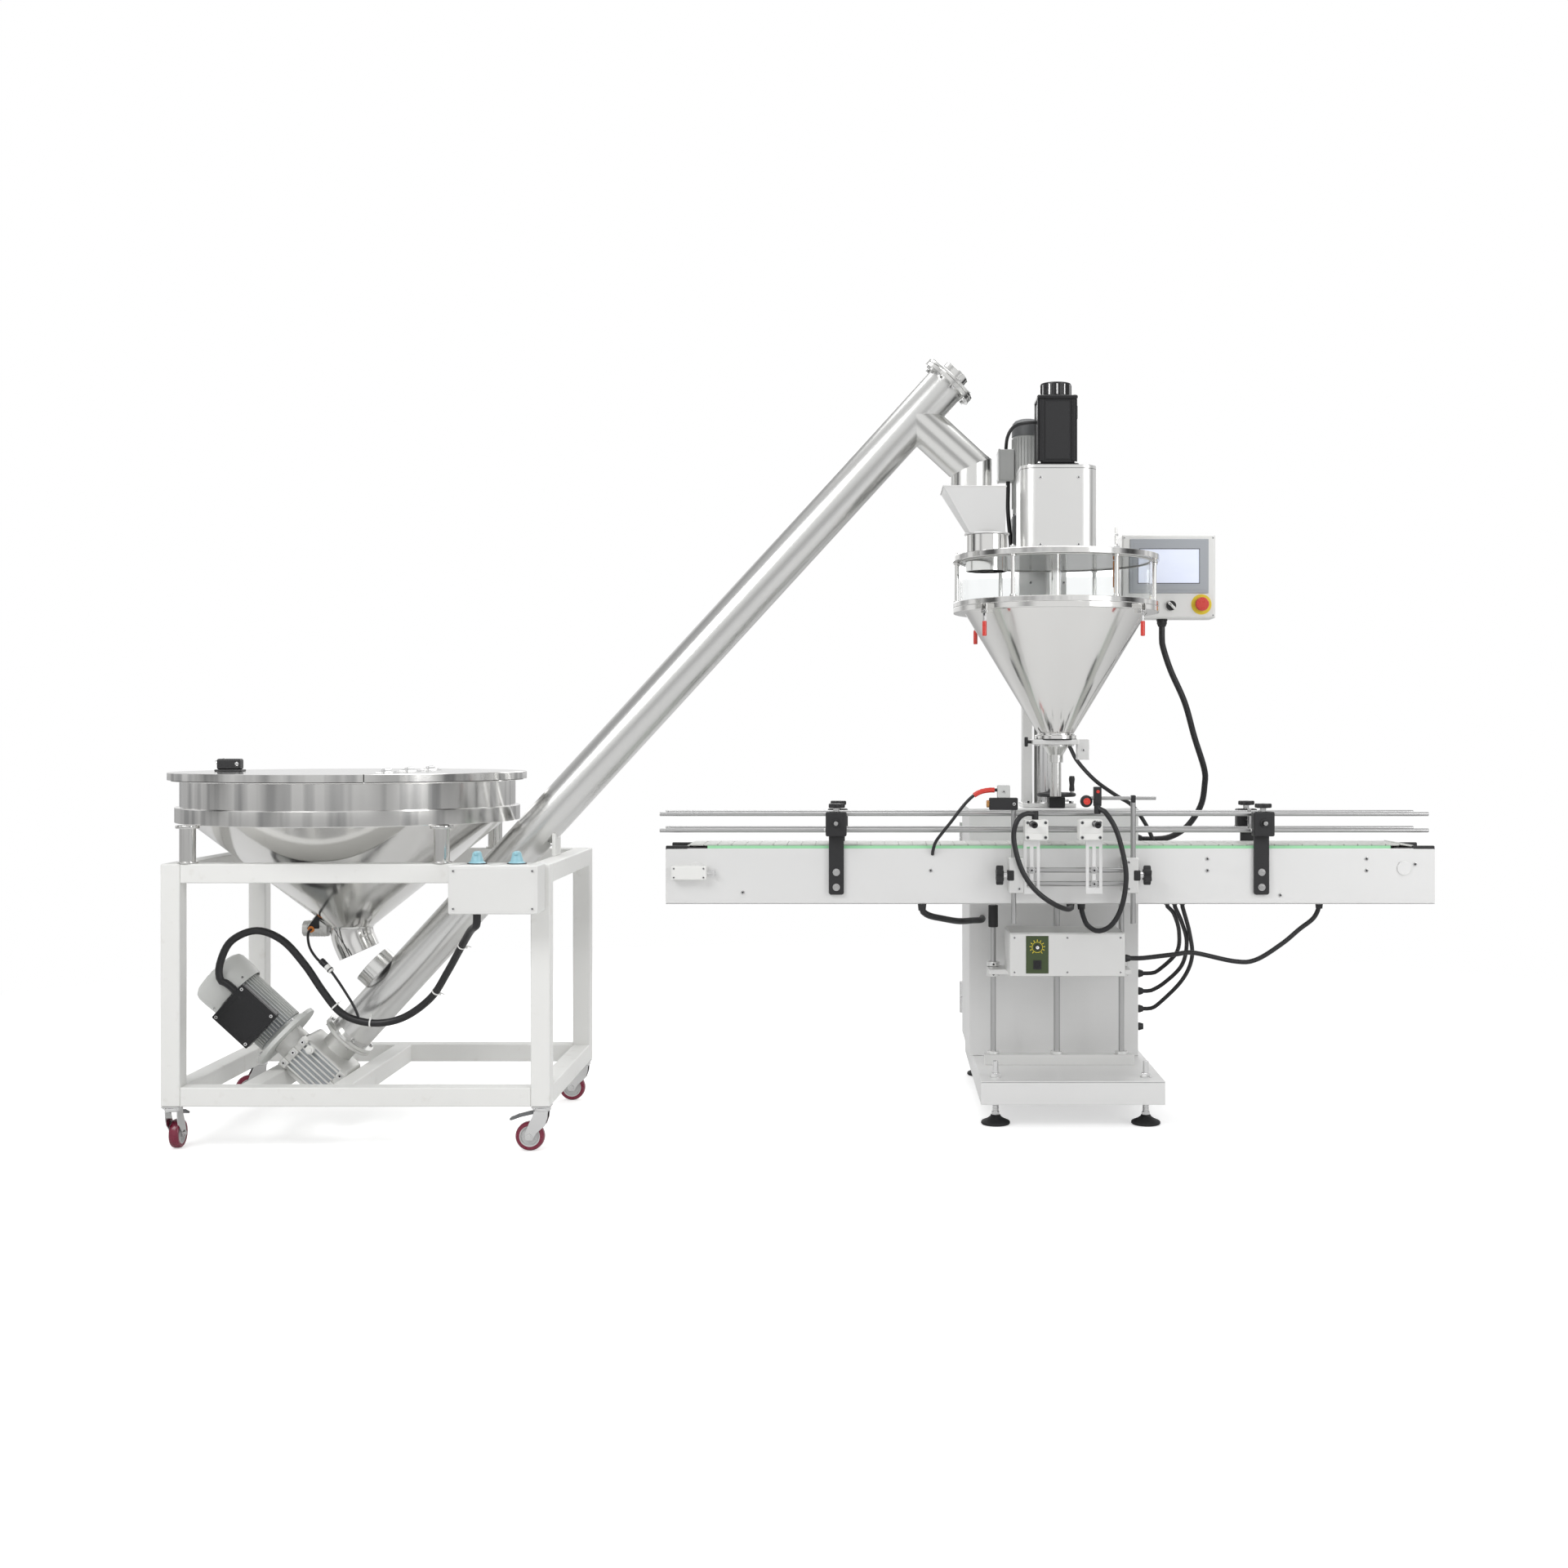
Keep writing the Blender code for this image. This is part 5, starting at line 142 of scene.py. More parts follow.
# Chrome rods given a darker grey than chrome: painted shade standing for the darker surroundings they would
# mirror
shaded_rail_steel = surface("shaded_rail_steel", (0.46, 0.46, 0.46), 1.0, 0.3, 60, bump=0, tone=0.02, spread=0)
tube_steel = surface("tube_steel", (0.76, 0.76, 0.745), 1.0, 0.2, 40, bump=0, tone=0.04, spread=0.015)
feeder_steel = surface("feeder_steel", (0.68, 0.68, 0.67), 1.0, 0.27, 40, bump=0, tone=0.02, spread=0)
sheet_steel = surface("sheet_steel", (0.79, 0.79, 0.785), 0.35, 0.42, 70, (0.05, 1, 1), 0.02, tone=0.02,
                      spread=0.04)
chrome = surface("chrome", (0.72, 0.72, 0.72), 1.0, 0.12, 30, bump=0, tone=0.04, spread=0.015)
cast_metal = surface("cast_metal", (0.74, 0.74, 0.72), 0.6, 0.5, 240, bump=0.35, depth=0.0008, tone=0.08)
motor_grey = surface("motor_grey", (0.6, 0.61, 0.6), 0.1, 0.5, 200, bump=0.25, tone=0.06)
cowl_grey = surface("cowl_grey", (0.7, 0.71, 0.69), 0.15, 0.45, 220, bump=0.2, tone=0.05)
dark_grey = surface("dark_grey", (0.16, 0.165, 0.17), 0.2, 0.48, 200, bump=0.2, tone=0.08)
black_enamel = surface("black_enamel", (0.016, 0.016, 0.018), 0.2, 0.34, 260, bump=0.2, tone=0.3)
black_plastic = surface("black_plastic", (0.018, 0.018, 0.02), 0.0, 0.46, 420, bump=0.3, depth=0.0003,
                        tone=0.3)
black_rubber = surface("black_rubber", (0.015, 0.015, 0.016), 0.0, 0.62, 300, bump=0.25, tone=0.25)
cable_black = surface("cable_black", (0.014, 0.014, 0.016), 0.0, 0.4, 500, bump=0.15, tone=0.25)
wine_tyre = surface("wine_tyre", (0.22, 0.01, 0.04), 0.0, 0.3, 90, bump=0.08, tone=0.2, Coat_Weight=0.3)
hub_plastic = surface("hub_plastic", (0.62, 0.62, 0.62), 0.3, 0.35, 160, bump=0.1, tone=0.08)
green_strip = surface("green_strip", (0.36, 0.76, 0.44), 0.0, 0.45, 160, (0.1, 1, 1), 0.15, tone=0.1)
slat_grey = surface("slat_grey", (0.66, 0.67, 0.64), 0.0, 0.48, 200, bump=0.2, tone=0.08,
                    worn=(0.56, 0.56, 0.54))
white_plastic = surface("white_plastic", (0.84, 0.84, 0.82), 0.0, 0.42, 240, bump=0.12, tone=0.03)
panel_white = surface("panel_white", (0.8, 0.8, 0.785), 0.1, 0.4, 200, bump=0.12, tone=0.03)
bezel_grey = surface("bezel_grey", (0.4, 0.42, 0.45), 0.0, 0.42, 260, bump=0.15, tone=0.06)
red_gloss = surface("red_gloss", (0.7, 0.045, 0.03), 0.0, 0.28, 120, bump=0.05, tone=0.08, Coat_Weight=0.4)
yellow_ring = surface("yellow_ring", (0.86, 0.68, 0.04), 0.0, 0.38, 160, bump=0.08, tone=0.06)
blue_boot = surface("blue_boot", (0.36, 0.66, 0.76), 0.0, 0.3, 80, bump=0.08, tone=0.12, Coat_Weight=0.2)
bronze_tip = surface("bronze_tip", (0.62, 0.34, 0.14), 0.9, 0.28, 120, bump=0.1, tone=0.15)
orange_cap = surface("orange_cap", (0.8, 0.25, 0.04), 0.0, 0.35, 120, bump=0.08, tone=0.08)
control_green = surface("control_green", (0.045, 0.07, 0.022), 0.0, 0.42, 180, bump=0.05, tone=0.08)
slot_dark = surface("slot_dark", (0.02, 0.02, 0.022), 0.3, 0.6, 200, bump=0.1, tone=0.2)


def clear_wall():
    material, tree, shader = nodes_of("clear_wall")
    haze = pattern(tree, 45, (1, 1, 0.3))
    tree.links.new(ranged(tree, haze, 0.01, 0.05), shader.inputs["Roughness"])
    shader.inputs["Base Color"].default_value = (0.97, 0.98, 0.98, 1)
    shader.inputs["Transmission Weight"].default_value = 1.0
    shader.inputs["IOR"].default_value = 1.12
    return material


def lit_screen():
    """A pale blue display with a lighter field, as a switched-on panel looks."""
    material, tree, shader = nodes_of("lit_screen")
    glow = mixed(tree, ranged(tree, pattern(tree, 5, (1, 1, 3)), 0, 1), (0.64, 0.68, 0.8),
                 (0.68, 0.72, 0.83))
    tree.links.new(glow, shader.inputs["Base Color"])
    tree.links.new(glow, shader.inputs["Emission Color"])
    shader.inputs["Emission Strength"].default_value = 0.35
    shader.inputs["Roughness"].default_value = 0.12
    return material


acrylic, screen_glow = clear_wall(), lit_screen()


# Shapes. Each part is a small bmesh made at the origin, and a Piece gathers parts into one mesh.

def block(size, edge=0.0015, steps=2):
    """A box round the origin with rounded edges."""
    part = bmesh.new()
    bmesh.ops.create_cube(part, size=1, matrix=Matrix.Diagonal((*size, 1)))
    edge = min(edge, min(size) * 0.45)
    if edge > 0:
        bmesh.ops.bevel(part, geom=part.edges[:], offset=edge, segments=steps, profile=0.5, affect="EDGES",
                        material=-1)
    return part


def drum(radius, length, top=None, sides=32, edge=0.0, caps=True):
    """A cylinder or cone that stands on the origin along +Z, its rims rounded by edge."""
    part = bmesh.new()
    top = radius if top is None else top
    bmesh.ops.create_cone(part, cap_ends=caps, segments=sides, radius1=radius, radius2=top, depth=length,
                          matrix=Matrix.Translation((0, 0, length / 2)))
    # Long rods get rings along them, so that no face is a sliver
    tall = [e for e in part.edges if abs(e.verts[0].co.z - e.verts[1].co.z) > 0.15]
    if tall:
        bmesh.ops.subdivide_edges(part, edges=tall, cuts=int(length / max(radius, 0.02)))
    if edge and caps:
        rims = [e for f in part.faces if len(f.verts) > 4 for e in f.edges]
        bmesh.ops.bevel(part, geom=list(set(rims)), offset=min(edge, length * 0.45), segments=2,
                        profile=0.5, affect="EDGES", material=-1)
    return part


def turned(profile, sides=64):
    """A closed outline of (radius, height) points spun round Z."""
    part = bmesh.new()
    dots = [part.verts.new((r, 0, z)) for r, z in profile]
    pairs = zip(dots, dots[1:] + dots[:1])
    lines = [part.edges.new(p) for p in pairs if not (p[0].co.x < 1e-7 and p[1].co.x < 1e-7)]
    bmesh.ops.spin(part, geom=dots + lines, cent=(0, 0, 0), axis=(0, 0, 1), angle=math.tau, steps=sides,
                   use_merge=True, use_duplicate=False)
    bmesh.ops.remove_doubles(part, verts=part.verts[:], dist=1e-6)
    bmesh.ops.recalc_face_normals(part, faces=part.faces[:])
    return part


def plate(outline, thick, edge=0.0):
    """A flat outline in XY, raised by thick."""
    part = bmesh.new()
    face = part.faces.new([part.verts.new((x, y, 0)) for x, y in outline])
    made = bmesh.ops.extrude_face_region(part, geom=[face])
    bmesh.ops.translate(part, vec=(0, 0, thick),
                        verts=[v for v in made["geom"] if isinstance(v, bmesh.types.BMVert)])
    bmesh.ops.recalc_face_normals(part, faces=part.faces[:])
    if edge:
        bmesh.ops.bevel(part, geom=part.edges[:], offset=edge, segments=2, profile=0.5, affect="EDGES",
                        material=-1)
    return part


def rounded(width, height, corner, steps=6):
    """The outline of a rectangle with round corners."""
    points = []
    for sx, sy, start in ((1, 1, 0), (-1, 1, 90), (-1, -1, 180), (1, -1, 270)):
        for k in range(steps + 1):
            a = math.radians(start + 90 * k / steps)
            points.append((sx * (width / 2 - corner) + corner * math.cos(a),
                           sy * (height / 2 - corner) + corner * math.sin(a)))
    return points


def ball(radius, sides):
    part = bmesh.new()
    bmesh.ops.create_uvsphere(part, u_segments=sides, v_segments=sides // 2, radius=radius)
    return part


def hoop(radius, height, thick, steps, sides):
    """A round bar bent into a ring round Z."""
    return turned([(radius + thick * math.cos(a), height + thick * math.sin(a)) for a in ring(steps, 0)],
                  sides)


def hollow(outer, inner, length, sides=48, edge=0.0006):
    """A ring or pipe round Z with eased rims."""
    return turned([(outer - edge, 0), (outer, edge), (outer, length - edge), (outer - edge, length),
                   (inner + edge, length), (inner, length - edge), (inner, edge), (inner + edge, 0)], sides)


def cut_tube(radius, start, end, sides, planes):
    """An open tube between two points, cut where each plane (point, outward normal) says."""
    part = drum(radius, (end - start).length, sides=sides, caps=False)
    part.transform(aim(start, end))
    for point, normal in planes:
        bmesh.ops.bisect_plane(part, geom=part.verts[:] + part.edges[:] + part.faces[:], plane_co=point,
                               plane_no=normal, clear_outer=True, dist=1e-6)
    return part


def helix_blade(inner, outer, pitch, turns, thick, steps=28):
    """A screw flight: a radial edge turned and raised round Z, then given its thickness."""
    part = bmesh.new()
    dots = [part.verts.new((inner, 0, 0)), part.verts.new((outer, 0, 0))]
    line = part.edges.new(dots)
    bmesh.ops.spin(part, geom=dots + [line], cent=(0, 0, 0), axis=(0, 0, 1), angle=math.tau * turns,
                   dvec=(0, 0, pitch / steps), steps=int(steps * turns), use_merge=False,
                   use_duplicate=False)
    bmesh.ops.recalc_face_normals(part, faces=part.faces[:])
    bmesh.ops.solidify(part, geom=part.faces[:], thickness=thick)
    bmesh.ops.recalc_face_normals(part, faces=part.faces[:])
    return part


def star_knob(radius, height, lobes=6):
    """A black clamping knob with rounded lobes and a domed top."""
    outline = []
    for k in range(lobes * 8):
        a = math.tau * k / (lobes * 8)
        outline.append(((radius * (0.84 + 0.16 * math.cos(lobes * a))) * math.cos(a),
                        (radius * (0.84 + 0.16 * math.cos(lobes * a))) * math.sin(a)))
    part = plate(outline, height)
    rims = [e for f in part.faces if len(f.verts) > 4 for e in f.edges]
    bmesh.ops.bevel(part, geom=list(set(rims)), offset=min(radius * 0.12, height * 0.3), segments=3,
                    profile=0.5, affect="EDGES", material=-1)
    return part


def aim(start, end):
    """A frame at start whose +Z points at end."""
    way = (Vector(end) - Vector(start)).normalized()
    return at(*start) @ way.to_track_quat("Z", "Y").to_matrix().to_4x4()


def facing(point, way, side=None):
    """A frame at point whose +Z is way, and whose +X is as near side as it can be."""
    z = Vector(way).normalized()
    x = Vector(side) if side is not None else (RIGHT if abs(z.x) < 0.9 else UP)
    x = (x - z * x.dot(z)).normalized()
    y = z.cross(x)
    return at(*point) @ axes(x, y, z)


def axes(x, y, z):
    """A turn that takes X, Y and Z to the three directions."""
    return Matrix((x, y, z)).transposed().to_4x4()


def at(x, y, z):
    return Matrix.Translation((x, y, z))


def turn_z(angle):
    return Matrix.Rotation(angle, 4, "Z")


def ring(count, start=0.5):
    """Angles evenly round a circle, the first one a share of a step on."""
    return [math.tau * (k + start) / count for k in range(count)]


def corners(across, deep=None):
    """The four corners of a rectangle round the origin, from its half sizes."""
    deep = across if deep is None else deep
    return [(sx * across, sy * deep) for sx in (-1, 1) for sy in (-1, 1)]


def round_slope(angle, radius):
    """The way from the inclined screw's axis to a point round it."""
    return Vector((0, math.cos(angle), 0)) * radius + ACROSS * (math.sin(angle) * radius)


def skin(frames, radius, sides):
    """An open round tube through frames whose +Z runs along it, with its rows of corners."""
    part = bmesh.new()
    rim = [Vector((radius * math.cos(a), radius * math.sin(a), 0)) for a in ring(sides, 0)]
    rows = [[part.verts.new(place @ dot) for dot in rim] for place in frames]
    for a, b in zip(rows, rows[1:]):
        for k in range(sides):
            part.faces.new((a[k], a[(k + 1) % sides], b[(k + 1) % sides], b[k]))
    return part, rows


def put_in_scene(obj, body, replaces):
    """Links the object, ties it to its body and hides the solids that it replaces."""
    stage_scene.collection.objects.link(obj)
    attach(obj, body)
    if replaces:
        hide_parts(*replaces)


class Piece:
    """One visible piece of the machine, gathered from parts."""

    def __init__(self, name, body, replaces=(), slot=None, crease=38):
        self.name, self.body, self.stands_for = name.replace(" ", "-"), body, replaces
        self.slot, self.crease = slot, crease
        self.shape, self.looks = bmesh.new(), []

    def add(self, part, look, place=None, walls=None):
        """Joins a part, whose upright faces may have a finish of their own."""
        for finish in (look, walls):
            if finish and finish not in self.looks:
                self.looks.append(finish)
        if walls:
            part.normal_update()
        for face in part.faces:
            face.material_index = self.looks.index(walls if walls and abs(face.normal.z) < 0.3 else look)
        if place is not None:
            part.transform(place)
        scratch = bpy.data.meshes.new("scratch")
        part.to_mesh(scratch)
        part.free()
        self.shape.from_mesh(scratch)
        bpy.data.meshes.remove(scratch)

    def box(self, one, other, look, edge=0.0015, steps=2):
        """A box between two opposite corners."""
        low, high = (Vector([pick(a, b) for a, b in zip(one, other)]) for pick in (min, max))
        self.add(block(high - low, edge, steps), look, at(*((low + high) / 2)))

    def rod(self, start, end, radius, look, top=None, sides=24, edge=0.0):
        start, end = Vector(start), Vector(end)
        self.add(drum(radius, (end - start).length, top, sides, edge), look, aim(start, end))

    def screw(self, point, way, radius=0.004, height=0.003, look=chrome):
        """A cap screw with its hexagon socket."""
        place = facing(point, way)
        self.add(drum(radius, height, sides=16, edge=height * 0.2), look, place)
        # The socket is a dark hexagon on the head: painted shade in place of a recess
        self.add(drum(radius * 0.5, height * 0.15, sides=6), slot_dark, place @ at(0, 0, height * 0.93))

    def nut(self, point, way, radius, height, look=chrome):
        self.add(drum(radius, height, sides=6, edge=height * 0.12), look, facing(point, way))

    def make(self):
        mesh = bpy.data.meshes.new(self.name)
        self.shape.to_mesh(mesh)
        self.shape.free()
        for look in self.looks:
            mesh.materials.append(look)
        mesh.shade_smooth()
        mesh.set_sharp_from_angle(angle=math.radians(self.crease))
        obj = bpy.data.objects.new(self.name, mesh)
        # Flat faces keep their own direction, and only the rounded edges blend
        even = obj.modifiers.new("even shading", "WEIGHTED_NORMAL")
        even.keep_sharp, even.weight = True, 80
        put_in_scene(obj, self.body, self.stands_for)


def cover(name, slot, crease=38, body=None):
    """The piece for the solid of its name, on that solid's own body unless one is given."""
    node = name.replace(" ", "_")
    return Piece(name, body or node, (node,), slot, crease)


# Camera, floor and lamps

# Brightness of what polished steel mirrors: by direction round the machine, and overhead by height.
# Each stop is a place from 0 to 1 and the grey there.
PANELS = ((0.0, 0.95), (0.1, 0.95), (0.135, 0.42), (0.17, 0.95), (0.22, 0.9), (0.255, 0.13), (0.285, 0.09),
          (0.315, 0.92), (0.36, 0.95), (0.395, 0.38), (0.425, 0.92), (0.5, 0.95), (0.575, 0.92),
          (0.605, 0.34), (0.64, 0.95), (0.69, 0.92), (0.72, 0.09), (0.75, 0.13), (0.785, 0.9), (0.84, 0.95),
          (0.87, 0.42), (0.9, 0.95), (1.0, 0.95))
OVERHEAD = ((0.0, 0.95), (0.45, 0.95), (0.55, 0.4), (0.66, 0.4), (0.78, 0.92), (1.0, 0.92))
WHITE = (1, 1, 1, 1)


def node(tree, kind):
    return tree.nodes.new("ShaderNode" + kind)


def maths(tree, operation, *values):
    """The result of one operation on sockets and numbers."""
    made = node(tree, "Math")
    made.operation = operation
    for socket, value in zip(made.inputs, values):
        if hasattr(value, "is_output"):
            tree.links.new(value, socket)
        else:
            socket.default_value = value
    return made.outputs[0]


def grey_ramp(tree, value, stops):
    made = node(tree, "ValToRGB")
    while len(made.color_ramp.elements) < len(stops):
        made.color_ramp.elements.new(0.5)
    for element, (spot, grey) in zip(made.color_ramp.elements, stops):
        element.position, element.color = spot, (grey, grey, grey, 1)
    tree.links.new(value, made.inputs["Fac"])
    return made.outputs["Color"]


def mixed_shaders(tree, *sources):
    """A share and the two shaders that it mixes."""
    made = node(tree, "MixShader")
    for socket, source in zip(made.inputs, sources):
        tree.links.new(source, socket)
    return made.outputs[0]


def place_camera():
    lens = bpy.data.cameras.new("camera")
    lens.sensor_width, lens.lens = 36.0, 41.25
    lens.shift_x, lens.shift_y = -0.0568, -0.0286
    lens.clip_end = 200
    camera = bpy.data.objects.new("camera", lens)
    camera.location = (0.187, -5.1145, 1.06)
    camera.rotation_euler = (math.radians(90), 0, 0)
    stage_scene.collection.objects.link(camera)
    stage_scene.camera = camera


def light_world():
    world = bpy.data.worlds.new("studio")
    stage_scene.world = world
    world.use_nodes = True
    tree = world.node_tree
    soft, seen, shine = tree.nodes["Background"], node(tree, "Background"), node(tree, "Background")
    for light, strength in ((soft, 0.54), (seen, 1.0), (shine, 0.95)):
        light.inputs["Color"].default_value = WHITE
        light.inputs["Strength"].default_value = strength
    # Bright panels with dark gaps between them, all round the machine
    place, parts = node(tree, "TexCoord"), node(tree, "SeparateXYZ")
    tree.links.new(place.outputs["Generated"], parts.inputs[0])
    turn = maths(tree, "ARCTAN2", parts.outputs["X"], maths(tree, "MULTIPLY", parts.outputs["Y"], -1))
    around = grey_ramp(tree, ranged(tree, turn, 0, 1, -math.pi, math.pi), PANELS)
    # Overhead the bands would meet in a point, so there the brightness goes by height alone
    dome = grey_ramp(tree, parts.outputs["Z"], OVERHEAD)
    above = ranged(tree, parts.outputs["Z"], 0, 1, 0.4, 0.55)
    tree.links.new(mixed(tree, above, around, dome), shine.inputs["Color"])
    rays = node(tree, "LightPath").outputs
    lit = mixed_shaders(tree, rays["Is Glossy Ray"], soft.outputs[0], shine.outputs[0])
    plain = maths(tree, "MAXIMUM", rays["Is Camera Ray"], rays["Is Transmission Ray"])
    tree.links.new(mixed_shaders(tree, plain, lit, seen.outputs[0]),
                   tree.nodes["World Output"].inputs["Surface"])


def place_lamps():
    for name, place, target, size, power in (("key", (-2.6, -3.4, 3.6), (0, 0, 0.9), (2.4, 1.8), 84),
                                             ("fill", (3.4, -3.0, 2.2), (0.4, 0, 0.9), (1.6, 2.4), 46),
                                             ("top", (0.2, 0.4, 4.4), (0, 0, 0), (4.0, 1.6), 52),
                                             ("rear", (0.5, 3.6, 2.6), (0, 0, 1.0), (3.0, 1.6), 30)):
        lamp = bpy.data.lights.new(name, "AREA")
        lamp.shape, lamp.size, lamp.size_y, lamp.energy = "RECTANGLE", size[0], size[1], power
        obj = bpy.data.objects.new(name, lamp)
        obj.matrix_world = aim(place, target) @ Matrix.Rotation(math.pi, 4, "X")
        stage_scene.collection.objects.link(obj)


def lay_floor():
    ground = bmesh.new()
    bmesh.ops.create_grid(ground, x_segments=1, y_segments=1, size=60)
    mesh = bpy.data.meshes.new("floor")
    ground.to_mesh(mesh)
    ground.free()
    material, tree, shader = nodes_of("floor_white")
    tint = mixed(tree, pattern(tree, 2.0), (0.8, 0.8, 0.8), (0.83, 0.83, 0.83))
    tree.links.new(tint, shader.inputs["Base Color"])
    shader.inputs["Roughness"].default_value = 0.9
    # Near the machine the floor takes its shadow, and further off it turns plain white
    place, far, lift = node(tree, "TexCoord"), node(tree, "VectorMath"), node(tree, "Emission")
    far.operation = "LENGTH"
    tree.links.new(place.outputs["Object"], far.inputs[0])
    share = ranged(tree, far.outputs["Value"], 0.0, 1.0, 2.2, 4.2)
    seen = node(tree, "LightPath").outputs["Is Camera Ray"]
    lift.inputs["Color"].default_value = WHITE
    shader.inputs["Emission Color"].default_value = WHITE
    tree.links.new(maths(tree, "MULTIPLY", seen, 0.5), shader.inputs["Emission Strength"])
    shade = mixed_shaders(tree, maths(tree, "MULTIPLY", seen, share), shader.outputs[0], lift.outputs[0])
    tree.links.new(shade, tree.nodes["Material Output"].inputs["Surface"])
    mesh.materials.append(material)
    floor = bpy.data.objects.new("floor", mesh)
    floor.location.z = -0.0005
    stage_scene.collection.objects.link(floor)


# Cords and cables

CABLE_STEP = 0.012


def smooth_path(route):
    """Evenly spaced points on a smooth curve through the route, which starts and ends straight."""
    route = [Vector(p) for p in route]
    fine = [route[0]]
    for p0, p1, p2, p3 in zip(route, route[1:], route[2:], route[3:]):
        for k in range(24):
            t = k / 24
            fine.append(0.5 * (2 * p1 + (p2 - p0) * t + (2 * p0 - 5 * p1 + 4 * p2 - p3) * t ** 2
                               + (3 * p1 - p0 - 3 * p2 + p3) * t ** 3))
    fine += [route[-2], route[-1]]
    lengths = [0.0]
    for a, b in zip(fine, fine[1:]):
        lengths.append(lengths[-1] + (b - a).length)
    count, points, k = max(3, round(lengths[-1] / CABLE_STEP)), [], 0
    for n in range(count + 1):
        want = lengths[-1] * n / count
        while k < len(fine) - 2 and lengths[k + 1] < want:
            k += 1
        share = (want - lengths[k]) / max(lengths[k + 1] - lengths[k], 1e-6)
        points.append(fine[k].lerp(fine[k + 1], min(share, 1)))
    return points


def free_cable(name, route, diameter, body=MACHINE, replaces=()):
    """A cable as a curve whose own line is its centreline."""
    points, name = smooth_path(route), name.replace(" ", "-")
    line = bpy.data.curves.new(name, "CURVE")
    line.dimensions = "3D"
    line.bevel_depth, line.bevel_resolution, line.use_fill_caps = diameter / 2, 5, True
    spline = line.splines.new("POLY")
    spline.points.add(len(points) - 1)
    for dot, p in zip(spline.points, points):
        dot.co = (*p, 1)
    line.materials.append(cable_black)
    obj = bpy.data.objects.new(name, line)
    put_in_scene(obj, body, replaces)
    return points


def gland(piece, tip, way, cable):
    """A cable gland whose tip is where the cable comes out: body nut, thread and a tapered strain relief."""
    way = Vector(way).normalized()
    base = Vector(tip) - way * 0.024
    for part, spot in ((drum(cable * 0.95, 0.009, sides=6, edge=0.0008), -0.001),
                       (drum(cable * 0.8, 0.006, sides=20), 0.007),
                       (drum(cable * 0.86, 0.012, top=cable * 0.6, sides=20, edge=0.0008), 0.012)):
        piece.add(part, black_plastic, facing(base + way * spot, way))


def tie(piece, point, way, radius):
    """A cable tie round a cable, with its square head and cut tail."""
    place = facing(point, way)
    piece.add(hollow(radius + 0.0014, radius - 0.0002, 0.0042, 28, 0.0003), white_plastic,
              place @ at(0, 0, -0.0021))
    piece.add(block((0.0052, 0.0062, 0.0052), 0.0006), white_plastic, place @ at(radius + 0.0028, 0, 0))
    piece.add(block((0.0125, 0.0022, 0.0012), 0.0002), white_plastic,
              place @ at(radius + 0.0085, 0.003, 0.0015))


def build_cords():
    path = free_cable("feeder motor cable", FEEDER_ROUTE, 0.02, replaces=("feeder_motor_cable",))
    clips = Piece("feeder cable ties", MACHINE)
    for share in (0.44, 0.53, 0.7, 0.86):
        k = int(share * (len(path) - 1))
        tie(clips, path[k], path[k + 1] - path[k], 0.01)
    clips.make()
    free_cable("panel cable", PANEL_ROUTE, 0.018, replaces=("panel_cable",))
    free_cable("shaker cable", SHAKER_ROUTE, 0.013, replaces=("shaker_cable",))


FEEDER_ROUTE = [(-1.5153, -0.3123, 0.3853), (-1.5374, -0.3123, 0.4055), (-1.5585, -0.312, 0.418),
                (-1.5585, -0.311, 0.462), (-1.5295, -0.31, 0.52), (-1.4625, -0.31, 0.548),
                (-1.3945, -0.306, 0.522), (-1.3355, -0.303, 0.457), (-1.2875, -0.3, 0.385),
                (-1.2425, -0.3, 0.33), (-1.1905, -0.3, 0.305), (-1.1255, -0.3, 0.3),
                (-1.0595, -0.305, 0.32), (-0.9895, -0.325, 0.373), (-0.9375, -0.37, 0.444),
                (-0.8875, -0.43, 0.517), (-0.8495, -0.49, 0.566), (-0.8195, -0.55, 0.5897),
                (-0.8195, -0.55, 0.6197)]
PANEL_ROUTE = [(1.0325, 0.145, 1.3887), (1.0325, 0.145, 1.3587), (1.0365, 0.15, 1.33),
               (1.0605, 0.16, 1.262), (1.1045, 0.175, 1.168), (1.1355, 0.19, 1.067), (1.1675, 0.205, 0.972),
               (1.1715, 0.22, 0.925), (1.1615, 0.23, 0.862), (1.1225, 0.24, 0.8), (1.0725, 0.247, 0.768),
               (1.0198, 0.25, 0.761), (0.9898, 0.25, 0.761)]
SHAKER_ROUTE = [(0.9018, -0.12, 0.451), (0.9318, -0.12, 0.451), (1.0275, -0.12, 0.462),
                (1.0785, -0.118, 0.466), (1.1925, -0.116, 0.442), (1.2525, -0.114, 0.446),
                (1.3255, -0.11, 0.49), (1.3755, -0.108, 0.531), (1.4145, -0.106, 0.561),
                (1.4305, -0.105, 0.5927), (1.4305, -0.105, 0.6077)]
CABLE_EXITS = (1.018, 1.04, 1.062)
LEFT_LOOP = [(0.6248, -0.262, 0.858), (0.6, -0.272, 0.86), (0.576, -0.278, 0.842), (0.5654, -0.28, 0.7982),
             (0.5764, -0.29, 0.7366), (0.5984, -0.295, 0.686), (0.6318, -0.293, 0.646),
             (0.675, -0.28, 0.6154), (0.71, -0.25, 0.6), (0.726, -0.215, 0.5985), (0.73, -0.185, 0.602),
             (0.73, -0.17, 0.6075)]
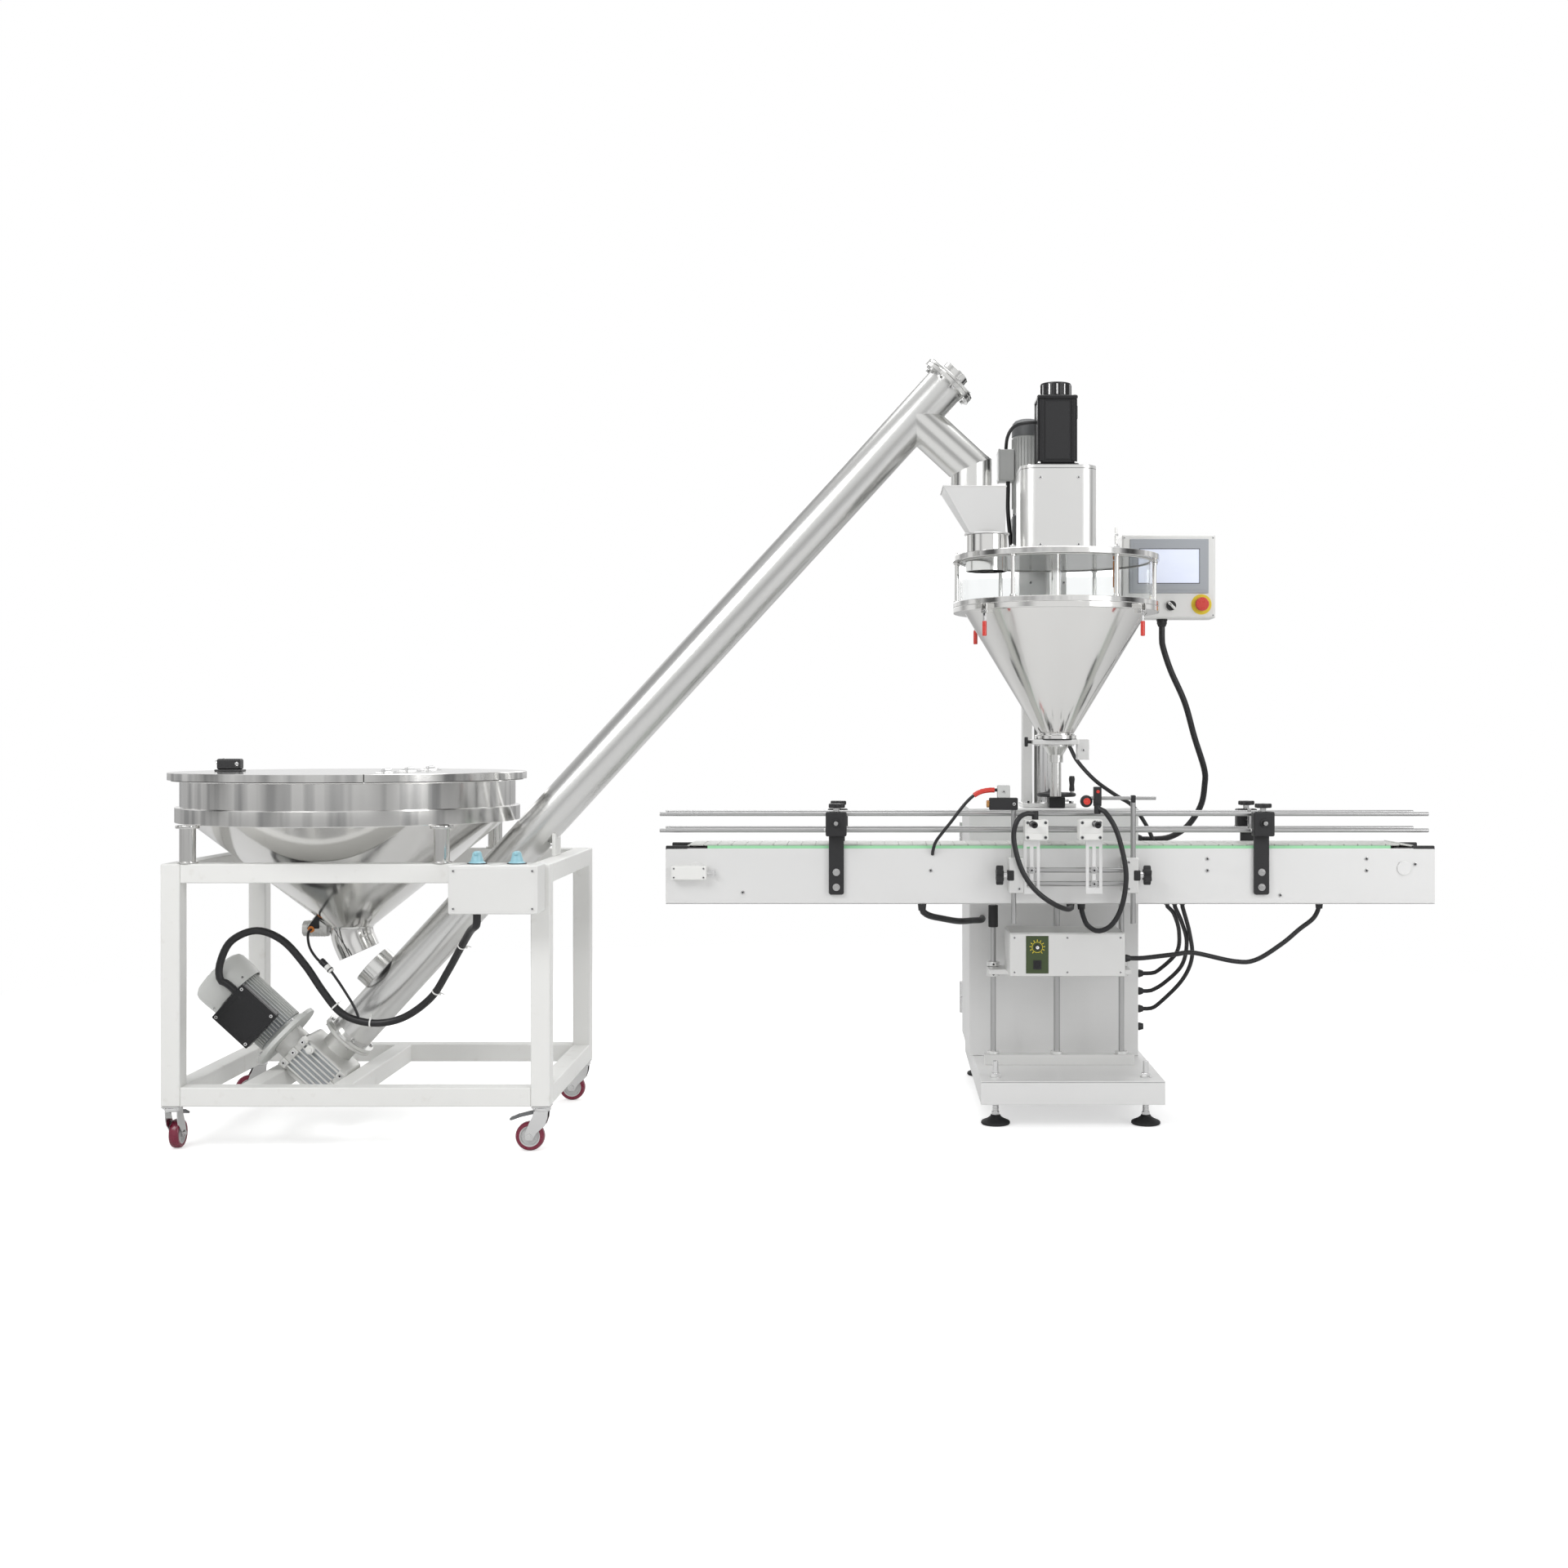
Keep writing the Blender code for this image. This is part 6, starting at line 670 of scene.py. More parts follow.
RIGHT_LOOP = [(0.7929, -0.262, 0.874), (0.81, -0.275, 0.866), (0.837, -0.285, 0.8232),
              (0.8557, -0.29, 0.763), (0.8667, -0.29, 0.6904), (0.8564, -0.285, 0.613),
              (0.8313, -0.27, 0.56), (0.798, -0.245, 0.54), (0.772, -0.215, 0.552), (0.762, -0.19, 0.578),
              (0.76, -0.175, 0.595), (0.76, -0.17, 0.6075)]


# Cart with its castors

def build_cart():
    cart = cover("cart frame", "frame_paint", body=MACHINE)
    left, right, front, back, low, high, tube = -1.642, -0.642, -0.505, 0.195, 0.116, 0.74, 0.05
    for x in (left, right - tube):
        for y in (front, back - tube):
            cart.box((x, y, low), (x + tube, y + tube, high), cart_paint, 0.004, 3)
            plate_x, plate_y = x + tube / 2, y + tube / 2
            cart.box((plate_x - 0.024, plate_y - 0.024, low - 0.004),
                     (plate_x + 0.024, plate_y + 0.024, low), chrome)
            cart.rod((plate_x, plate_y, low - 0.0125), (plate_x, plate_y, low), 0.006, chrome)
            for dx, dy in corners(0.018):
                cart.nut((plate_x + dx, plate_y + dy, low - 0.004), -UP, 0.0042, 0.003)
    for z in (low, high - tube):
        for y in (front, back - tube):
            cart.box((left + tube, y, z), (right - tube, y + tube, z + tube), cart_paint, 0.004, 3)
        for x in (left, right - tube):
            cart.box((x, front + tube, z), (x + tube, back - tube, z + tube), cart_paint, 0.004, 3)
    for x in (-1.4517, -1.2135):
        cart.box((x, front + tube, low), (x + tube, back - tube, low + tube), cart_paint, 0.004, 3)
    # Welds where the tubes meet
    for x in (left + tube, right - tube):
        for z in (low + 0.002, low + tube - 0.002, high - tube + 0.002, high - 0.002):
            for y in (front + 0.003, back - tube + 0.003):
                cart.rod((x, y, z), (x, y + tube - 0.006, z), 0.0016, cart_paint, sides=10)
    turn = Matrix(((ALONG.x, 0, ACROSS.x), (0, 1, 0), (ALONG.z, 0, ACROSS.z))).to_4x4()
    centre = TUBE_ZERO + ALONG * -1.14
    middle_y = FEED_Y - 0.031
    for spot, size in ((centre - ALONG * 0.0583, (0.01, 0.11, 0.166)),
                       (centre + ACROSS * 0.0883, (0.126, 0.11, 0.01))):
        cart.add(block(size, 0.0015), cart_paint, at(spot.x, middle_y, spot.z) @ turn)
    cart.box((-0.692, -0.195, high), (-0.682, -0.115, 0.802), cart_paint, 0.001)
    for y in (-0.186, -0.124):
        cart.screw((-0.692, y, 0.772), -RIGHT, 0.005, 0.005)
    cart.make()


def build_castor(place, x, y, degrees):
    """A swivel castor with a sheet fork, pedal and plastic tyre, made trailing to +X and then turned."""
    spin = at(x, y, 0) @ turn_z(math.radians(degrees))
    fork = cover("castor fork " + place, "bright_chrome")
    head, inner, hub, sheet = 0.1037, 0.014, 0.0375, 0.0028
    fork.add(drum(0.023, 0.008, sides=40, edge=0.001), chrome, spin @ at(0, 0, head))
    fork.add(hollow(0.0205, 0.015, 0.0035, 40), dark_grey, spin @ at(0, 0, head - 0.0008))
    cheek = [(-0.018, head), (-0.0165, 0.085), (-0.01, 0.066), (0.012, 0.046), (0.018, 0.0355),
             (0.0225, 0.028), (0.0375, 0.028), (0.042, 0.0355), (0.04, 0.05), (0.03, 0.074), (0.0215, 0.09),
             (0.018, head)]
    for side in (-1, 1):
        panel = plate(cheek, sheet, 0.0005)
        fork.add(panel, chrome, spin @ at(0, side * inner + (sheet if side > 0 else 0), 0) @ QUARTER)
        axle = spin @ facing((0.03, side * (inner + sheet), hub), (0, side, 0))
        fork.add(drum(0.0082, 0.003, sides=6, edge=0.0004), chrome, axle)
        fork.add(drum(0.005, 0.0045, sides=20, edge=0.0005), chrome, axle)
    fork.add(block((0.036, 0.0334, 0.003), 0.0006), chrome, spin @ at(0, 0, head - 0.0014))
    pedal = plate([(0.004, 0.1035), (0.004, 0.0985), (0.052, 0.0875), (0.076, 0.079), (0.082, 0.0795),
                   (0.081, 0.0845), (0.06, 0.0925), (0.03, 0.1005)], 0.022, 0.0012)
    fork.add(pedal, dark_grey, spin @ at(0, 0.011, 0) @ QUARTER)
    for k in range(4):
        fork.add(block((0.0022, 0.018, 0.0016), 0.0005), dark_grey,
                 spin @ at(0.06 + k * 0.0055, 0, 0.0928 - k * 0.0026))
    fork.make()
    wheel = cover("castor wheel " + place, "castor_tyre")
    lay = spin @ at(0.03, 0, hub) @ QUARTER
    wheel.add(turned([(0.0268, -0.0118), (0.0335, -0.012), (0.0362, -0.0095), (0.0375, -0.0045),
                      (0.0375, 0.0045), (0.0362, 0.0095), (0.0335, 0.012), (0.0268, 0.0118)], 72),
              wine_tyre, lay)
    wheel.add(turned([(0.006, -0.0115), (0.0095, -0.0115), (0.0105, -0.008), (0.022, -0.007),
                      (0.024, -0.0108), (0.027, -0.0112), (0.027, 0.0112), (0.024, 0.0108), (0.022, 0.007),
                      (0.0105, 0.008), (0.0095, 0.0115), (0.006, 0.0115)], 56), hub_plastic, lay)
    for a in ring(5, 0):
        for z in (-0.0079, 0.0079):
            wheel.add(block((0.0135, 0.003, 0.0016), 0.0005), hub_plastic,
                      lay @ turn_z(a) @ at(0.016, 0, z))
    wheel.make()


# Feed hopper with its lid

def build_feed_hopper():
    hopper = cover("feed hopper", "polished_steel", 30, body=MACHINE)
    centre = at(HOPPER.x, HOPPER.y, 0)
    hopper.add(turned([(0.4655, 0.951), (0.466, 0.9495), (0.4655, 0.948), (0.446, 0.9478), (0.444, 0.946),
                       (0.444, 0.8795), (0.456, 0.878), (0.4565, 0.8765), (0.4565, 0.8395), (0.456, 0.838),
                       (0.42, 0.838), (0.059, 0.545), (0.055, 0.545), (0.4165, 0.841), (0.441, 0.841),
                       (0.441, 0.951)], 128), mirror_steel, centre, drum_steel)
    # Weld bead at the foot of the cone and a ring at the outlet
    hopper.add(turned([(0.057, 0.542), (0.06, 0.5435), (0.0605, 0.5465), (0.0575, 0.548)], 64), tube_steel,
               centre)
    bend, bend_degrees, steps = 0.11, 24.0, 10
    line = []
    for k in range(steps + 1):
        a = math.radians(bend_degrees * k / steps)
        line.append((Vector((HOPPER.x + bend * (1 - math.cos(a)), FEED_Y, 0.545 - bend * math.sin(a))),
                     Vector((math.sin(a), 0, -math.cos(a)))))
    line.append((line[-1][0] + line[-1][1] * 0.03, line[-1][1]))
    elbow, _ = skin([facing(spot, way, (0, 1, 0)) for spot, way in line], 0.057, 48)
    bmesh.ops.recalc_face_normals(elbow, faces=elbow.faces[:])
    bmesh.ops.solidify(elbow, geom=elbow.faces[:], thickness=0.003)
    hopper.add(elbow, mirror_steel)
    for dx, dy in corners(0.3275):
        x, y = HOPPER.x + dx, FEED_Y + dy
        for low, high, radius, edge in ((0.7403, 0.831, 0.0205, 0.001), (0.83, 0.838, 0.03, 0.0015),
                                        (0.7403, 0.7445, 0.0265, 0.001)):
            hopper.rod((x, y, low), (x, y, high), radius, mirror_steel, sides=48, edge=edge)
    hopper.make()

    shaker = cover("hopper vibrator", "cast_aluminium", body=MACHINE)
    middle = Vector((HOPPER.x - 0.0965, FEED_Y, 0.5375))
    shaker.rod(middle + Vector((-0.0345, 0, 0)), middle + Vector((0.0345, 0, 0)), 0.0215, cast_metal,
               sides=40, edge=0.002)
    for k in range(7):
        spot = middle + Vector((-0.022 + k * 0.0072, 0, 0))
        shaker.add(hollow(0.0225, 0.0205, 0.0026, 40, 0.0004), cast_metal, facing(spot, RIGHT))
    for side in (-1, 1):
        for a in (45, 135, 225, 315):
            spot = middle + Vector((side * 0.0345, 0.015 * math.cos(math.radians(a)),
                                    0.015 * math.sin(math.radians(a))))
            shaker.screw(spot, (side, 0, 0), 0.0026, 0.002)
    out = Vector((-0.293, 0, -0.363)).normalized()
    shaker.add(block((0.044, 0.044, 0.012), 0.002), cast_metal,
               facing(middle - out * 0.022, out, (0, 1, 0)))
    rib = plate([(-0.02, 0.002), (0.014, 0.002), (0.014, 0.038), (0.006, 0.038)], 0.004, 0.0006)
    shaker.add(rib, black_enamel, at(middle.x, FEED_Y - 0.02, middle.z) @ QUARTER)
    shaker.rod(middle + Vector((-0.008, -0.0215, 0.0)), middle + Vector((-0.008, -0.0245, 0.0)), 0.009,
               orange_cap, sides=24)
    shaker.make()


def half_lid(side, gap_x):
    """One part of the round lid, cut along the hinge line: side -1 keeps what is left of it."""
    part = turned([(0.0, 0.9713), (0.4735, 0.9713), (0.475, 0.97), (0.475, 0.9513), (0.4725, 0.9513),
                   (0.4725, 0.9683), (0.0, 0.9683)], 128)
    part.transform(at(HOPPER.x, FEED_Y, 0))
    cut = bmesh.ops.bisect_plane(part, geom=part.verts[:] + part.edges[:] + part.faces[:],
                                 plane_co=(gap_x, 0, 0), plane_no=(-side, 0, 0), clear_outer=True,
                                 dist=1e-6)
    bmesh.ops.holes_fill(part, edges=[e for e in cut["geom_cut"] if isinstance(e, bmesh.types.BMEdge)],
                         sides=0)
    return part


def build_lid():
    hinge_x, pin_z = -1.0925, 0.9776
    fixed = Piece("lid fixed part", MACHINE, ("hopper_lid",), "polished_steel", 30)
    fixed.add(half_lid(1, hinge_x + 0.0012), mirror_steel, None, drum_steel)
    flap = Piece("lid hinged flap", "hopper_lid_flap", ("hopper_lid_flap",), "polished_steel", 30)
    flap.add(half_lid(-1, hinge_x - 0.0012), mirror_steel, None, drum_steel)
    for k in (-1, 0, 1):
        y = FEED_Y + k * 0.235
        for piece, low, high in ((fixed, y - 0.031, y - 0.0105), (fixed, y + 0.0105, y + 0.031),
                                 (flap, y - 0.01, y + 0.01)):
            piece.rod((hinge_x, low, pin_z), (hinge_x, high, pin_z), 0.006, chrome, sides=28, edge=0.0006)
        fixed.rod((hinge_x, y - 0.0335, pin_z), (hinge_x, y + 0.0335, pin_z), 0.0024, chrome, sides=16,
                  edge=0.0005)
        for piece, side, half, apart in ((fixed, 1, 0.031, 0.022), (flap, -1, 0.01, 0.0055)):
            piece.box((hinge_x, y - half, 0.9713), (hinge_x + side * 0.026, y + half, 0.9738), chrome,
                      0.0006)
            for dy in (-apart, apart):
                piece.screw((hinge_x + side * 0.018, y + dy, 0.9736), UP, 0.003, 0.0016)
    # Lift handle over the flap and the latch at its front edge
    flap.box((-1.625, FEED_Y - 0.02, 0.9713), (-1.55, FEED_Y + 0.02, 0.9765), black_plastic, 0.002)
    flap.box((-1.62, FEED_Y - 0.016, 0.9765), (-1.555, FEED_Y + 0.016, 1.006), black_plastic, 0.005, 3)
    flap.rod((-1.6275, FEED_Y, 0.996), (-1.6, FEED_Y, 1.004), 0.005, chrome, sides=20, edge=0.001)
    flap.rod((-1.564, FEED_Y - 0.0165, 0.992), (-1.564, FEED_Y + 0.0165, 0.992), 0.0055, chrome, sides=20,
             edge=0.001)
    flap.box((-1.7275, FEED_Y - 0.018, 0.956), (-1.7235, FEED_Y + 0.018, 0.97), chrome, 0.001)
    for dy in (-0.012, 0.012):
        flap.screw((-1.727, FEED_Y + dy, 0.963), -RIGHT, 0.0026, 0.0014)
    fixed.make()
    flap.make()


# Screw feeder with its drive

def build_screw_tube():
    tube = cover("screw tube", "satin_steel", 30, body=MACHINE)
    foot, head = TUBE_ZERO + ALONG * -1.04, TUBE_ZERO + ALONG * 1.406
    tube.rod(foot + ALONG * 0.004, head - ALONG * 0.004, 0.057, feeder_steel, sides=96)
    for spot, wide, thick in ((-1.04, 0.074, 0.01), (1.394, 0.0805, 0.012)):
        tube.add(hollow(wide, 0.056, thick, 80, 0.0012), tube_steel,
                 facing(TUBE_ZERO + ALONG * spot, ALONG))
    for k, a in enumerate(ring(8)):
        tube.nut(TUBE_ZERO + ALONG * 1.394 + round_slope(a, 0.069), -ALONG, 0.0062, 0.0052)
        if k % 2:
            tube.nut(TUBE_ZERO + ALONG * -1.03 + round_slope(a, 0.0655), ALONG, 0.0055, 0.0048)
    # Inlet branch under the hopper's elbow
    inlet = TUBE_ZERO + ALONG * -0.853
    tube.add(hollow(0.057, 0.054, 0.038, 96, 0.0006), tube_steel, facing(inlet - ACROSS * 0.05, -ACROSS))
    # Outlet spout, which hangs straight down in the funnel
    branch = TUBE_ZERO + ALONG * 1.271
    spout_x, end_z = 0.457, 1.733
    knee = Vector((spout_x, FEED_Y, branch.z + (spout_x - branch.x) * ACROSS.z / ACROSS.x))
    mitre = ACROSS - UP
    tube.add(cut_tube(0.057, branch, knee + ACROSS * 0.08, 96, [(knee, mitre)]), tube_steel)
    tube.add(cut_tube(0.057, knee + UP * 0.08, Vector((spout_x, FEED_Y, end_z)), 96, [(knee, -mitre)]),
             tube_steel)
    tube.add(hollow(0.0585, 0.054, 0.005, 96, 0.001), tube_steel, at(spout_x, FEED_Y, end_z))
    tube.make()

    cap = cover("tube end cap", "satin_steel", 30, body=MACHINE)
    cap.add(hollow(0.0805, 0.02, 0.008, 80, 0.0012), tube_steel, facing(TUBE_ZERO + ALONG * 1.4063, ALONG))
    cap.add(turned([(0.0, 0.0), (0.0395, 0.0), (0.0395, 0.026), (0.0375, 0.028), (0.0, 0.028)], 64),
            tube_steel, facing(TUBE_ZERO + ALONG * 1.4143, ALONG))
    for a in ring(8):
        cap.nut(TUBE_ZERO + ALONG * 1.4143 + round_slope(a, 0.069), ALONG, 0.0062, 0.0052)
    for a in ring(4):
        cap.screw(TUBE_ZERO + ALONG * 1.4423 + round_slope(a, 0.027), ALONG, 0.0035)
    cap.make()

    screw = cover("feed screw", "satin_steel", 30)
    start, end = TUBE_ZERO + ALONG * -1.157, TUBE_ZERO + ALONG * 1.404
    screw.rod(start, end, 0.016, tube_steel, sides=40, edge=0.001)
    screw.add(helix_blade(0.015, 0.05, 0.15, 15, 0.004, 24), tube_steel,
              facing(TUBE_ZERO + ALONG * -0.99, ALONG))
    screw.make()


def build_feed_drive():
    """Worm gearbox, flange motor with ribs, fan cowl and terminal box."""
    # Across the slope is the drive's long way, and u runs back from the gearbox to the fan.
    centre = TUBE_ZERO + ALONG * -1.14
    back = -ACROSS
    gear = cover("feeder gearbox", "cast_aluminium", body=MACHINE)
    lay = axes(ACROSS, -FRONT, -ALONG)
    frame_at = lambda a, y, u: centre + ACROSS * a + Vector((0, y - FEED_Y, 0)) + ALONG * u
    middle = frame_at(0, FEED_Y - 0.031, 0)
    gear.add(block((0.158, 0.154, 0.098), 0.012, 4), cast_metal, at(*middle) @ lay)
    # Raised frame with square lugs and ribs on the face that shows
    face_y = FEED_Y - 0.112
    for a in (-0.068, 0.068):
        gear.add(block((0.02, 0.014, 0.1), 0.003), cast_metal, at(*frame_at(a, face_y + 0.006, 0)) @ lay)
        for u in (-0.038, 0.0, 0.038):
            gear.add(block((0.022, 0.026, 0.022), 0.003), cast_metal,
                     at(*frame_at(a, face_y + 0.004, u)) @ lay)
            gear.screw(frame_at(a, face_y - 0.009, u), FRONT, 0.006, 0.003)
    # A darker grey plate between the ribs: painted shade in the recess of the one-colour casting
    gear.add(block((0.118, 0.0016, 0.088), 0.0005), bezel_grey, at(*frame_at(0, face_y + 0.0036, 0)) @ lay)
    for k in range(7):
        gear.add(block((0.118, 0.016, 0.0056), 0.0018), cast_metal,
                 at(*frame_at(0, face_y + 0.004, -0.039 + k * 0.013)) @ lay)
    gear.add(drum(0.012, 0.014, sides=28, edge=0.002), white_plastic,
             facing(frame_at(-0.04, face_y, 0.036), FRONT))
    gear.nut(frame_at(-0.04, face_y - 0.014, 0.036), FRONT, 0.007, 0.004, white_plastic)
    # Output flange towards the tube
    gear.rod(frame_at(0, FEED_Y, 0.047), frame_at(0, FEED_Y, 0.092), 0.045, cast_metal, sides=64)
    gear.add(hollow(0.074, 0.02, 0.009, 72, 0.0015), cast_metal, facing(frame_at(0, FEED_Y, 0.0905), ALONG))
    for a in ring(8)[1::2]:
        gear.nut(centre + ALONG * 0.0905 + round_slope(a, 0.0655), -ALONG, 0.0055, 0.0048)
    # Neck and flange towards the motor
    axis_y = -0.218
    spot = lambda w, u=0.0: Vector((centre.x, axis_y, centre.z)) + back * w + ALONG * u
    gear.rod(spot(0.078), spot(0.113), 0.045, cast_metal, sides=56)
    gear.make()

    motor = cover("feeder motor", "cast_aluminium", body=MACHINE)
    motor.add(hollow(0.098, 0.03, 0.0125, 96, 0.0015), cowl_grey, facing(spot(0.1133), back))
    motor.rod(spot(0.1255), spot(0.138), 0.08, cowl_grey, top=0.064, sides=72)
    # The core between the fins is darker grey than the fins: painted shade in the gaps
    motor.rod(spot(0.136), spot(0.3115), 0.0605, bezel_grey, sides=72, edge=0.002)
    for a in ring(44, 0):
        place = facing(spot(0.224), back, ALONG) @ turn_z(a)
        motor.add(block((0.0088, 0.0024, 0.168), 0.0007), cowl_grey, place @ at(0.064, 0, 0))
    for a in ring(4):
        place = facing(spot(0.1133), back, ALONG) @ at(0.085 * math.cos(a), 0.085 * math.sin(a), 0.0125)
        motor.add(drum(0.0072, 0.0062, sides=6, edge=0.0006), chrome, place)
        motor.add(drum(0.009, 0.0014, sides=24), chrome, place)
    motor.make()

    cowl = cover("motor fan cowl", "cast_aluminium", 34, body=MACHINE)
    cowl.add(turned([(0.0745, 0.0), (0.0765, 0.0), (0.0782, 0.003), (0.08, 0.042), (0.0798, 0.064),
                     (0.076, 0.0745), (0.066, 0.0815), (0.048, 0.085), (0.02, 0.0872), (0.0, 0.0875),
                     (0.0, 0.0845), (0.0475, 0.082), (0.065, 0.0785), (0.074, 0.072), (0.0765, 0.063),
                     (0.0765, 0.042)], 96), cowl_grey, facing(spot(0.2935), back))
    # The grille's openings are dark blocks on the cowl: painted shade where the slots would be
    for reach, count, high in ((0.02, 6, 0.0866), (0.032, 10, 0.0858), (0.044, 14, 0.0848)):
        for a in ring(count, 0):
            place = facing(spot(0.2935 + high), back, ALONG) @ turn_z(a)
            cowl.add(block((0.0042, 0.012, 0.0012), 0.0008), slot_dark, place @ at(reach, 0, 0.0004))
    for a in ring(4):
        point = facing(spot(0.306), back, ALONG) @ Vector((0.0785 * math.cos(a), 0.0785 * math.sin(a), 0))
        cowl.screw(point, point - spot(0.306), 0.0036)
    cowl.make()

    box = cover("terminal box", "black_plastic", body=MACHINE)
    place = at(-1.4893, -0.3123, 0.32075) @ lay
    box.add(block((0.124, 0.026, 0.119), 0.005, 3), black_enamel, place @ at(0, 0.0035, 0))
    box.add(block((0.125, 0.009, 0.12), 0.003, 3), black_enamel, place @ at(0, -0.0125, 0))
    box.add(block((0.098, 0.003, 0.093), 0.0012, 2), black_enamel, place @ at(0, -0.016, 0))
    for a, u in corners(0.053, 0.0505):
        box.screw(place @ Vector((a, -0.0165, u)), FRONT, 0.0046, 0.003)
    box.rod(place @ Vector((0, 0.01, 0)), spot(0.2105) + Vector((0, -0.062, 0)), 0.03, black_enamel,
            sides=32)
    gland(box, FEEDER_ROUTE[0], Vector(FEEDER_ROUTE[1]) - Vector(FEEDER_ROUTE[0]), 0.02)
    box.make()


SWITCHES = (("left", -0.81775), ("right", -0.71675))


def build_feeder_switches():
    box = cover("feeder switch box", "satin_steel", body=MACHINE)
    low, high = Vector((-0.8805, -0.6053, 0.62)), Vector((-0.654, -0.5053, 0.743))
    box.box(low, high, panel_white, 0.004, 3)
    box.box((low.x + 0.007, low.y - 0.0006, low.z + 0.007), (high.x - 0.007, low.y + 0.002, high.z - 0.007),
            panel_white, 0.001)
    for x in (low.x + 0.014, high.x - 0.014):
        for z in (low.z + 0.014, high.z - 0.014):
            box.screw((x, low.y - 0.0004, z), FRONT, 0.0034)
    for _, x in SWITCHES:
        box.box((x - 0.038, -0.5933, 0.7405), (x + 0.038, -0.5173, 0.744), upright_steel, 0.001)
    for x in (-0.86, -0.674):
        box.box((x - 0.012, -0.5075, 0.64), (x + 0.012, -0.5048, 0.735), upright_steel, 0.0005)
    gland(box, FEEDER_ROUTE[-1], Vector(FEEDER_ROUTE[-2]) - Vector(FEEDER_ROUTE[-1]), 0.02)
    box.make()
    for side, x in SWITCHES:
        boot = cover("feeder switch " + side, "blue_boot")
        boot.add(turned([(0.0, 0.0), (0.0215, 0.0), (0.022, 0.002), (0.0195, 0.0045), (0.0165, 0.006),
                         (0.015, 0.0125), (0.0128, 0.019), (0.0118, 0.0255), (0.0095, 0.0295),
                         (0.0, 0.0305)], 48), blue_boot, at(x, -0.5553, 0.7441))
        boot.add(block((0.0125, 0.034, 0.0105), 0.0042, 4), blue_boot, at(x, -0.5553, 0.771))
        boot.add(hollow(0.025, 0.015, 0.003, 44, 0.0008), black_plastic, at(x, -0.5553, 0.7431))
        boot.make()


# Filling head

def fill(x=0.0, y=0.0, z=0.0):
    return Vector((FILL.x + x, FILL.y + y, z))


def round_about(angle, radius, z):
    return fill(radius * math.cos(angle), radius * math.sin(angle), z)


CLAMPS = (("front_left", 225), ("front_right", 315), ("rear_left", 135), ("rear_right", 65))


def clamp_place(degrees):
    """A clamp's outward and sideways directions and its pivot."""
    a = math.radians(degrees)
    out = Vector((math.cos(a), math.sin(a), 0))
    return out, UP.cross(out), round_about(a, 0.296, 1.402)


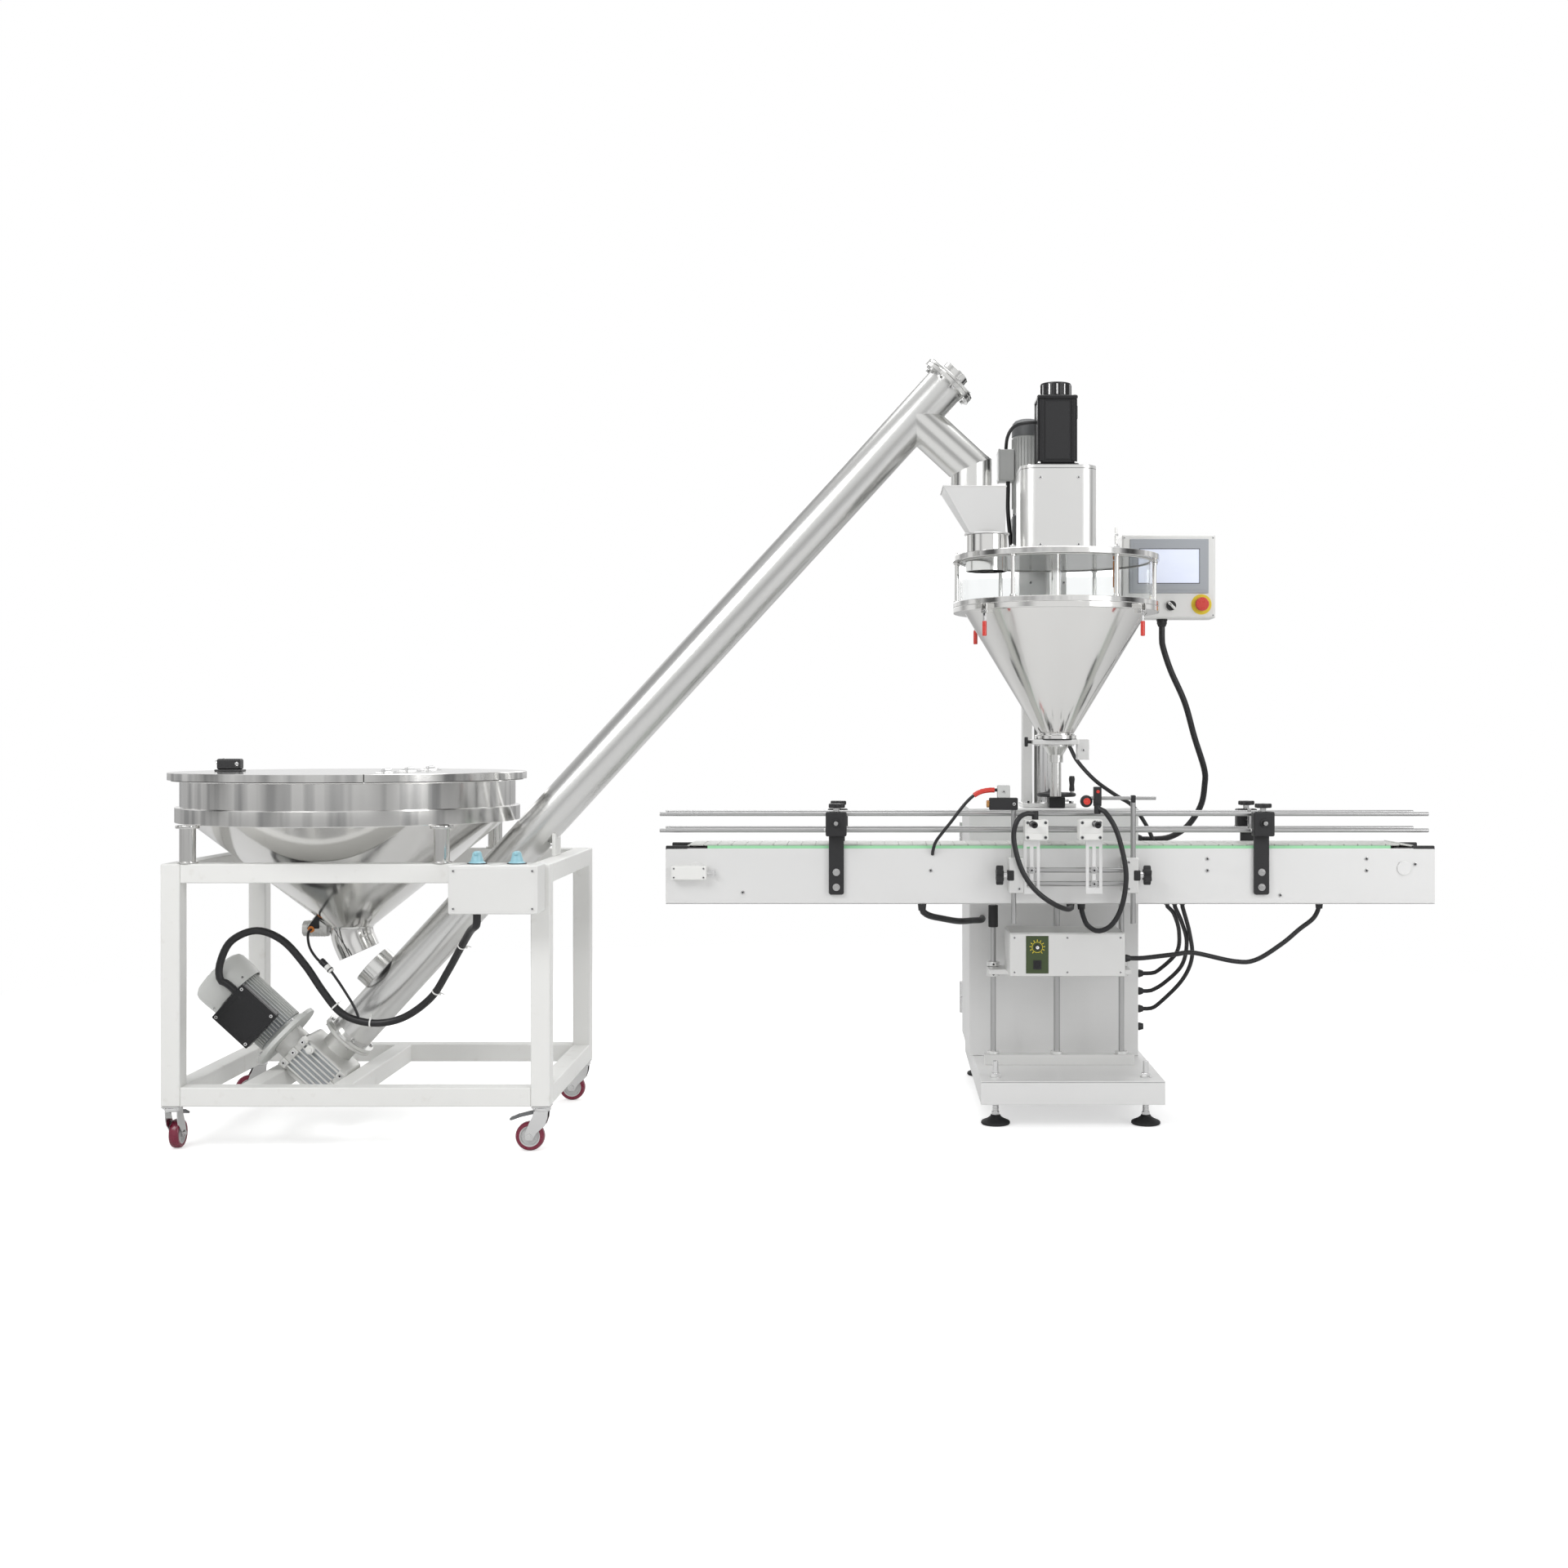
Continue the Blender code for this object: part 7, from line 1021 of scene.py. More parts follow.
def build_filler_hopper():
    centre = at(FILL.x, FILL.y, 0)
    top = cover("hopper top plate", "polished_steel", 30, body=HEAD)
    top.add(turned([(0.0165, 1.5522), (0.286, 1.5522), (0.287, 1.5535), (0.287, 1.5668), (0.286, 1.568),
                    (0.0165, 1.568)], 128), mirror_steel, centre, drum_steel)
    top.add(turned([(0.25, 1.425), (0.2843, 1.425), (0.285, 1.4262), (0.285, 1.4378), (0.2843, 1.439),
                    (0.25, 1.439)], 128), mirror_steel, centre, drum_steel)
    top.add(hollow(0.057, 0.054, 0.1, 80, 0.0008), mirror_steel, at(0.501, FEED_Y, 1.522))
    top.add(hollow(0.064, 0.056, 0.006, 80, 0.0012), mirror_steel, at(0.501, FEED_Y, 1.568))
    for a in ring(6, 0):
        spot = round_about(a, 0.2755, 0)
        top.rod(spot + UP * 1.438, spot + UP * 1.553, 0.006, mirror_steel, sides=28)
        top.rod(spot + UP * 1.439, spot + UP * 1.445, 0.009, mirror_steel, sides=28, edge=0.001)
        top.rod(spot + UP * 1.546, spot + UP * 1.5522, 0.009, mirror_steel, sides=28, edge=0.001)
        top.nut(spot + UP * 1.568, UP, 0.009, 0.0062)
        top.rod(spot + UP * 1.574, spot + UP * 1.5785, 0.004, mirror_steel, top=0.0028, sides=20)
    stud = fill(0.16, -0.06)
    top.rod(stud + UP * 1.48, stud + UP * 1.643, 0.0035, tube_steel, sides=20, edge=0.0006)
    for z in (1.568, 1.62):
        top.nut(stud + UP * z, UP, 0.007, 0.0055)
    top.rod(stud + UP * 1.478, stud + UP * 1.551, 0.0085, orange_cap, sides=32, edge=0.0015)
    top.rod(stud + UP * 1.462, stud + UP * 1.479, 0.006, bronze_tip, sides=28, edge=0.0022)
    for k in range(5):
        top.add(hollow(0.0038, 0.003, 0.0008, 20, 0.0002), tube_steel, at(stud.x, stud.y, 1.58 + k * 0.004))
    top.make()

    window = cover("hopper window", "clear_window", 30, body=HEAD)
    window.add(turned([(0.2675, 1.5517), (0.2675, 1.4393), (0.2625, 1.4393), (0.2625, 1.5517)], 160),
               acrylic, centre)
    window.make()

    seals = Piece("window seals", HEAD, (), None, 30)
    for z in (1.4392, 1.5496):
        seals.add(hollow(0.269, 0.261, 0.0022, 128, 0.0005), white_plastic, at(FILL.x, FILL.y, z))
    seals.make()

    cone = cover("hopper cone", "polished_steel", 30, body=HEAD)
    cone.add(turned([(0.2843, 1.4246), (0.285, 1.4236), (0.285, 1.4112), (0.2843, 1.41), (0.252, 1.41),
                     (0.05, 1.076), (0.05, 1.0712), (0.0572, 1.071), (0.058, 1.07), (0.058, 1.061),
                     (0.0572, 1.06), (0.0475, 1.06), (0.0475, 1.076), (0.2495, 1.4125), (0.2495, 1.4246)],
                    144), mirror_steel, centre)
    seam_start, seam_end = Vector((0.0507, 0, 1.0765)), Vector((0.2513, 0, 1.4085))
    seam_turn = centre @ turn_z(math.radians(-24))
    cone.rod(seam_turn @ seam_start, seam_turn @ seam_end, 0.0006, tube_steel, sides=8)
    for _, degrees in CLAMPS:
        out, side, pivot = clamp_place(degrees)
        for sign in (-1, 1):
            cone.add(block((0.023, 0.028, 0.0036), 0.0012), mirror_steel,
                     at(*(pivot + side * (sign * 0.009) - out * 0.0055 + UP * 0.008))
                     @ axes(out, UP, out.cross(UP)))
        cone.rod(pivot - side * 0.0115, pivot + side * 0.0115, 0.003, chrome, sides=20, edge=0.0006)
        # Clamp hook over the ring's edge
        cone.add(block((0.01, 0.012, 0.006), 0.0012), mirror_steel,
                 at(*(pivot - out * 0.012 + UP * 0.018)) @ axes(out, side, UP))
    cone.make()
    for place, degrees in CLAMPS:
        out, side, pivot = clamp_place(degrees)
        lever = cover("clamp lever " + place, "red_plastic")
        lever.rod(pivot - side * 0.0064, pivot + side * 0.0064, 0.0058, chrome, sides=28, edge=0.0008)
        tip = pivot + out * 0.003 - UP * 0.06
        lever.add(block((0.01, 0.0026, 0.036), 0.001), chrome,
                  at(*(pivot + out * 0.003 - UP * 0.018)) @ axes(side, out, UP))
        lever.rod(tip + UP * 0.034, tip - UP * 0.0065, 0.006, red_gloss, sides=28, edge=0.0022)
        lever.rod(pivot + out * 0.003 - UP * 0.012, tip + UP * 0.03, 0.003, chrome, sides=20)
        lever.make()


def build_inlet_funnel():
    funnel = cover("inlet funnel", "satin_steel", 30, body=HEAD)
    right, y = 0.5485, FEED_Y
    mouth = [(0.3765, y - 0.086), (right, y - 0.086), (right, y + 0.086), (0.3765, y + 0.086)]
    throat = [(right - 0.098, y - 0.049), (right, y - 0.049), (right, y + 0.049),
              (right - 0.098, y + 0.049)]
    part = bmesh.new()
    low = [part.verts.new((a, b, 1.6243)) for a, b in throat]
    high = [part.verts.new((a, b, 1.7476)) for a, b in mouth]
    for k in range(4):
        part.faces.new((low[k], low[(k + 1) % 4], high[(k + 1) % 4], high[k]))
    bmesh.ops.recalc_face_normals(part, faces=part.faces[:])
    bmesh.ops.solidify(part, geom=part.faces[:], thickness=0.0026)
    bmesh.ops.bevel(part, geom=[e for e in part.edges if abs(e.verts[0].co.z - e.verts[1].co.z) > 0.05],
                    offset=0.003, segments=3, profile=0.5, affect="EDGES", material=-1)
    funnel.add(part, sheet_steel)
    funnel.add(hollow(0.0625, 0.056, 0.0052, 80, 0.0012), sheet_steel, at(0.501, FEED_Y, 1.6225))
    for k, (a, b) in enumerate(mouth):
        c, d = mouth[(k + 1) % 4]
        funnel.rod((a, b, 1.7466), (c, d, 1.7466), 0.0016, sheet_steel, sides=10)
    funnel.make()


def build_nozzle():
    nozzle = cover("nozzle tube", "satin_steel", 30, body=HEAD)
    centre = at(FILL.x, FILL.y, 0)
    nozzle.add(turned([(0.035, 1.0595), (0.035, 1.04), (0.0345, 1.0388), (0.0207, 1.017), (0.0205, 1.016),
                       (0.0205, 0.9958), (0.0198, 0.995), (0.0155, 0.9948), (0.0155, 0.901),
                       (0.0151, 0.9006), (0.0138, 0.9006), (0.0138, 1.017), (0.0325, 1.0425),
                       (0.0325, 1.0595)], 72), tube_steel, centre)
    nozzle.box((0.628, -0.15, 1.045), (0.756, -0.06, 1.0597), upright_steel, 0.002)
    for x in (0.644, 0.74):
        for y in (-0.134, -0.076):
            nozzle.screw((x, y, 1.045), -UP, 0.0045, 0.004)
    nozzle.box((0.7545, -0.125, 1.003), (0.788, -0.085, 1.0597), upright_steel, 0.0015)
    nozzle.screw((0.771, -0.125, 1.03), FRONT, 0.0045, 0.004)
    nozzle.rod((0.612, -0.105, 1.0524), (0.63, -0.105, 1.0524), 0.0045, black_plastic, sides=20)
    nozzle.rod((0.614, -0.105, 1.039), (0.614, -0.105, 1.066), 0.005, black_plastic, sides=24, edge=0.002)
    nozzle.add(hollow(0.06, 0.048, 0.0034, 80, 0.001), black_rubber, at(FILL.x, FILL.y, 1.0574))
    for a in ring(6):
        nozzle.nut(round_about(a, 0.0535, 1.071), UP, 0.0042, 0.0034)
    nozzle.make()


def build_drive():
    housing = cover("drive housing", "satin_steel", 30, body=HEAD)
    housing.add(plate(rounded(0.21, 0.21, 0.045, 12), 0.232), upright_steel, at(FILL.x, FILL.y, 1.5683))
    housing.add(plate(rounded(0.21, 0.21, 0.045, 12), 0.0095, 0.001), upright_steel,
                at(FILL.x, FILL.y, 1.801))
    housing.add(plate(rounded(0.2096, 0.2096, 0.0448, 12), 0.0022), slot_dark, at(FILL.x, FILL.y, 1.7995))
    for dx, dy in corners(0.08):
        housing.screw(fill(dx, dy, 1.8105), UP, 0.0052, 0.0042)
    for z in (1.592, 1.775):
        for x in (-0.052, 0.052):
            housing.screw(fill(x, -0.105, z), FRONT, 0.0042, 0.0024)
    housing.make()

    servo = cover("servo motor", "black_metal", body=HEAD)
    servo.add(block((0.118, 0.118, 0.01), 0.003, 3), black_enamel, at(FILL.x, FILL.y, 1.8158))
    servo.add(block((0.102, 0.102, 0.19), 0.006, 3), black_enamel, at(FILL.x, FILL.y, 1.915))
    for turn in range(4):
        way = at(*fill()) @ turn_z(math.pi / 2 * turn)
        for k in (-1, 1):
            servo.add(block((0.009, 0.006, 0.172), 0.0015), black_enamel, way @ at(k * 0.044, 0.052, 1.913))
        servo.add(block((0.066, 0.003, 0.16), 0.0012), black_plastic, way @ at(0, 0.0512, 1.913))
    servo.add(block((0.112, 0.112, 0.011), 0.004, 3), black_enamel, at(FILL.x, FILL.y, 2.0045))
    servo.add(turned([(0.0, 2.009), (0.043, 2.009), (0.043, 2.047), (0.0415, 2.049), (0.0, 2.049)], 72),
              black_enamel, at(FILL.x, FILL.y, 0))
    for k, a in enumerate(ring(36, 0)):
        place = at(*fill()) @ turn_z(a)
        servo.add(block((0.0026, 0.0036, 0.03), 0.0008), black_enamel if k % 3 else chrome,
                  place @ at(0.0428, 0, 2.029))
    for half, z, radius, height in ((0.0505, 1.8208, 0.0048, 0.005), (0.049, 2.01, 0.0036, 0.003)):
        for dx, dy in corners(half):
            servo.screw(fill(dx, dy, z), UP, radius, height)
    servo.box((0.74, -0.13, 1.948), (0.7548, -0.08, 1.986), black_enamel, 0.002)
    servo.make()

    motor = cover("agitator motor", "grey_motor", body=HEAD)
    x, y = -0.065, 0.16
    motor.add(block((0.09, 0.09, 0.131), 0.006, 3), dark_grey, at(*fill(x, y, 1.6342)))
    motor.add(block((0.086, 0.06, 0.045), 0.004), dark_grey, at(*fill(x, 0.135, 1.5911)))
    motor.rod(fill(x, y, 1.699), fill(x, y, 1.706), 0.045, chrome, sides=56, edge=0.001)
    motor.rod(fill(x, y, 1.705), fill(x, y, 1.94), 0.0425, motor_grey, sides=64, edge=0.001)
    for a in ring(30, 0):
        motor.add(block((0.005, 0.0018, 0.2), 0.0006), motor_grey,
                  at(*fill(x, y, 1.822)) @ turn_z(a) @ at(0.0428, 0, 0))
    motor.add(turned([(0.0, 1.978), (0.024, 1.9778), (0.036, 1.973), (0.043, 1.965), (0.045, 1.956),
                      (0.045, 1.928), (0.0, 1.928)], 64), dark_grey, at(*fill(x, y)))
    motor.add(block((0.046, 0.06, 0.09), 0.004, 3), motor_grey, at(*fill(x - 0.062, y, 1.845)))
    motor.add(block((0.006, 0.062, 0.092), 0.002), motor_grey, at(*fill(x - 0.0825, y, 1.845)))
    for dy, dz in corners(0.024, 0.038):
        motor.screw(fill(x - 0.0855, y + dy, 1.845 + dz), -RIGHT, 0.0032, 0.001)
    for dx, dy in corners(0.036):
        motor.screw(fill(x + dx, y + dy, 1.6995), UP, 0.0042, 0.0038)
    motor.make()


def build_augers():
    auger = cover("filling auger", "polished_steel", 30)
    auger.rod(fill(z=0.904), fill(z=1.8695), 0.006, tube_steel, sides=28, edge=0.0006)
    auger.add(helix_blade(0.0055, 0.0126, 0.024, 6, 0.0016, 28), tube_steel, at(*fill(z=0.906)))
    auger.add(helix_blade(0.0055, 0.029, 0.045, 3, 0.0018, 32), tube_steel, at(*fill(z=1.092)))
    auger.rod(fill(z=1.746), fill(z=1.79), 0.0175, dark_grey, sides=40, edge=0.001)
    auger.make()
    stir = cover("agitator", "polished_steel", 30)
    centre = at(FILL.x, FILL.y, 0)
    stir.add(turned([(0.016, 1.6395), (0.016, 1.3305), (0.0155, 1.33), (0.009, 1.33), (0.009, 1.6395)], 56),
             mirror_steel, centre)
    stir.add(turned([(0.0318, 1.6395), (0.0318, 1.6245), (0.014, 1.6245), (0.014, 1.6395)], 64), cast_metal,
             centre)
    # The stirring bars keep the same gap to the cone's inside all the way down
    wall, gap, bar = 0.0025, 0.012, 0.005
    slope = (0.252 - 0.05) / (1.41 - 1.076)
    reach = lambda z: 0.05 - wall + slope * (z - 1.076) - gap - bar
    for sign in (-1, 1):
        route = [fill(sign * 0.011, 0, 1.346), fill(sign * reach(1.4), 0, 1.4),
                 fill(sign * reach(1.17), 0, 1.17), fill(sign * 0.04, 0, 1.17)]
        for a, b in zip(route, route[1:]):
            stir.rod(a, b, bar, mirror_steel, sides=24)
            stir.add(ball(bar, 20), mirror_steel, at(*b))
    stir.add(hoop(0.04, 1.17, 0.0045, 12, 56), mirror_steel, centre)
    stir.make()


# Column, carriage and control panel

def build_column():
    column = cover("head column", "bright_chrome", 32, body=MACHINE)
    x, y = 0.7145, 0.335
    column.box((x - 0.08, y - 0.08, 0.8563), (x + 0.08, y + 0.08, 0.8683), upright_steel, 0.0015)
    for dx, dy in corners(0.066):
        column.nut((x + dx, y + dy, 0.8683), UP, 0.008, 0.007)
    column.rod((x, y, 0.868), (x, y, 1.6635), 0.04, chrome, sides=80)
    column.box((0.6385, 0.31, 0.868), (0.6685, 0.36, 1.6635), upright_steel, 0.002)
    column.box((0.6385, 0.31, 1.663), (0.7545, 0.36, 1.677), upright_steel, 0.002)
    column.box((0.7085, 0.208, 0.8563), (0.7565, 0.257, 0.8883), black_enamel, 0.003, 3)
    column.rod((0.7325, 0.232, 0.888), (0.7325, 0.232, 0.902), 0.005, chrome, sides=20)
    column.rod((x, y, 1.368), (x, y, 1.402), 0.052, upright_steel, sides=64, edge=0.002)
    for z in (1.377, 1.393):
        column.screw((x, y - 0.052, z), FRONT, 0.0048, 0.004)
    # Panel arm: a bent tube with its flange
    arm = smooth_bend([(x + 0.04, y, 1.385), (0.8, y, 1.385), (0.955, y, 1.447), (1.0425, y, 1.447),
                       (1.0425, y, 1.52), (1.0425, 0.192, 1.52)], 0.034)
    sweep(column, arm, 0.017, upright_steel, 40)
    column.rod((1.0425, 0.1903, 1.52), (1.0425, 0.1983, 1.52), 0.04, upright_steel, sides=56, edge=0.001)
    for a in ring(4):
        column.screw((1.0425 + 0.03 * math.cos(a), 0.1983, 1.52 + 0.03 * math.sin(a)), -FRONT, 0.004)
    column.make()

    wheel = cover("handwheel", "black_plastic")
    hub = at(0.7325, 0.232, 0)
    wheel.add(hoop(0.052, 0.895, 0.006, 16, 80), black_plastic, hub)
    wheel.add(turned([(0.0055, 0.8888), (0.014, 0.8888), (0.014, 0.906), (0.0125, 0.9085),
                      (0.0055, 0.9088)], 40), black_plastic, hub)
    centre = Vector((0.7325, 0.232, 0.895))
    for a in ring(3, 0.4):
        way = Vector((math.cos(a), math.sin(a), 0))
        wheel.rod(centre + way * 0.012, centre + way * 0.049, 0.0052, black_plastic, top=0.0042, sides=20)
    wheel.rod((0.7785, 0.232, 0.896), (0.7785, 0.232, 0.906), 0.005, chrome, sides=20)
    wheel.add(turned([(0.0, 0.905), (0.007, 0.905), (0.0082, 0.909), (0.007, 0.924), (0.009, 0.942),
                      (0.0072, 0.95), (0.0, 0.9508)], 32), black_plastic, at(0.7785, 0.232, 0))
    wheel.make()

    carriage = cover("head carriage", "satin_steel", body=HEAD)
    for low, high in (((0.6245, 0.281, 1.47), (0.7685, 0.2945, 1.59)),
                      ((0.6245, 0.3755, 1.47), (0.7685, 0.389, 1.59)),
                      ((0.6245, 0.2945, 1.47), (0.6378, 0.3755, 1.59)),
                      ((0.7552, 0.2945, 1.47), (0.7685, 0.3755, 1.59))):
        carriage.box(low, high, upright_steel, 0.002)
    carriage.add(hollow(0.0515, 0.0403, 0.015, 64, 0.0015), upright_steel, at(x, y, 1.59))
    carriage.box((0.6785, 0.03, 1.5683), (0.7505, 0.283, 1.5885), upright_steel, 0.002)
    web = plate([(0.192, 1.5695), (0.283, 1.5695), (0.283, 1.47)], 0.02, 0.0015)
    carriage.add(web, upright_steel, Matrix(((0, 0, 1, 0.7045), (1, 0, 0, 0), (0, 1, 0, 0), (0, 0, 0, 1))))
    for sx in (-0.022, 0.022):
        for sy in (0.052, 0.1, 0.148):
            carriage.screw((x + sx, sy, 1.5885), UP, 0.005, 0.0045)
    for z in (1.49, 1.53, 1.57):
        for dx in (-0.055, 0.045):
            carriage.screw((x + dx, 0.281, z), FRONT, 0.0045, 0.004)
    carriage.make()


BEND_STEPS = 8


def smooth_bend(route, radius):
    """A route of straight runs whose corners are rounded."""
    route = [Vector(p) for p in route]
    points = [route[0]]
    for a, b, c in zip(route, route[1:], route[2:]):
        into, out = (b - a).normalized(), (c - b).normalized()
        angle = into.angle(out)
        back = radius * math.tan(angle / 2)
        start, end = b - into * back, b + out * back
        centre = start + (out - into * into.dot(out)).normalized() * radius
        for k in range(BEND_STEPS + 1):
            way = (start - centre).normalized().slerp((end - centre).normalized(), k / BEND_STEPS)
            points.append(centre + way * radius)
    points.append(route[-1])
    return points


def sweep(piece, points, radius, look, sides):
    """A round bar along the points, with its ends closed."""
    frames, side = [], None
    for k, spot in enumerate(points):
        before, after = points[max(k - 1, 0)], points[min(k + 1, len(points) - 1)]
        way = (after - before).normalized()
        if side is None:
            side = way.orthogonal().normalized()
        side = (side - way * side.dot(way)).normalized()
        frames.append(facing(spot, way, side))
    part, rows = skin(frames, radius, sides)
    part.faces.new(rows[0][::-1])
    part.faces.new(rows[-1])
    bmesh.ops.recalc_face_normals(part, faces=part.faces[:])
    piece.add(part, look)


def build_panel():
    panel = Piece("control panel", MACHINE, ("panel_box",), "satin_steel")
    panel.box((0.9095, 0.1, 1.411), (1.1805, 0.19, 1.6525), panel_white, 0.004, 3)
    panel.box((0.9135, 0.0985, 1.415), (1.1765, 0.102, 1.6485), panel_white, 0.001)
    gland(panel, (1.0325, 0.145, 1.3889), -UP, 0.018)
    panel.rod((1.0511, 0.099, 1.447), (1.0511, 0.097, 1.447), 0.0172, white_plastic, sides=48, edge=0.0006)
    panel.rod((1.1395, 0.099, 1.451), (1.1395, 0.097, 1.451), 0.0295, yellow_ring, sides=64, edge=0.0005)
    for x in (0.9165, 1.1735):
        for z in (1.4195, 1.644):
            panel.screw((x, 0.0988, z), FRONT, 0.0032, 0.0014)
    panel.make()

    screen = cover("touch screen", "screen_bezel", body=MACHINE)
    low, high = Vector((0.9324, 0.0937, 1.4829)), Vector((1.1602, 0.0997, 1.6407))
    screen.box((low.x, low.y + 0.0012, low.z), (high.x, high.y, high.z), bezel_grey, 0.0035, 3)
    screen.box((low.x + 0.01, low.y + 0.0004, low.z + 0.01), (high.x - 0.01, low.y + 0.003, high.z - 0.01),
               bezel_grey, 0.001)
    glass_low = Vector((low.x + 0.028, low.y, low.z + 0.03))
    glass_high = Vector((high.x - 0.028, low.y + 0.002, high.z - 0.03))
    screen.box(glass_low, glass_high, screen_glow, 0.0004)
    screen.box((glass_low.x - 0.002, low.y + 0.0002, glass_low.z - 0.002),
               (glass_high.x + 0.002, low.y + 0.0022, glass_high.z + 0.002), slot_dark, 0.0003)
    screen.make()

    knob = cover("selector switch", "black_plastic")
    face = Vector((1.0511, 0.0967, 1.447))
    knob.rod(face, face + FRONT * 0.008, 0.014, black_plastic, sides=44, edge=0.001)
    grip = block((0.007, 0.027, 0.0105), 0.002, 3)
    knob.add(grip, white_plastic, facing(face + FRONT * 0.0125, FRONT) @ turn_z(math.radians(45)))
    knob.add(block((0.0016, 0.008, 0.0006), 0.0002), black_plastic,
             facing(face + FRONT * 0.0178, FRONT) @ turn_z(math.radians(45)) @ at(0, 0.0055, 0))
    knob.make()
    stop = cover("emergency stop", "red_plastic")
    front = Vector((1.1395, 0.0907, 1.451))
    stop.rod(front + Vector((0, 0.024, 0)), front, 0.0098, red_gloss, sides=40)
    stop.add(turned([(0.0, 0.0), (0.0165, 0.0), (0.0192, 0.0018), (0.02, 0.0045), (0.0196, 0.0085),
                     (0.0172, 0.0112), (0.0, 0.012)], 64), red_gloss, facing(front, FRONT))
    stop.make()


# Slat conveyor with its guide rails

ROLLER_LEFT, ROLLER_RIGHT, ROLLER_Z = -0.2965, 1.642, 0.7062
BRACKETS = (0.0865, 1.25)
GUIDE_Z = 0.8315


def build_conveyor():
    belt = cover("conveyor frame", "satin_steel", body=MACHINE)
    left, right, front, back = -0.3815, 1.727, -0.19, -0.02
    for y in (front, back - 0.004):
        belt.box((left, y, 0.608), (right, y + 0.004, 0.757), sheet_steel, 0.0012)
    for y in (front, back - 0.006):
        belt.box((left + 0.002, y, 0.7555), (right - 0.002, y + 0.006, 0.7605), sheet_steel, 0.001)
        belt.box((-0.267, y, 0.7595), (1.606, y + 0.006, 0.768), green_strip, 0.0014)
    for y, way in ((front, -1), (back, 1)):
        # Folded lip and the bolts along the side plate
        belt.box((left, y, 0.608), (right, y - way * 0.018, 0.611), sheet_steel, 0.0008)
        for x, z in ((1.103, 0.732), (1.103, 0.7), (1.539, 0.732), (1.539, 0.7), (1.631, 0.7175),
                     (1.672, 0.7175), (1.3025, 0.6325), (0.345, 0.7), (-0.17, 0.64)):
            belt.screw((x, y, z), (0, way, 0), 0.0052, 0.003)
        for x in (ROLLER_LEFT, ROLLER_RIGHT):
            belt.add(drum(0.019, 0.0044, sides=44, edge=0.0012), sheet_steel,
                     facing((x, y, ROLLER_Z), (0, way, 0)))
    for x in (left, right):
        side = 1 if x < 0 else -1
        for y in (front, back - 0.01):
            belt.box((x, y, 0.756), (x + side * 0.062, y + 0.01, 0.768), black_plastic, 0.003, 3)
            belt.box((x, y + 0.0005, 0.759), (x + side * 0.112, y + 0.0095, 0.764), black_plastic, 0.0015)
        belt.box((x, front + 0.004, 0.7), (x + side * 0.012, back - 0.004, 0.756), sheet_steel, 0.0015)
    for k in range(4):
        x = ROLLER_LEFT + (ROLLER_RIGHT - ROLLER_LEFT) * (k + 0.5) / 4
        belt.rod((x, front + 0.002, ROLLER_Z), (x, back - 0.002, ROLLER_Z), 0.01, chrome, sides=28)
        belt.screw((x, back, ROLLER_Z), -FRONT, 0.0075, 0.0046)
    belt.rod((1.387, front + 0.002, ROLLER_Z), (1.387, back - 0.002, ROLLER_Z), 0.045, dark_grey, sides=56)
    for x in (1.387, -0.1855):
        belt.box((x - 0.098, front + 0.002, 0.608), (x + 0.098, back - 0.002, 0.612), sheet_steel, 0.0006)
    belt.box((-0.364, -0.22, 0.676), (-0.267, -0.188, 0.714), white_plastic, 0.0035, 3)
    belt.rod((-0.269, -0.204, 0.695), (-0.243, -0.204, 0.695), 0.005, chrome, sides=20, edge=0.001)
    belt.nut((-0.252, -0.204, 0.695), RIGHT, 0.0085, 0.0065)
    for x in (-0.356, -0.275):
        for z in (0.683, 0.707):
            belt.screw((x, -0.22, z), FRONT, 0.003, 0.0012)
    for x in (0.5815, 0.8815):
        belt.box((x - 0.03, back - 0.002, 0.616), (x + 0.03, 0.1722, 0.676), upright_steel, 0.002)
    for x in BRACKETS:
        for y, way in ((front, -1), (back, 1)):
            arm = plate(rounded(0.041, 0.173, 0.006), 0.0115, 0.0012)
            belt.add(arm, black_plastic, facing((x, y, 0.721), (0, way, 0), RIGHT))
            for z in (0.655, 0.696):
                # Dark plates stand for the slots through the arm: painted shade in place of openings
                belt.add(plate(rounded(0.01, 0.022, 0.0049), 0.0012), slot_dark,
                         facing((x, y + way * 0.0113, z), (0, way, 0), RIGHT))
                belt.nut((x, y + way * 0.012, z), (0, way, 0), 0.0072, 0.005)
                belt.rod((x, y + way * 0.0118, z), (x, y + way * 0.013, z), 0.01, chrome, sides=28)
            belt.box((x - 0.0285, y + way * 0.006, 0.7955), (x + 0.0285, y + way * 0.046, 0.8625),
                     black_plastic, 0.0045, 3)
            belt.add(hollow(0.012, 0.0066, 0.003, 36, 0.0006), black_plastic,
                     facing((x, y + way * 0.046, GUIDE_Z), (0, way, 0)))
            mid = y + way * 0.026
            belt.rod((x, mid, 0.862), (x, mid, 0.8745), 0.0085, chrome, sides=28)
            belt.add(star_knob(0.024, 0.012, 5), black_plastic, at(x, mid, 0.8725))
            belt.rod((x - 0.0285, mid, 0.812), (x - 0.033, mid, 0.812), 0.0045, chrome, sides=20,
                     edge=0.0006)
    belt.make()

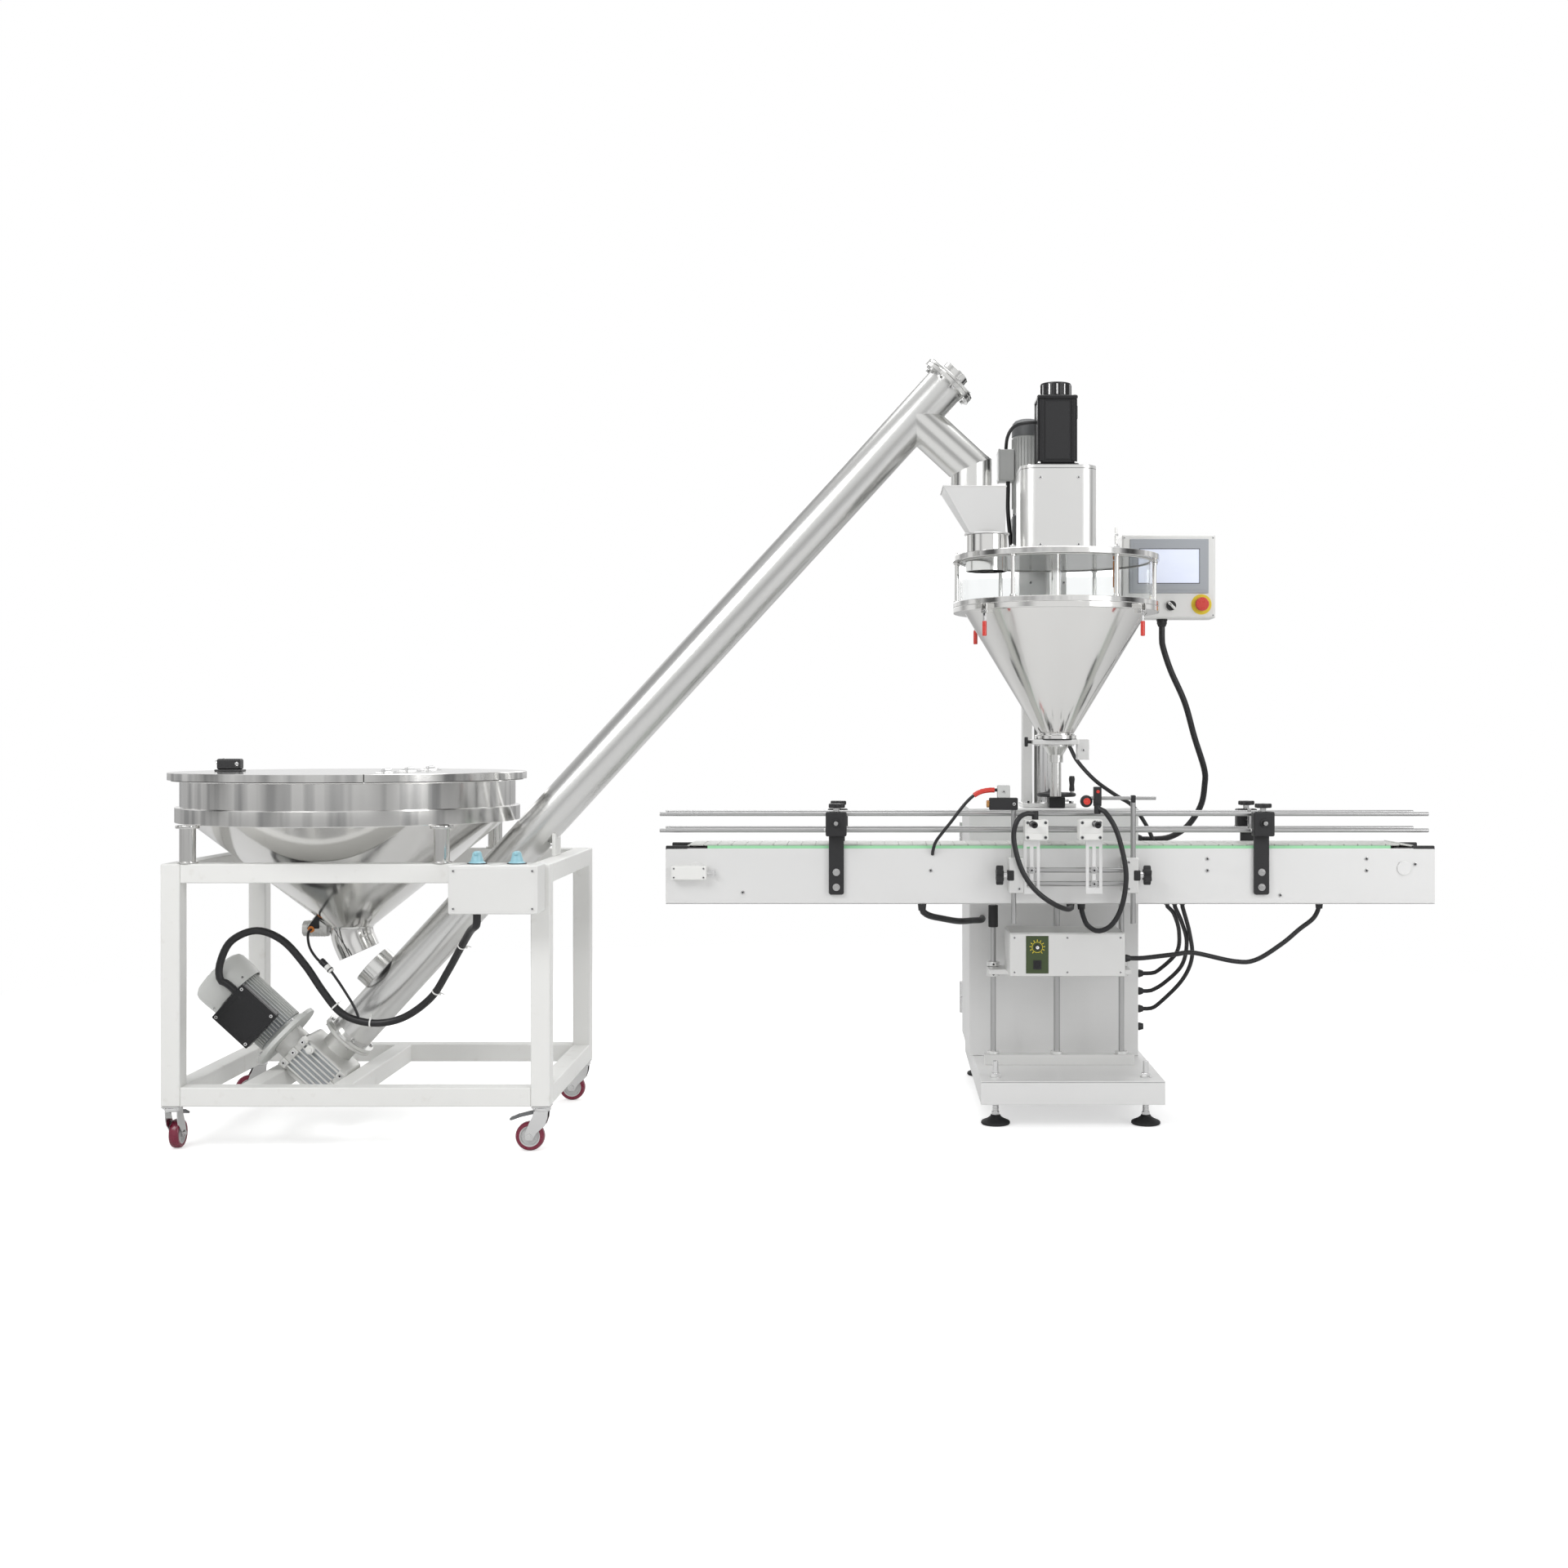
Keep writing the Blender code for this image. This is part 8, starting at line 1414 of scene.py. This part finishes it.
    chain = cover("slat chain", "slat_plastic", body=MACHINE)
    x0, x1, z, radius = ROLLER_LEFT, ROLLER_RIGHT, ROLLER_Z, 0.0638
    straight = x1 - x0
    around = 2 * straight + math.tau * radius
    count = round(around / 0.0381)
    for k in range(count):
        s = around * k / count
        if s < straight:
            spot, lean = (x0 + s, z + radius), 0.0
        elif s < straight + math.pi * radius:
            a = (s - straight) / radius
            spot, lean = (x1 + radius * math.sin(a), z + radius * math.cos(a)), a
        elif s < 2 * straight + math.pi * radius:
            spot, lean = (x1 - (s - straight - math.pi * radius), z - radius), math.pi
        else:
            a = math.pi + (s - 2 * straight - math.pi * radius) / radius
            spot, lean = (x0 + radius * math.sin(a), z + radius * math.cos(a)), a
        place = at(spot[0], -0.105, spot[1]) @ Matrix.Rotation(lean, 4, "Y")
        chain.add(block((around / count - 0.0012, 0.156, 0.005), 0.0012, 2), slat_grey, place)
        for y in (-0.052, -0.018, 0.018, 0.052):
            chain.add(drum(0.0019, 0.022, sides=10), slat_grey,
                      place @ at(around / count / 2, y - 0.011, -0.0006)
                      @ Matrix.Rotation(-math.pi / 2, 4, "X"))
    chain.make()

    for name, x in (("idler_roller", x0), ("drive_roller", x1)):
        wheel = cover(name.replace("_", " "), "satin_steel")
        reaches = [0.059 if (k // 2) % 2 else 0.0545 for k in range(48)]
        outline = [(reach * math.cos(a), reach * math.sin(a)) for reach, a in zip(reaches, ring(48, 0))]
        for y in (-0.165, -0.111, -0.057):
            wheel.add(plate(outline, 0.012, 0.0006), slat_grey, facing((x, y, z), -FRONT))
        wheel.rod((x, -0.1825, z), (x, -0.0275, z), 0.024, slat_grey, sides=44)
        wheel.rod((x, -0.1938, z), (x, -0.0162, z), 0.0098, chrome, sides=32, edge=0.0008)
        wheel.make()

    for name, rail_y, far in (("front_rails", -0.175, -0.254), ("rear_rails", -0.035, 0.044)):
        rail = cover(name.replace("_", " "), "bright_chrome")
        for h in (0.854, 0.809):
            rail.rod((-0.3995, rail_y, h), (1.714, rail_y, h), 0.0055, shaded_rail_steel, sides=28, edge=0.0014)
        for x in BRACKETS:
            rail.box((x - 0.0055, rail_y - 0.0055, 0.798), (x + 0.0055, rail_y + 0.0055, 0.865), chrome,
                     0.0012)
            rail.rod((x, rail_y, GUIDE_Z), (x, far, GUIDE_Z), 0.006, shaded_rail_steel, sides=28, edge=0.001)
            for h in (0.8015, 0.8615):
                rail.screw((x, rail_y, h), (0, -1 if far < rail_y else 1, 0), 0.0034, 0.0066)
        rail.make()


# Gate stand in front of the nozzle

GATE_PINS = (("left", 0.6165, 1), ("right", 0.7855, -1))


def build_gate():
    gate = cover("gate stand", "satin_steel", body=MACHINE)
    y = -0.24
    for x, way, high in ((0.5685, -1, 0.883), (0.8925, 1, 0.9)):
        gate.rod((x, y, 0.559), (x, y, high), 0.007, shaded_rail_steel, sides=32, edge=0.001)
        gate.box((x - way * 0.027, y - 0.015, 0.643), (x + way * 0.014, -0.1903, 0.739), upright_steel,
                 0.003, 3)
        gate.box((x, y - 0.018, 0.677), (x + way * 0.018, y + 0.014, 0.705), black_plastic, 0.003, 3)
        gate.rod((x + way * 0.013, y, 0.691), (x + way * 0.03, y, 0.691), 0.0085, chrome, sides=28)
        gate.add(star_knob(0.0265, 0.02, 6), black_plastic,
                 facing((x + way * 0.028, y, 0.691), (way, 0, 0)))
        for z in (0.655, 0.727):
            gate.screw((x - way * 0.014, y - 0.015, z), FRONT, 0.0042, 0.0028)
    for z in (0.668, 0.705):
        gate.rod((0.5685, y, z), (0.8925, y, z), 0.007, shaded_rail_steel, sides=32)
    face = -0.2475
    for _, x, inward in GATE_PINS:
        # Slotted slide plate with two bolts, and the box that the pin comes out of
        for dx, wide in ((-0.018, 0.0045), (0, 0.005), (0.018, 0.0045)):
            gate.box((x + dx - wide, face - 0.0025, 0.641), (x + dx + wide, face + 0.0025, 0.79),
                     sheet_steel, 0.001)
        for low, high in ((0.641, 0.658), (0.769, 0.79)):
            gate.box((x - 0.02, face - 0.0024, low), (x + 0.02, face + 0.0024, high), sheet_steel, 0.0004)
        for z in (0.668, 0.705):
            gate.rod((x, face, z), (x, face - 0.004, z), 0.0095, chrome, sides=28, edge=0.0008)
            gate.screw((x, face - 0.004, z), FRONT, 0.0058, 0.004)
        cx = x + inward * 0.011
        gate.box((cx - 0.032, face - 0.03, 0.787), (cx + 0.032, face + 0.03, 0.843), white_plastic, 0.0045,
                 3)
        gate.box((cx - 0.026, face - 0.0312, 0.806), (cx + 0.026, face - 0.029, 0.824), panel_white, 0.0008)
        for dx in (-0.024, 0.024):
            for z in (0.795, 0.835):
                gate.screw((cx + dx, face - 0.03, z), FRONT, 0.0044, 0.0022, dark_grey)
        gate.add(hollow(0.0098, 0.0056, 0.0022, 36, 0.0005), chrome,
                 facing((x, face - 0.03, GUIDE_Z), FRONT))
    gate.rod((0.7655, y, 0.9), (0.9545, y, 0.9), 0.0049, shaded_rail_steel, sides=28, edge=0.0008)
    gate.box((0.7855, y - 0.015, 0.878), (0.8055, y + 0.015, 0.931), black_plastic, 0.003, 3)
    gate.rod((0.7955, y - 0.0148, 0.918), (0.7955, y - 0.016, 0.918), 0.0045, red_gloss, sides=28)
    gate.add(ball(0.0168, 36), black_plastic, at(0.7655, y, 0.8915))
    gate.rod((0.7655, y - 0.0135, 0.8915), (0.7655, y - 0.0178, 0.8915), 0.0095, red_gloss, sides=32,
             edge=0.0012)
    gate.box((0.8865, y - 0.01, 0.888), (0.8985, y + 0.01, 0.908), black_plastic, 0.002)
    gate.box((0.502, y - 0.015, 0.868), (0.579, y + 0.015, 0.9012), black_plastic, 0.003, 3)
    gate.rod((0.4945, y, 0.8845), (0.503, y, 0.8845), 0.01, bronze_tip, sides=36, edge=0.0015)
    gate.screw((0.5685, y - 0.015, 0.8845), FRONT, 0.0045, 0.003)
    gate.make()
    for name, x, _ in GATE_PINS:
        pin = cover("gate pin " + name, "bright_chrome")
        pin.rod((x, -0.2085, GUIDE_Z), (x, -0.3385, GUIDE_Z), 0.005, chrome, sides=28)
        pin.rod((x, -0.2085, GUIDE_Z), (x, -0.213, GUIDE_Z), 0.009, black_rubber, sides=36, edge=0.0012)
        pin.rod((x, -0.3385, GUIDE_Z), (x, -0.3295, GUIDE_Z), 0.009, black_plastic, sides=36, edge=0.0016)
        for a in ring(8, 0):
            rib_x, rib_z = x + 0.0086 * math.cos(a), GUIDE_Z + 0.0086 * math.sin(a)
            pin.rod((rib_x, -0.337, rib_z), (rib_x, -0.331, rib_z), 0.0005, black_plastic, sides=6)
        pin.make()


# Base, cabinet and shaker

def build_base():
    tray = cover("base tray", "satin_steel", body=MACHINE)
    x0, x1, y0, y1 = 0.4805, 0.9825, -0.2245, 0.6255
    tray.box((x0, y0, 0.1237), (x1, y1, 0.1287), sheet_steel, 0.0012)
    tray.box((x0, y0, 0.064), (x1, y0 + 0.005, 0.1275), sheet_steel, 0.0016)
    tray.box((x0, y1 - 0.005, 0.064), (x1, y1, 0.1275), sheet_steel, 0.0016)
    for x in (x0, x1 - 0.005):
        tray.box((x, y0 + 0.0005, 0.064), (x + 0.005, y1 - 0.0005, 0.1275), sheet_steel, 0.0016)
    for x in (0.5245, 0.9385):
        for y in (-0.1629, 0.5639):
            tray.add(turned([(0.0, 0.0), (0.0375, 0.0), (0.04, 0.0025), (0.04, 0.007), (0.038, 0.0095),
                             (0.024, 0.0155), (0.015, 0.0215), (0.013, 0.026), (0.0, 0.026)], 64),
                     black_rubber, at(x, y, 0))
            top = 0.1737 if y < 0 else 0.1257
            tray.rod((x, y, 0.025), (x, y, top), 0.008, chrome, sides=28, edge=0.001)
            for k in range(14):
                z = 0.03 + k * 0.0066
                if z < top - 0.004:
                    tray.add(hollow(0.0084, 0.0076, 0.0026, 24, 0.0006), chrome, at(x, y, z))
            tray.nut((x, y, 0.1115), UP, 0.013, 0.012)
            tray.nut((x, y, 0.026), UP, 0.012, 0.008)
            if y < 0:
                tray.nut((x, y, 0.1287), UP, 0.013, 0.012)
                tray.rod((x, y, 0.1287), (x, y, 0.1302), 0.016, chrome, sides=32)
    tray.box((0.5055, 0.0185, 0.1287), (0.9335, 0.0485, 0.1587), upright_steel, 0.002)
    for x, r in ((0.531, 0.008), (0.8985, 0.008), (0.7135, 0.009)):
        tray.rod((x, 0.0335, 0.158), (x, 0.0335, 0.6), r, shaded_rail_steel, sides=32, edge=0.001)
        tray.add(hollow(r + 0.01, r - 0.0005, 0.009, 40, 0.001), upright_steel, at(x, 0.0335, 0.1587))
    for k in range(88):
        tray.add(hollow(0.0092, 0.0084, 0.0022, 20, 0.0007), shaded_rail_steel,
                 at(0.7135, 0.0335, 0.172 + k * 0.0048))
    for x in (0.531, 0.8985):
        for z in (0.3817, 0.4105):
            tray.add(hollow(0.0185, 0.008, 0.0128, 44, 0.001), upright_steel, at(x, 0.0335, z))
            tray.screw((x, 0.0335 - 0.0185, z + 0.0064), FRONT, 0.003, 0.0006, slot_dark)
    tray.add(hollow(0.014, 0.008, 0.063, 44, 0.0015), black_plastic, at(0.531, 0.0335, 0.522))
    tray.make()

    box = cover("cabinet", "satin_steel", body=MACHINE)
    x0, x1, y0, y1, z0, z1 = 0.4705, 0.9675, 0.1725, 0.6025, 0.129, 0.856
    box.box((x0, y0, z0), (x1, y0 + 0.006, z1), sheet_steel, 0.002)
    for x in (x0, x1 - 0.006):
        box.box((x, y0 + 0.0005, z0), (x + 0.006, y1, z1), sheet_steel, 0.002)
    for z in (z0, z1 - 0.006):
        box.box((x0 + 0.0005, y0 + 0.0005, z), (x1 - 0.0005, y1, z + 0.006), sheet_steel, 0.002)
    for z in (0.206, 0.2585, 0.311, 0.3635):
        gland(box, (0.9897, 0.23, z), RIGHT, 0.0145)
        box.rod((0.967, 0.23, z), (0.97, 0.23, z), 0.016, black_plastic, sides=36, edge=0.0006)
    box.rod((0.988, 0.23, 0.206), (0.99, 0.23, 0.206), 0.01, black_plastic, sides=28, edge=0.0008)
    gland(box, PANEL_ROUTE[-1], RIGHT, 0.018)
    gland(box, (0.9897, 0.205, 0.7), RIGHT, 0.012)
    for z in (0.189, 0.696):
        box.rod((x0, 0.6128, z), (x0, 0.6128, z + 0.05), 0.0078, chrome, sides=28, edge=0.0008)
        box.rod((x0, 0.6128, z + 0.048), (x0, 0.6128, z + 0.094), 0.0038, chrome, sides=20)
        box.box((x0 - 0.001, 0.595, z), (x0 + 0.005, 0.616, z + 0.05), chrome, 0.0008)
    box.box((0.512, y0 - 0.04, 0.64), (0.566, y0 + 0.001, 0.735), motor_grey, 0.003, 3)
    for x in (0.519, 0.559):
        for z in (0.647, 0.728):
            box.screw((x, y0 - 0.04, z), FRONT, 0.003, 0.0012)
    # Vent slots low on the right-hand side, drawn as dark strips: painted shade in place of openings
    for k in range(9):
        box.add(block((0.0012, 0.15, 0.005), 0.0005), slot_dark, at(x1 + 0.0001, 0.42, 0.23 + k * 0.012))
    box.make()

    door = cover("cabinet door", "satin_steel")
    door.box((0.4792, 0.6029, 0.1392), (0.9673, 0.6126, 0.8458), sheet_steel, 0.0024, 3)
    for z in (0.2398, 0.7468):
        door.rod((0.4705, 0.6128, z), (0.4705, 0.6128, z + 0.0488), 0.0078, chrome, sides=28, edge=0.0008)
        door.box((0.4712, 0.609, z), (0.5, 0.6128 + 0.0022, z + 0.0488), chrome, 0.0008)
        for dz in (0.011, 0.038):
            door.screw((0.492, 0.615, z + dz), -FRONT, 0.0034, 0.0014)
    door.rod((0.9175, 0.612, 0.4925), (0.9175, 0.6172, 0.4925), 0.011, chrome, sides=40, edge=0.001)
    # The key slot is a dark sliver on the lock face: painted shade in place of a recess
    door.add(block((0.004, 0.001, 0.013), 0.0003), slot_dark, at(0.9175, 0.6173, 0.4925))
    door.make()

    shaker = cover("shaker box", "satin_steel", body=MACHINE)
    shaker.box((0.5615, -0.1845, 0.408), (0.8795, 0.0055, 0.527), upright_steel, 0.004, 3)
    shaker.box((0.564, -0.1825, 0.5262), (0.877, 0.0035, 0.5282), upright_steel, 0.0006)
    shaker.box((0.513, -0.0405, 0.395), (0.9165, 0.0565, 0.4098), upright_steel, 0.003)
    for x in (0.575, 0.72, 0.866):
        for z in (0.42, 0.515):
            shaker.screw((x, -0.1845, z), FRONT, 0.0036, 0.002)
    gland(shaker, SHAKER_ROUTE[0], RIGHT, 0.013)
    # Control label with its dial and rocker
    shaker.box((0.6065, -0.1866, 0.417), (0.6685, -0.184, 0.52), control_green, 0.0008)
    shaker.box((0.6085, -0.1871, 0.419), (0.6665, -0.1858, 0.518), control_green, 0.0003)
    dial = Vector((0.6375, -0.187, 0.489))
    shaker.add(hollow(0.015, 0.0138, 0.0005, 56, 0.0001), yellow_ring, facing(dial, FRONT))
    for k in range(11):
        a = math.radians(-50 + k * 28)
        shaker.add(block((0.005, 0.0018, 0.0008), 0.0003), yellow_ring,
                   facing(dial, FRONT, RIGHT) @ turn_z(a) @ at(0.0188, 0, 0.0002))
    shaker.add(drum(0.0085, 0.006, top=0.0075, sides=48, edge=0.001), black_plastic, facing(dial, FRONT))
    shaker.add(drum(0.0052, 0.0095, top=0.0046, sides=40, edge=0.001), white_plastic, facing(dial, FRONT))
    shaker.add(block((0.001, 0.004, 0.0006), 0.0002), black_plastic,
               facing(dial + FRONT * 0.0095, FRONT) @ turn_z(0.7) @ at(0, 0.002, 0))
    shaker.box((0.6265, -0.1895, 0.4285), (0.6485, -0.1865, 0.4535), black_plastic, 0.0016)
    shaker.add(block((0.015, 0.018, 0.0048), 0.0018, 3), slot_dark,
               facing((0.6375, -0.1898, 0.441), FRONT) @ Matrix.Rotation(0.12, 4, "X"))
    shaker.make()


def build_loose_cables():
    """Cables of the scene alone: gate loops, sensor leads and those at the cabinet's side."""
    lead = free_cable("vibrator lead",
                      [(-1.357, -0.1775, 0.537), (-1.357, -0.195, 0.535), (-1.353, -0.22, 0.523),
                       (-1.336, -0.255, 0.495), (-1.306, -0.285, 0.468), (-1.2749, -0.3, 0.4494),
                       (-1.25, -0.302, 0.418), (-1.2246, -0.302, 0.3794), (-1.206, -0.301, 0.348),
                       (-1.193, -0.3, 0.319), (-1.1915, -0.3, 0.312)], 0.007)
    joint = Piece("vibrator plug", MACHINE)
    k = len(lead) // 2
    way = (lead[k + 1] - lead[k]).normalized()
    joint.rod(lead[k] - way * 0.022, lead[k], 0.0085, black_plastic, sides=28, edge=0.0012)
    joint.rod(lead[k], lead[k] + way * 0.022, 0.008, white_plastic, sides=28, edge=0.0012)
    for back in (-0.016, 0.014):
        joint.rod(lead[k] + way * back, lead[k] + way * (back + 0.003), 0.009, black_plastic, sides=28)
    joint.make()
    free_cable("left gate cable", LEFT_LOOP, 0.014)
    free_cable("right gate cable", RIGHT_LOOP, 0.014)
    for k, bends in enumerate((((1.034, 0.218, 0.3744), (1.0762, 0.15, 0.4348), (1.07, 0.07, 0.5033),
                                (1.0437, 0.0, 0.5625)),
                               ((1.0494, 0.215, 0.3363), (1.0913, 0.15, 0.3974), (1.0921, 0.07, 0.4738),
                                (1.0672, 0.01, 0.5388)),
                               ((1.0343, 0.215, 0.2757), (1.093, 0.16, 0.3513), (1.1106, 0.09, 0.4272),
                                (1.0926, 0.03, 0.5075)))):
        z, x = (0.3635, 0.311, 0.2585)[k], CABLE_EXITS[k]
        free_cable("cabinet cable %d" % (k + 1),
                   [(0.9898, 0.23, z), (1.01, 0.23, z), *bends, (x, -0.028, 0.59), (x, -0.03, 0.6077)],
                   0.012)
    free_cable("head cable",
               [(0.7545, 0.33, 1.06), (0.78, 0.322, 1.04), (0.802, 0.3, 0.995), (0.85, 0.262, 0.938),
                (0.91, 0.238, 0.893), (0.958, 0.226, 0.862), (1.0, 0.216, 0.8), (1.022, 0.208, 0.74),
                (1.016, 0.205, 0.712), (1.005, 0.205, 0.7005), (0.9898, 0.205, 0.7)], 0.012)
    free_cable("conveyor conduit",
               [(0.3215, -0.183, 0.6077), (0.3215, -0.183, 0.59), (0.342, -0.165, 0.574),
                (0.3823, -0.11, 0.56), (0.43, -0.03, 0.545), (0.475, 0.06, 0.538), (0.5, 0.11, 0.534),
                (0.508, 0.145, 0.534), (0.508, 0.172, 0.534)], 0.018)
    eye = free_cable("belt sensor lead",
                     [(0.5284, -0.238, 0.922), (0.505, -0.238, 0.922), (0.478, -0.238, 0.917),
                      (0.454, -0.237, 0.902), (0.428, -0.236, 0.874), (0.401, -0.234, 0.838),
                      (0.376, -0.228, 0.806), (0.358, -0.214, 0.78), (0.351, -0.2, 0.756),
                      (0.35, -0.1905, 0.744)], 0.009)
    sleeve = Piece("sensor sleeve", MACHINE)
    sweep(sleeve, eye[1:7], 0.007, red_gloss, 28)
    sleeve.box((0.524, -0.252, 0.9005), (0.558, -0.224, 0.935), motor_grey, 0.0025, 3)
    sleeve.screw((0.541, -0.252, 0.918), FRONT, 0.004, 0.0022)
    sleeve.make()
    free_cable("servo lead",
               [(0.6447, -0.095, 1.945), (0.63, -0.095, 1.945), (0.605, -0.085, 1.944),
                (0.585, -0.06, 1.94), (0.575, -0.025, 1.932), (0.57, 0.01, 1.92), (0.569, 0.035, 1.907),
                (0.569, 0.048, 1.895), (0.569, 0.05, 1.89)], 0.01, body=HEAD)
    free_cable("agitator motor lead",
               [(0.575, 0.05, 1.8), (0.575, 0.05, 1.775), (0.574, 0.047, 1.73), (0.576, 0.045, 1.69),
                (0.58, 0.045, 1.65), (0.583, 0.045, 1.61), (0.583, 0.045, 1.5685)], 0.012, body=HEAD)
    fittings = Piece("cable fittings", MACHINE)
    fittings.rod((0.3215, -0.183, 0.59), (0.3215, -0.183, 0.6078), 0.01, black_plastic, top=0.012, sides=28)
    for spot in (LEFT_LOOP[-1], RIGHT_LOOP[-1]):
        fittings.rod(Vector(spot) - UP * 0.016, Vector(spot) + UP * 0.0005, 0.0095, black_plastic,
                     top=0.0115, sides=28)
    for spot in (LEFT_LOOP[0], RIGHT_LOOP[0]):
        fittings.rod(Vector(spot) - UP * 0.016, Vector(spot) + UP * 0.008, 0.009, black_plastic, sides=28,
                     edge=0.0015)
    for x in CABLE_EXITS:
        fittings.rod((x, -0.03, 0.592), (x, -0.03, 0.6078), 0.008, black_plastic, top=0.01, sides=28)
    fittings.rod((1.4305, -0.105, 0.588), (1.4305, -0.105, 0.6078), 0.009, black_plastic, top=0.0115,
                 sides=28)
    fittings.make()


place_camera()
light_world()
place_lamps()
lay_floor()
stage_scene.view_settings.view_transform = "Standard"
build_cords()
build_cart()
for castor in (("front_left", -1.617, -0.48, 90), ("front_right", -0.667, -0.48, 180),
               ("rear_left", -1.617, 0.17, 205), ("rear_right", -0.667, 0.17, 180)):
    build_castor(*castor)
build_feed_hopper()
build_lid()
build_screw_tube()
build_feed_drive()
build_feeder_switches()
build_filler_hopper()
build_inlet_funnel()
build_nozzle()
build_drive()
build_augers()
build_column()
build_panel()
build_conveyor()
build_gate()
build_base()
build_loose_cables()
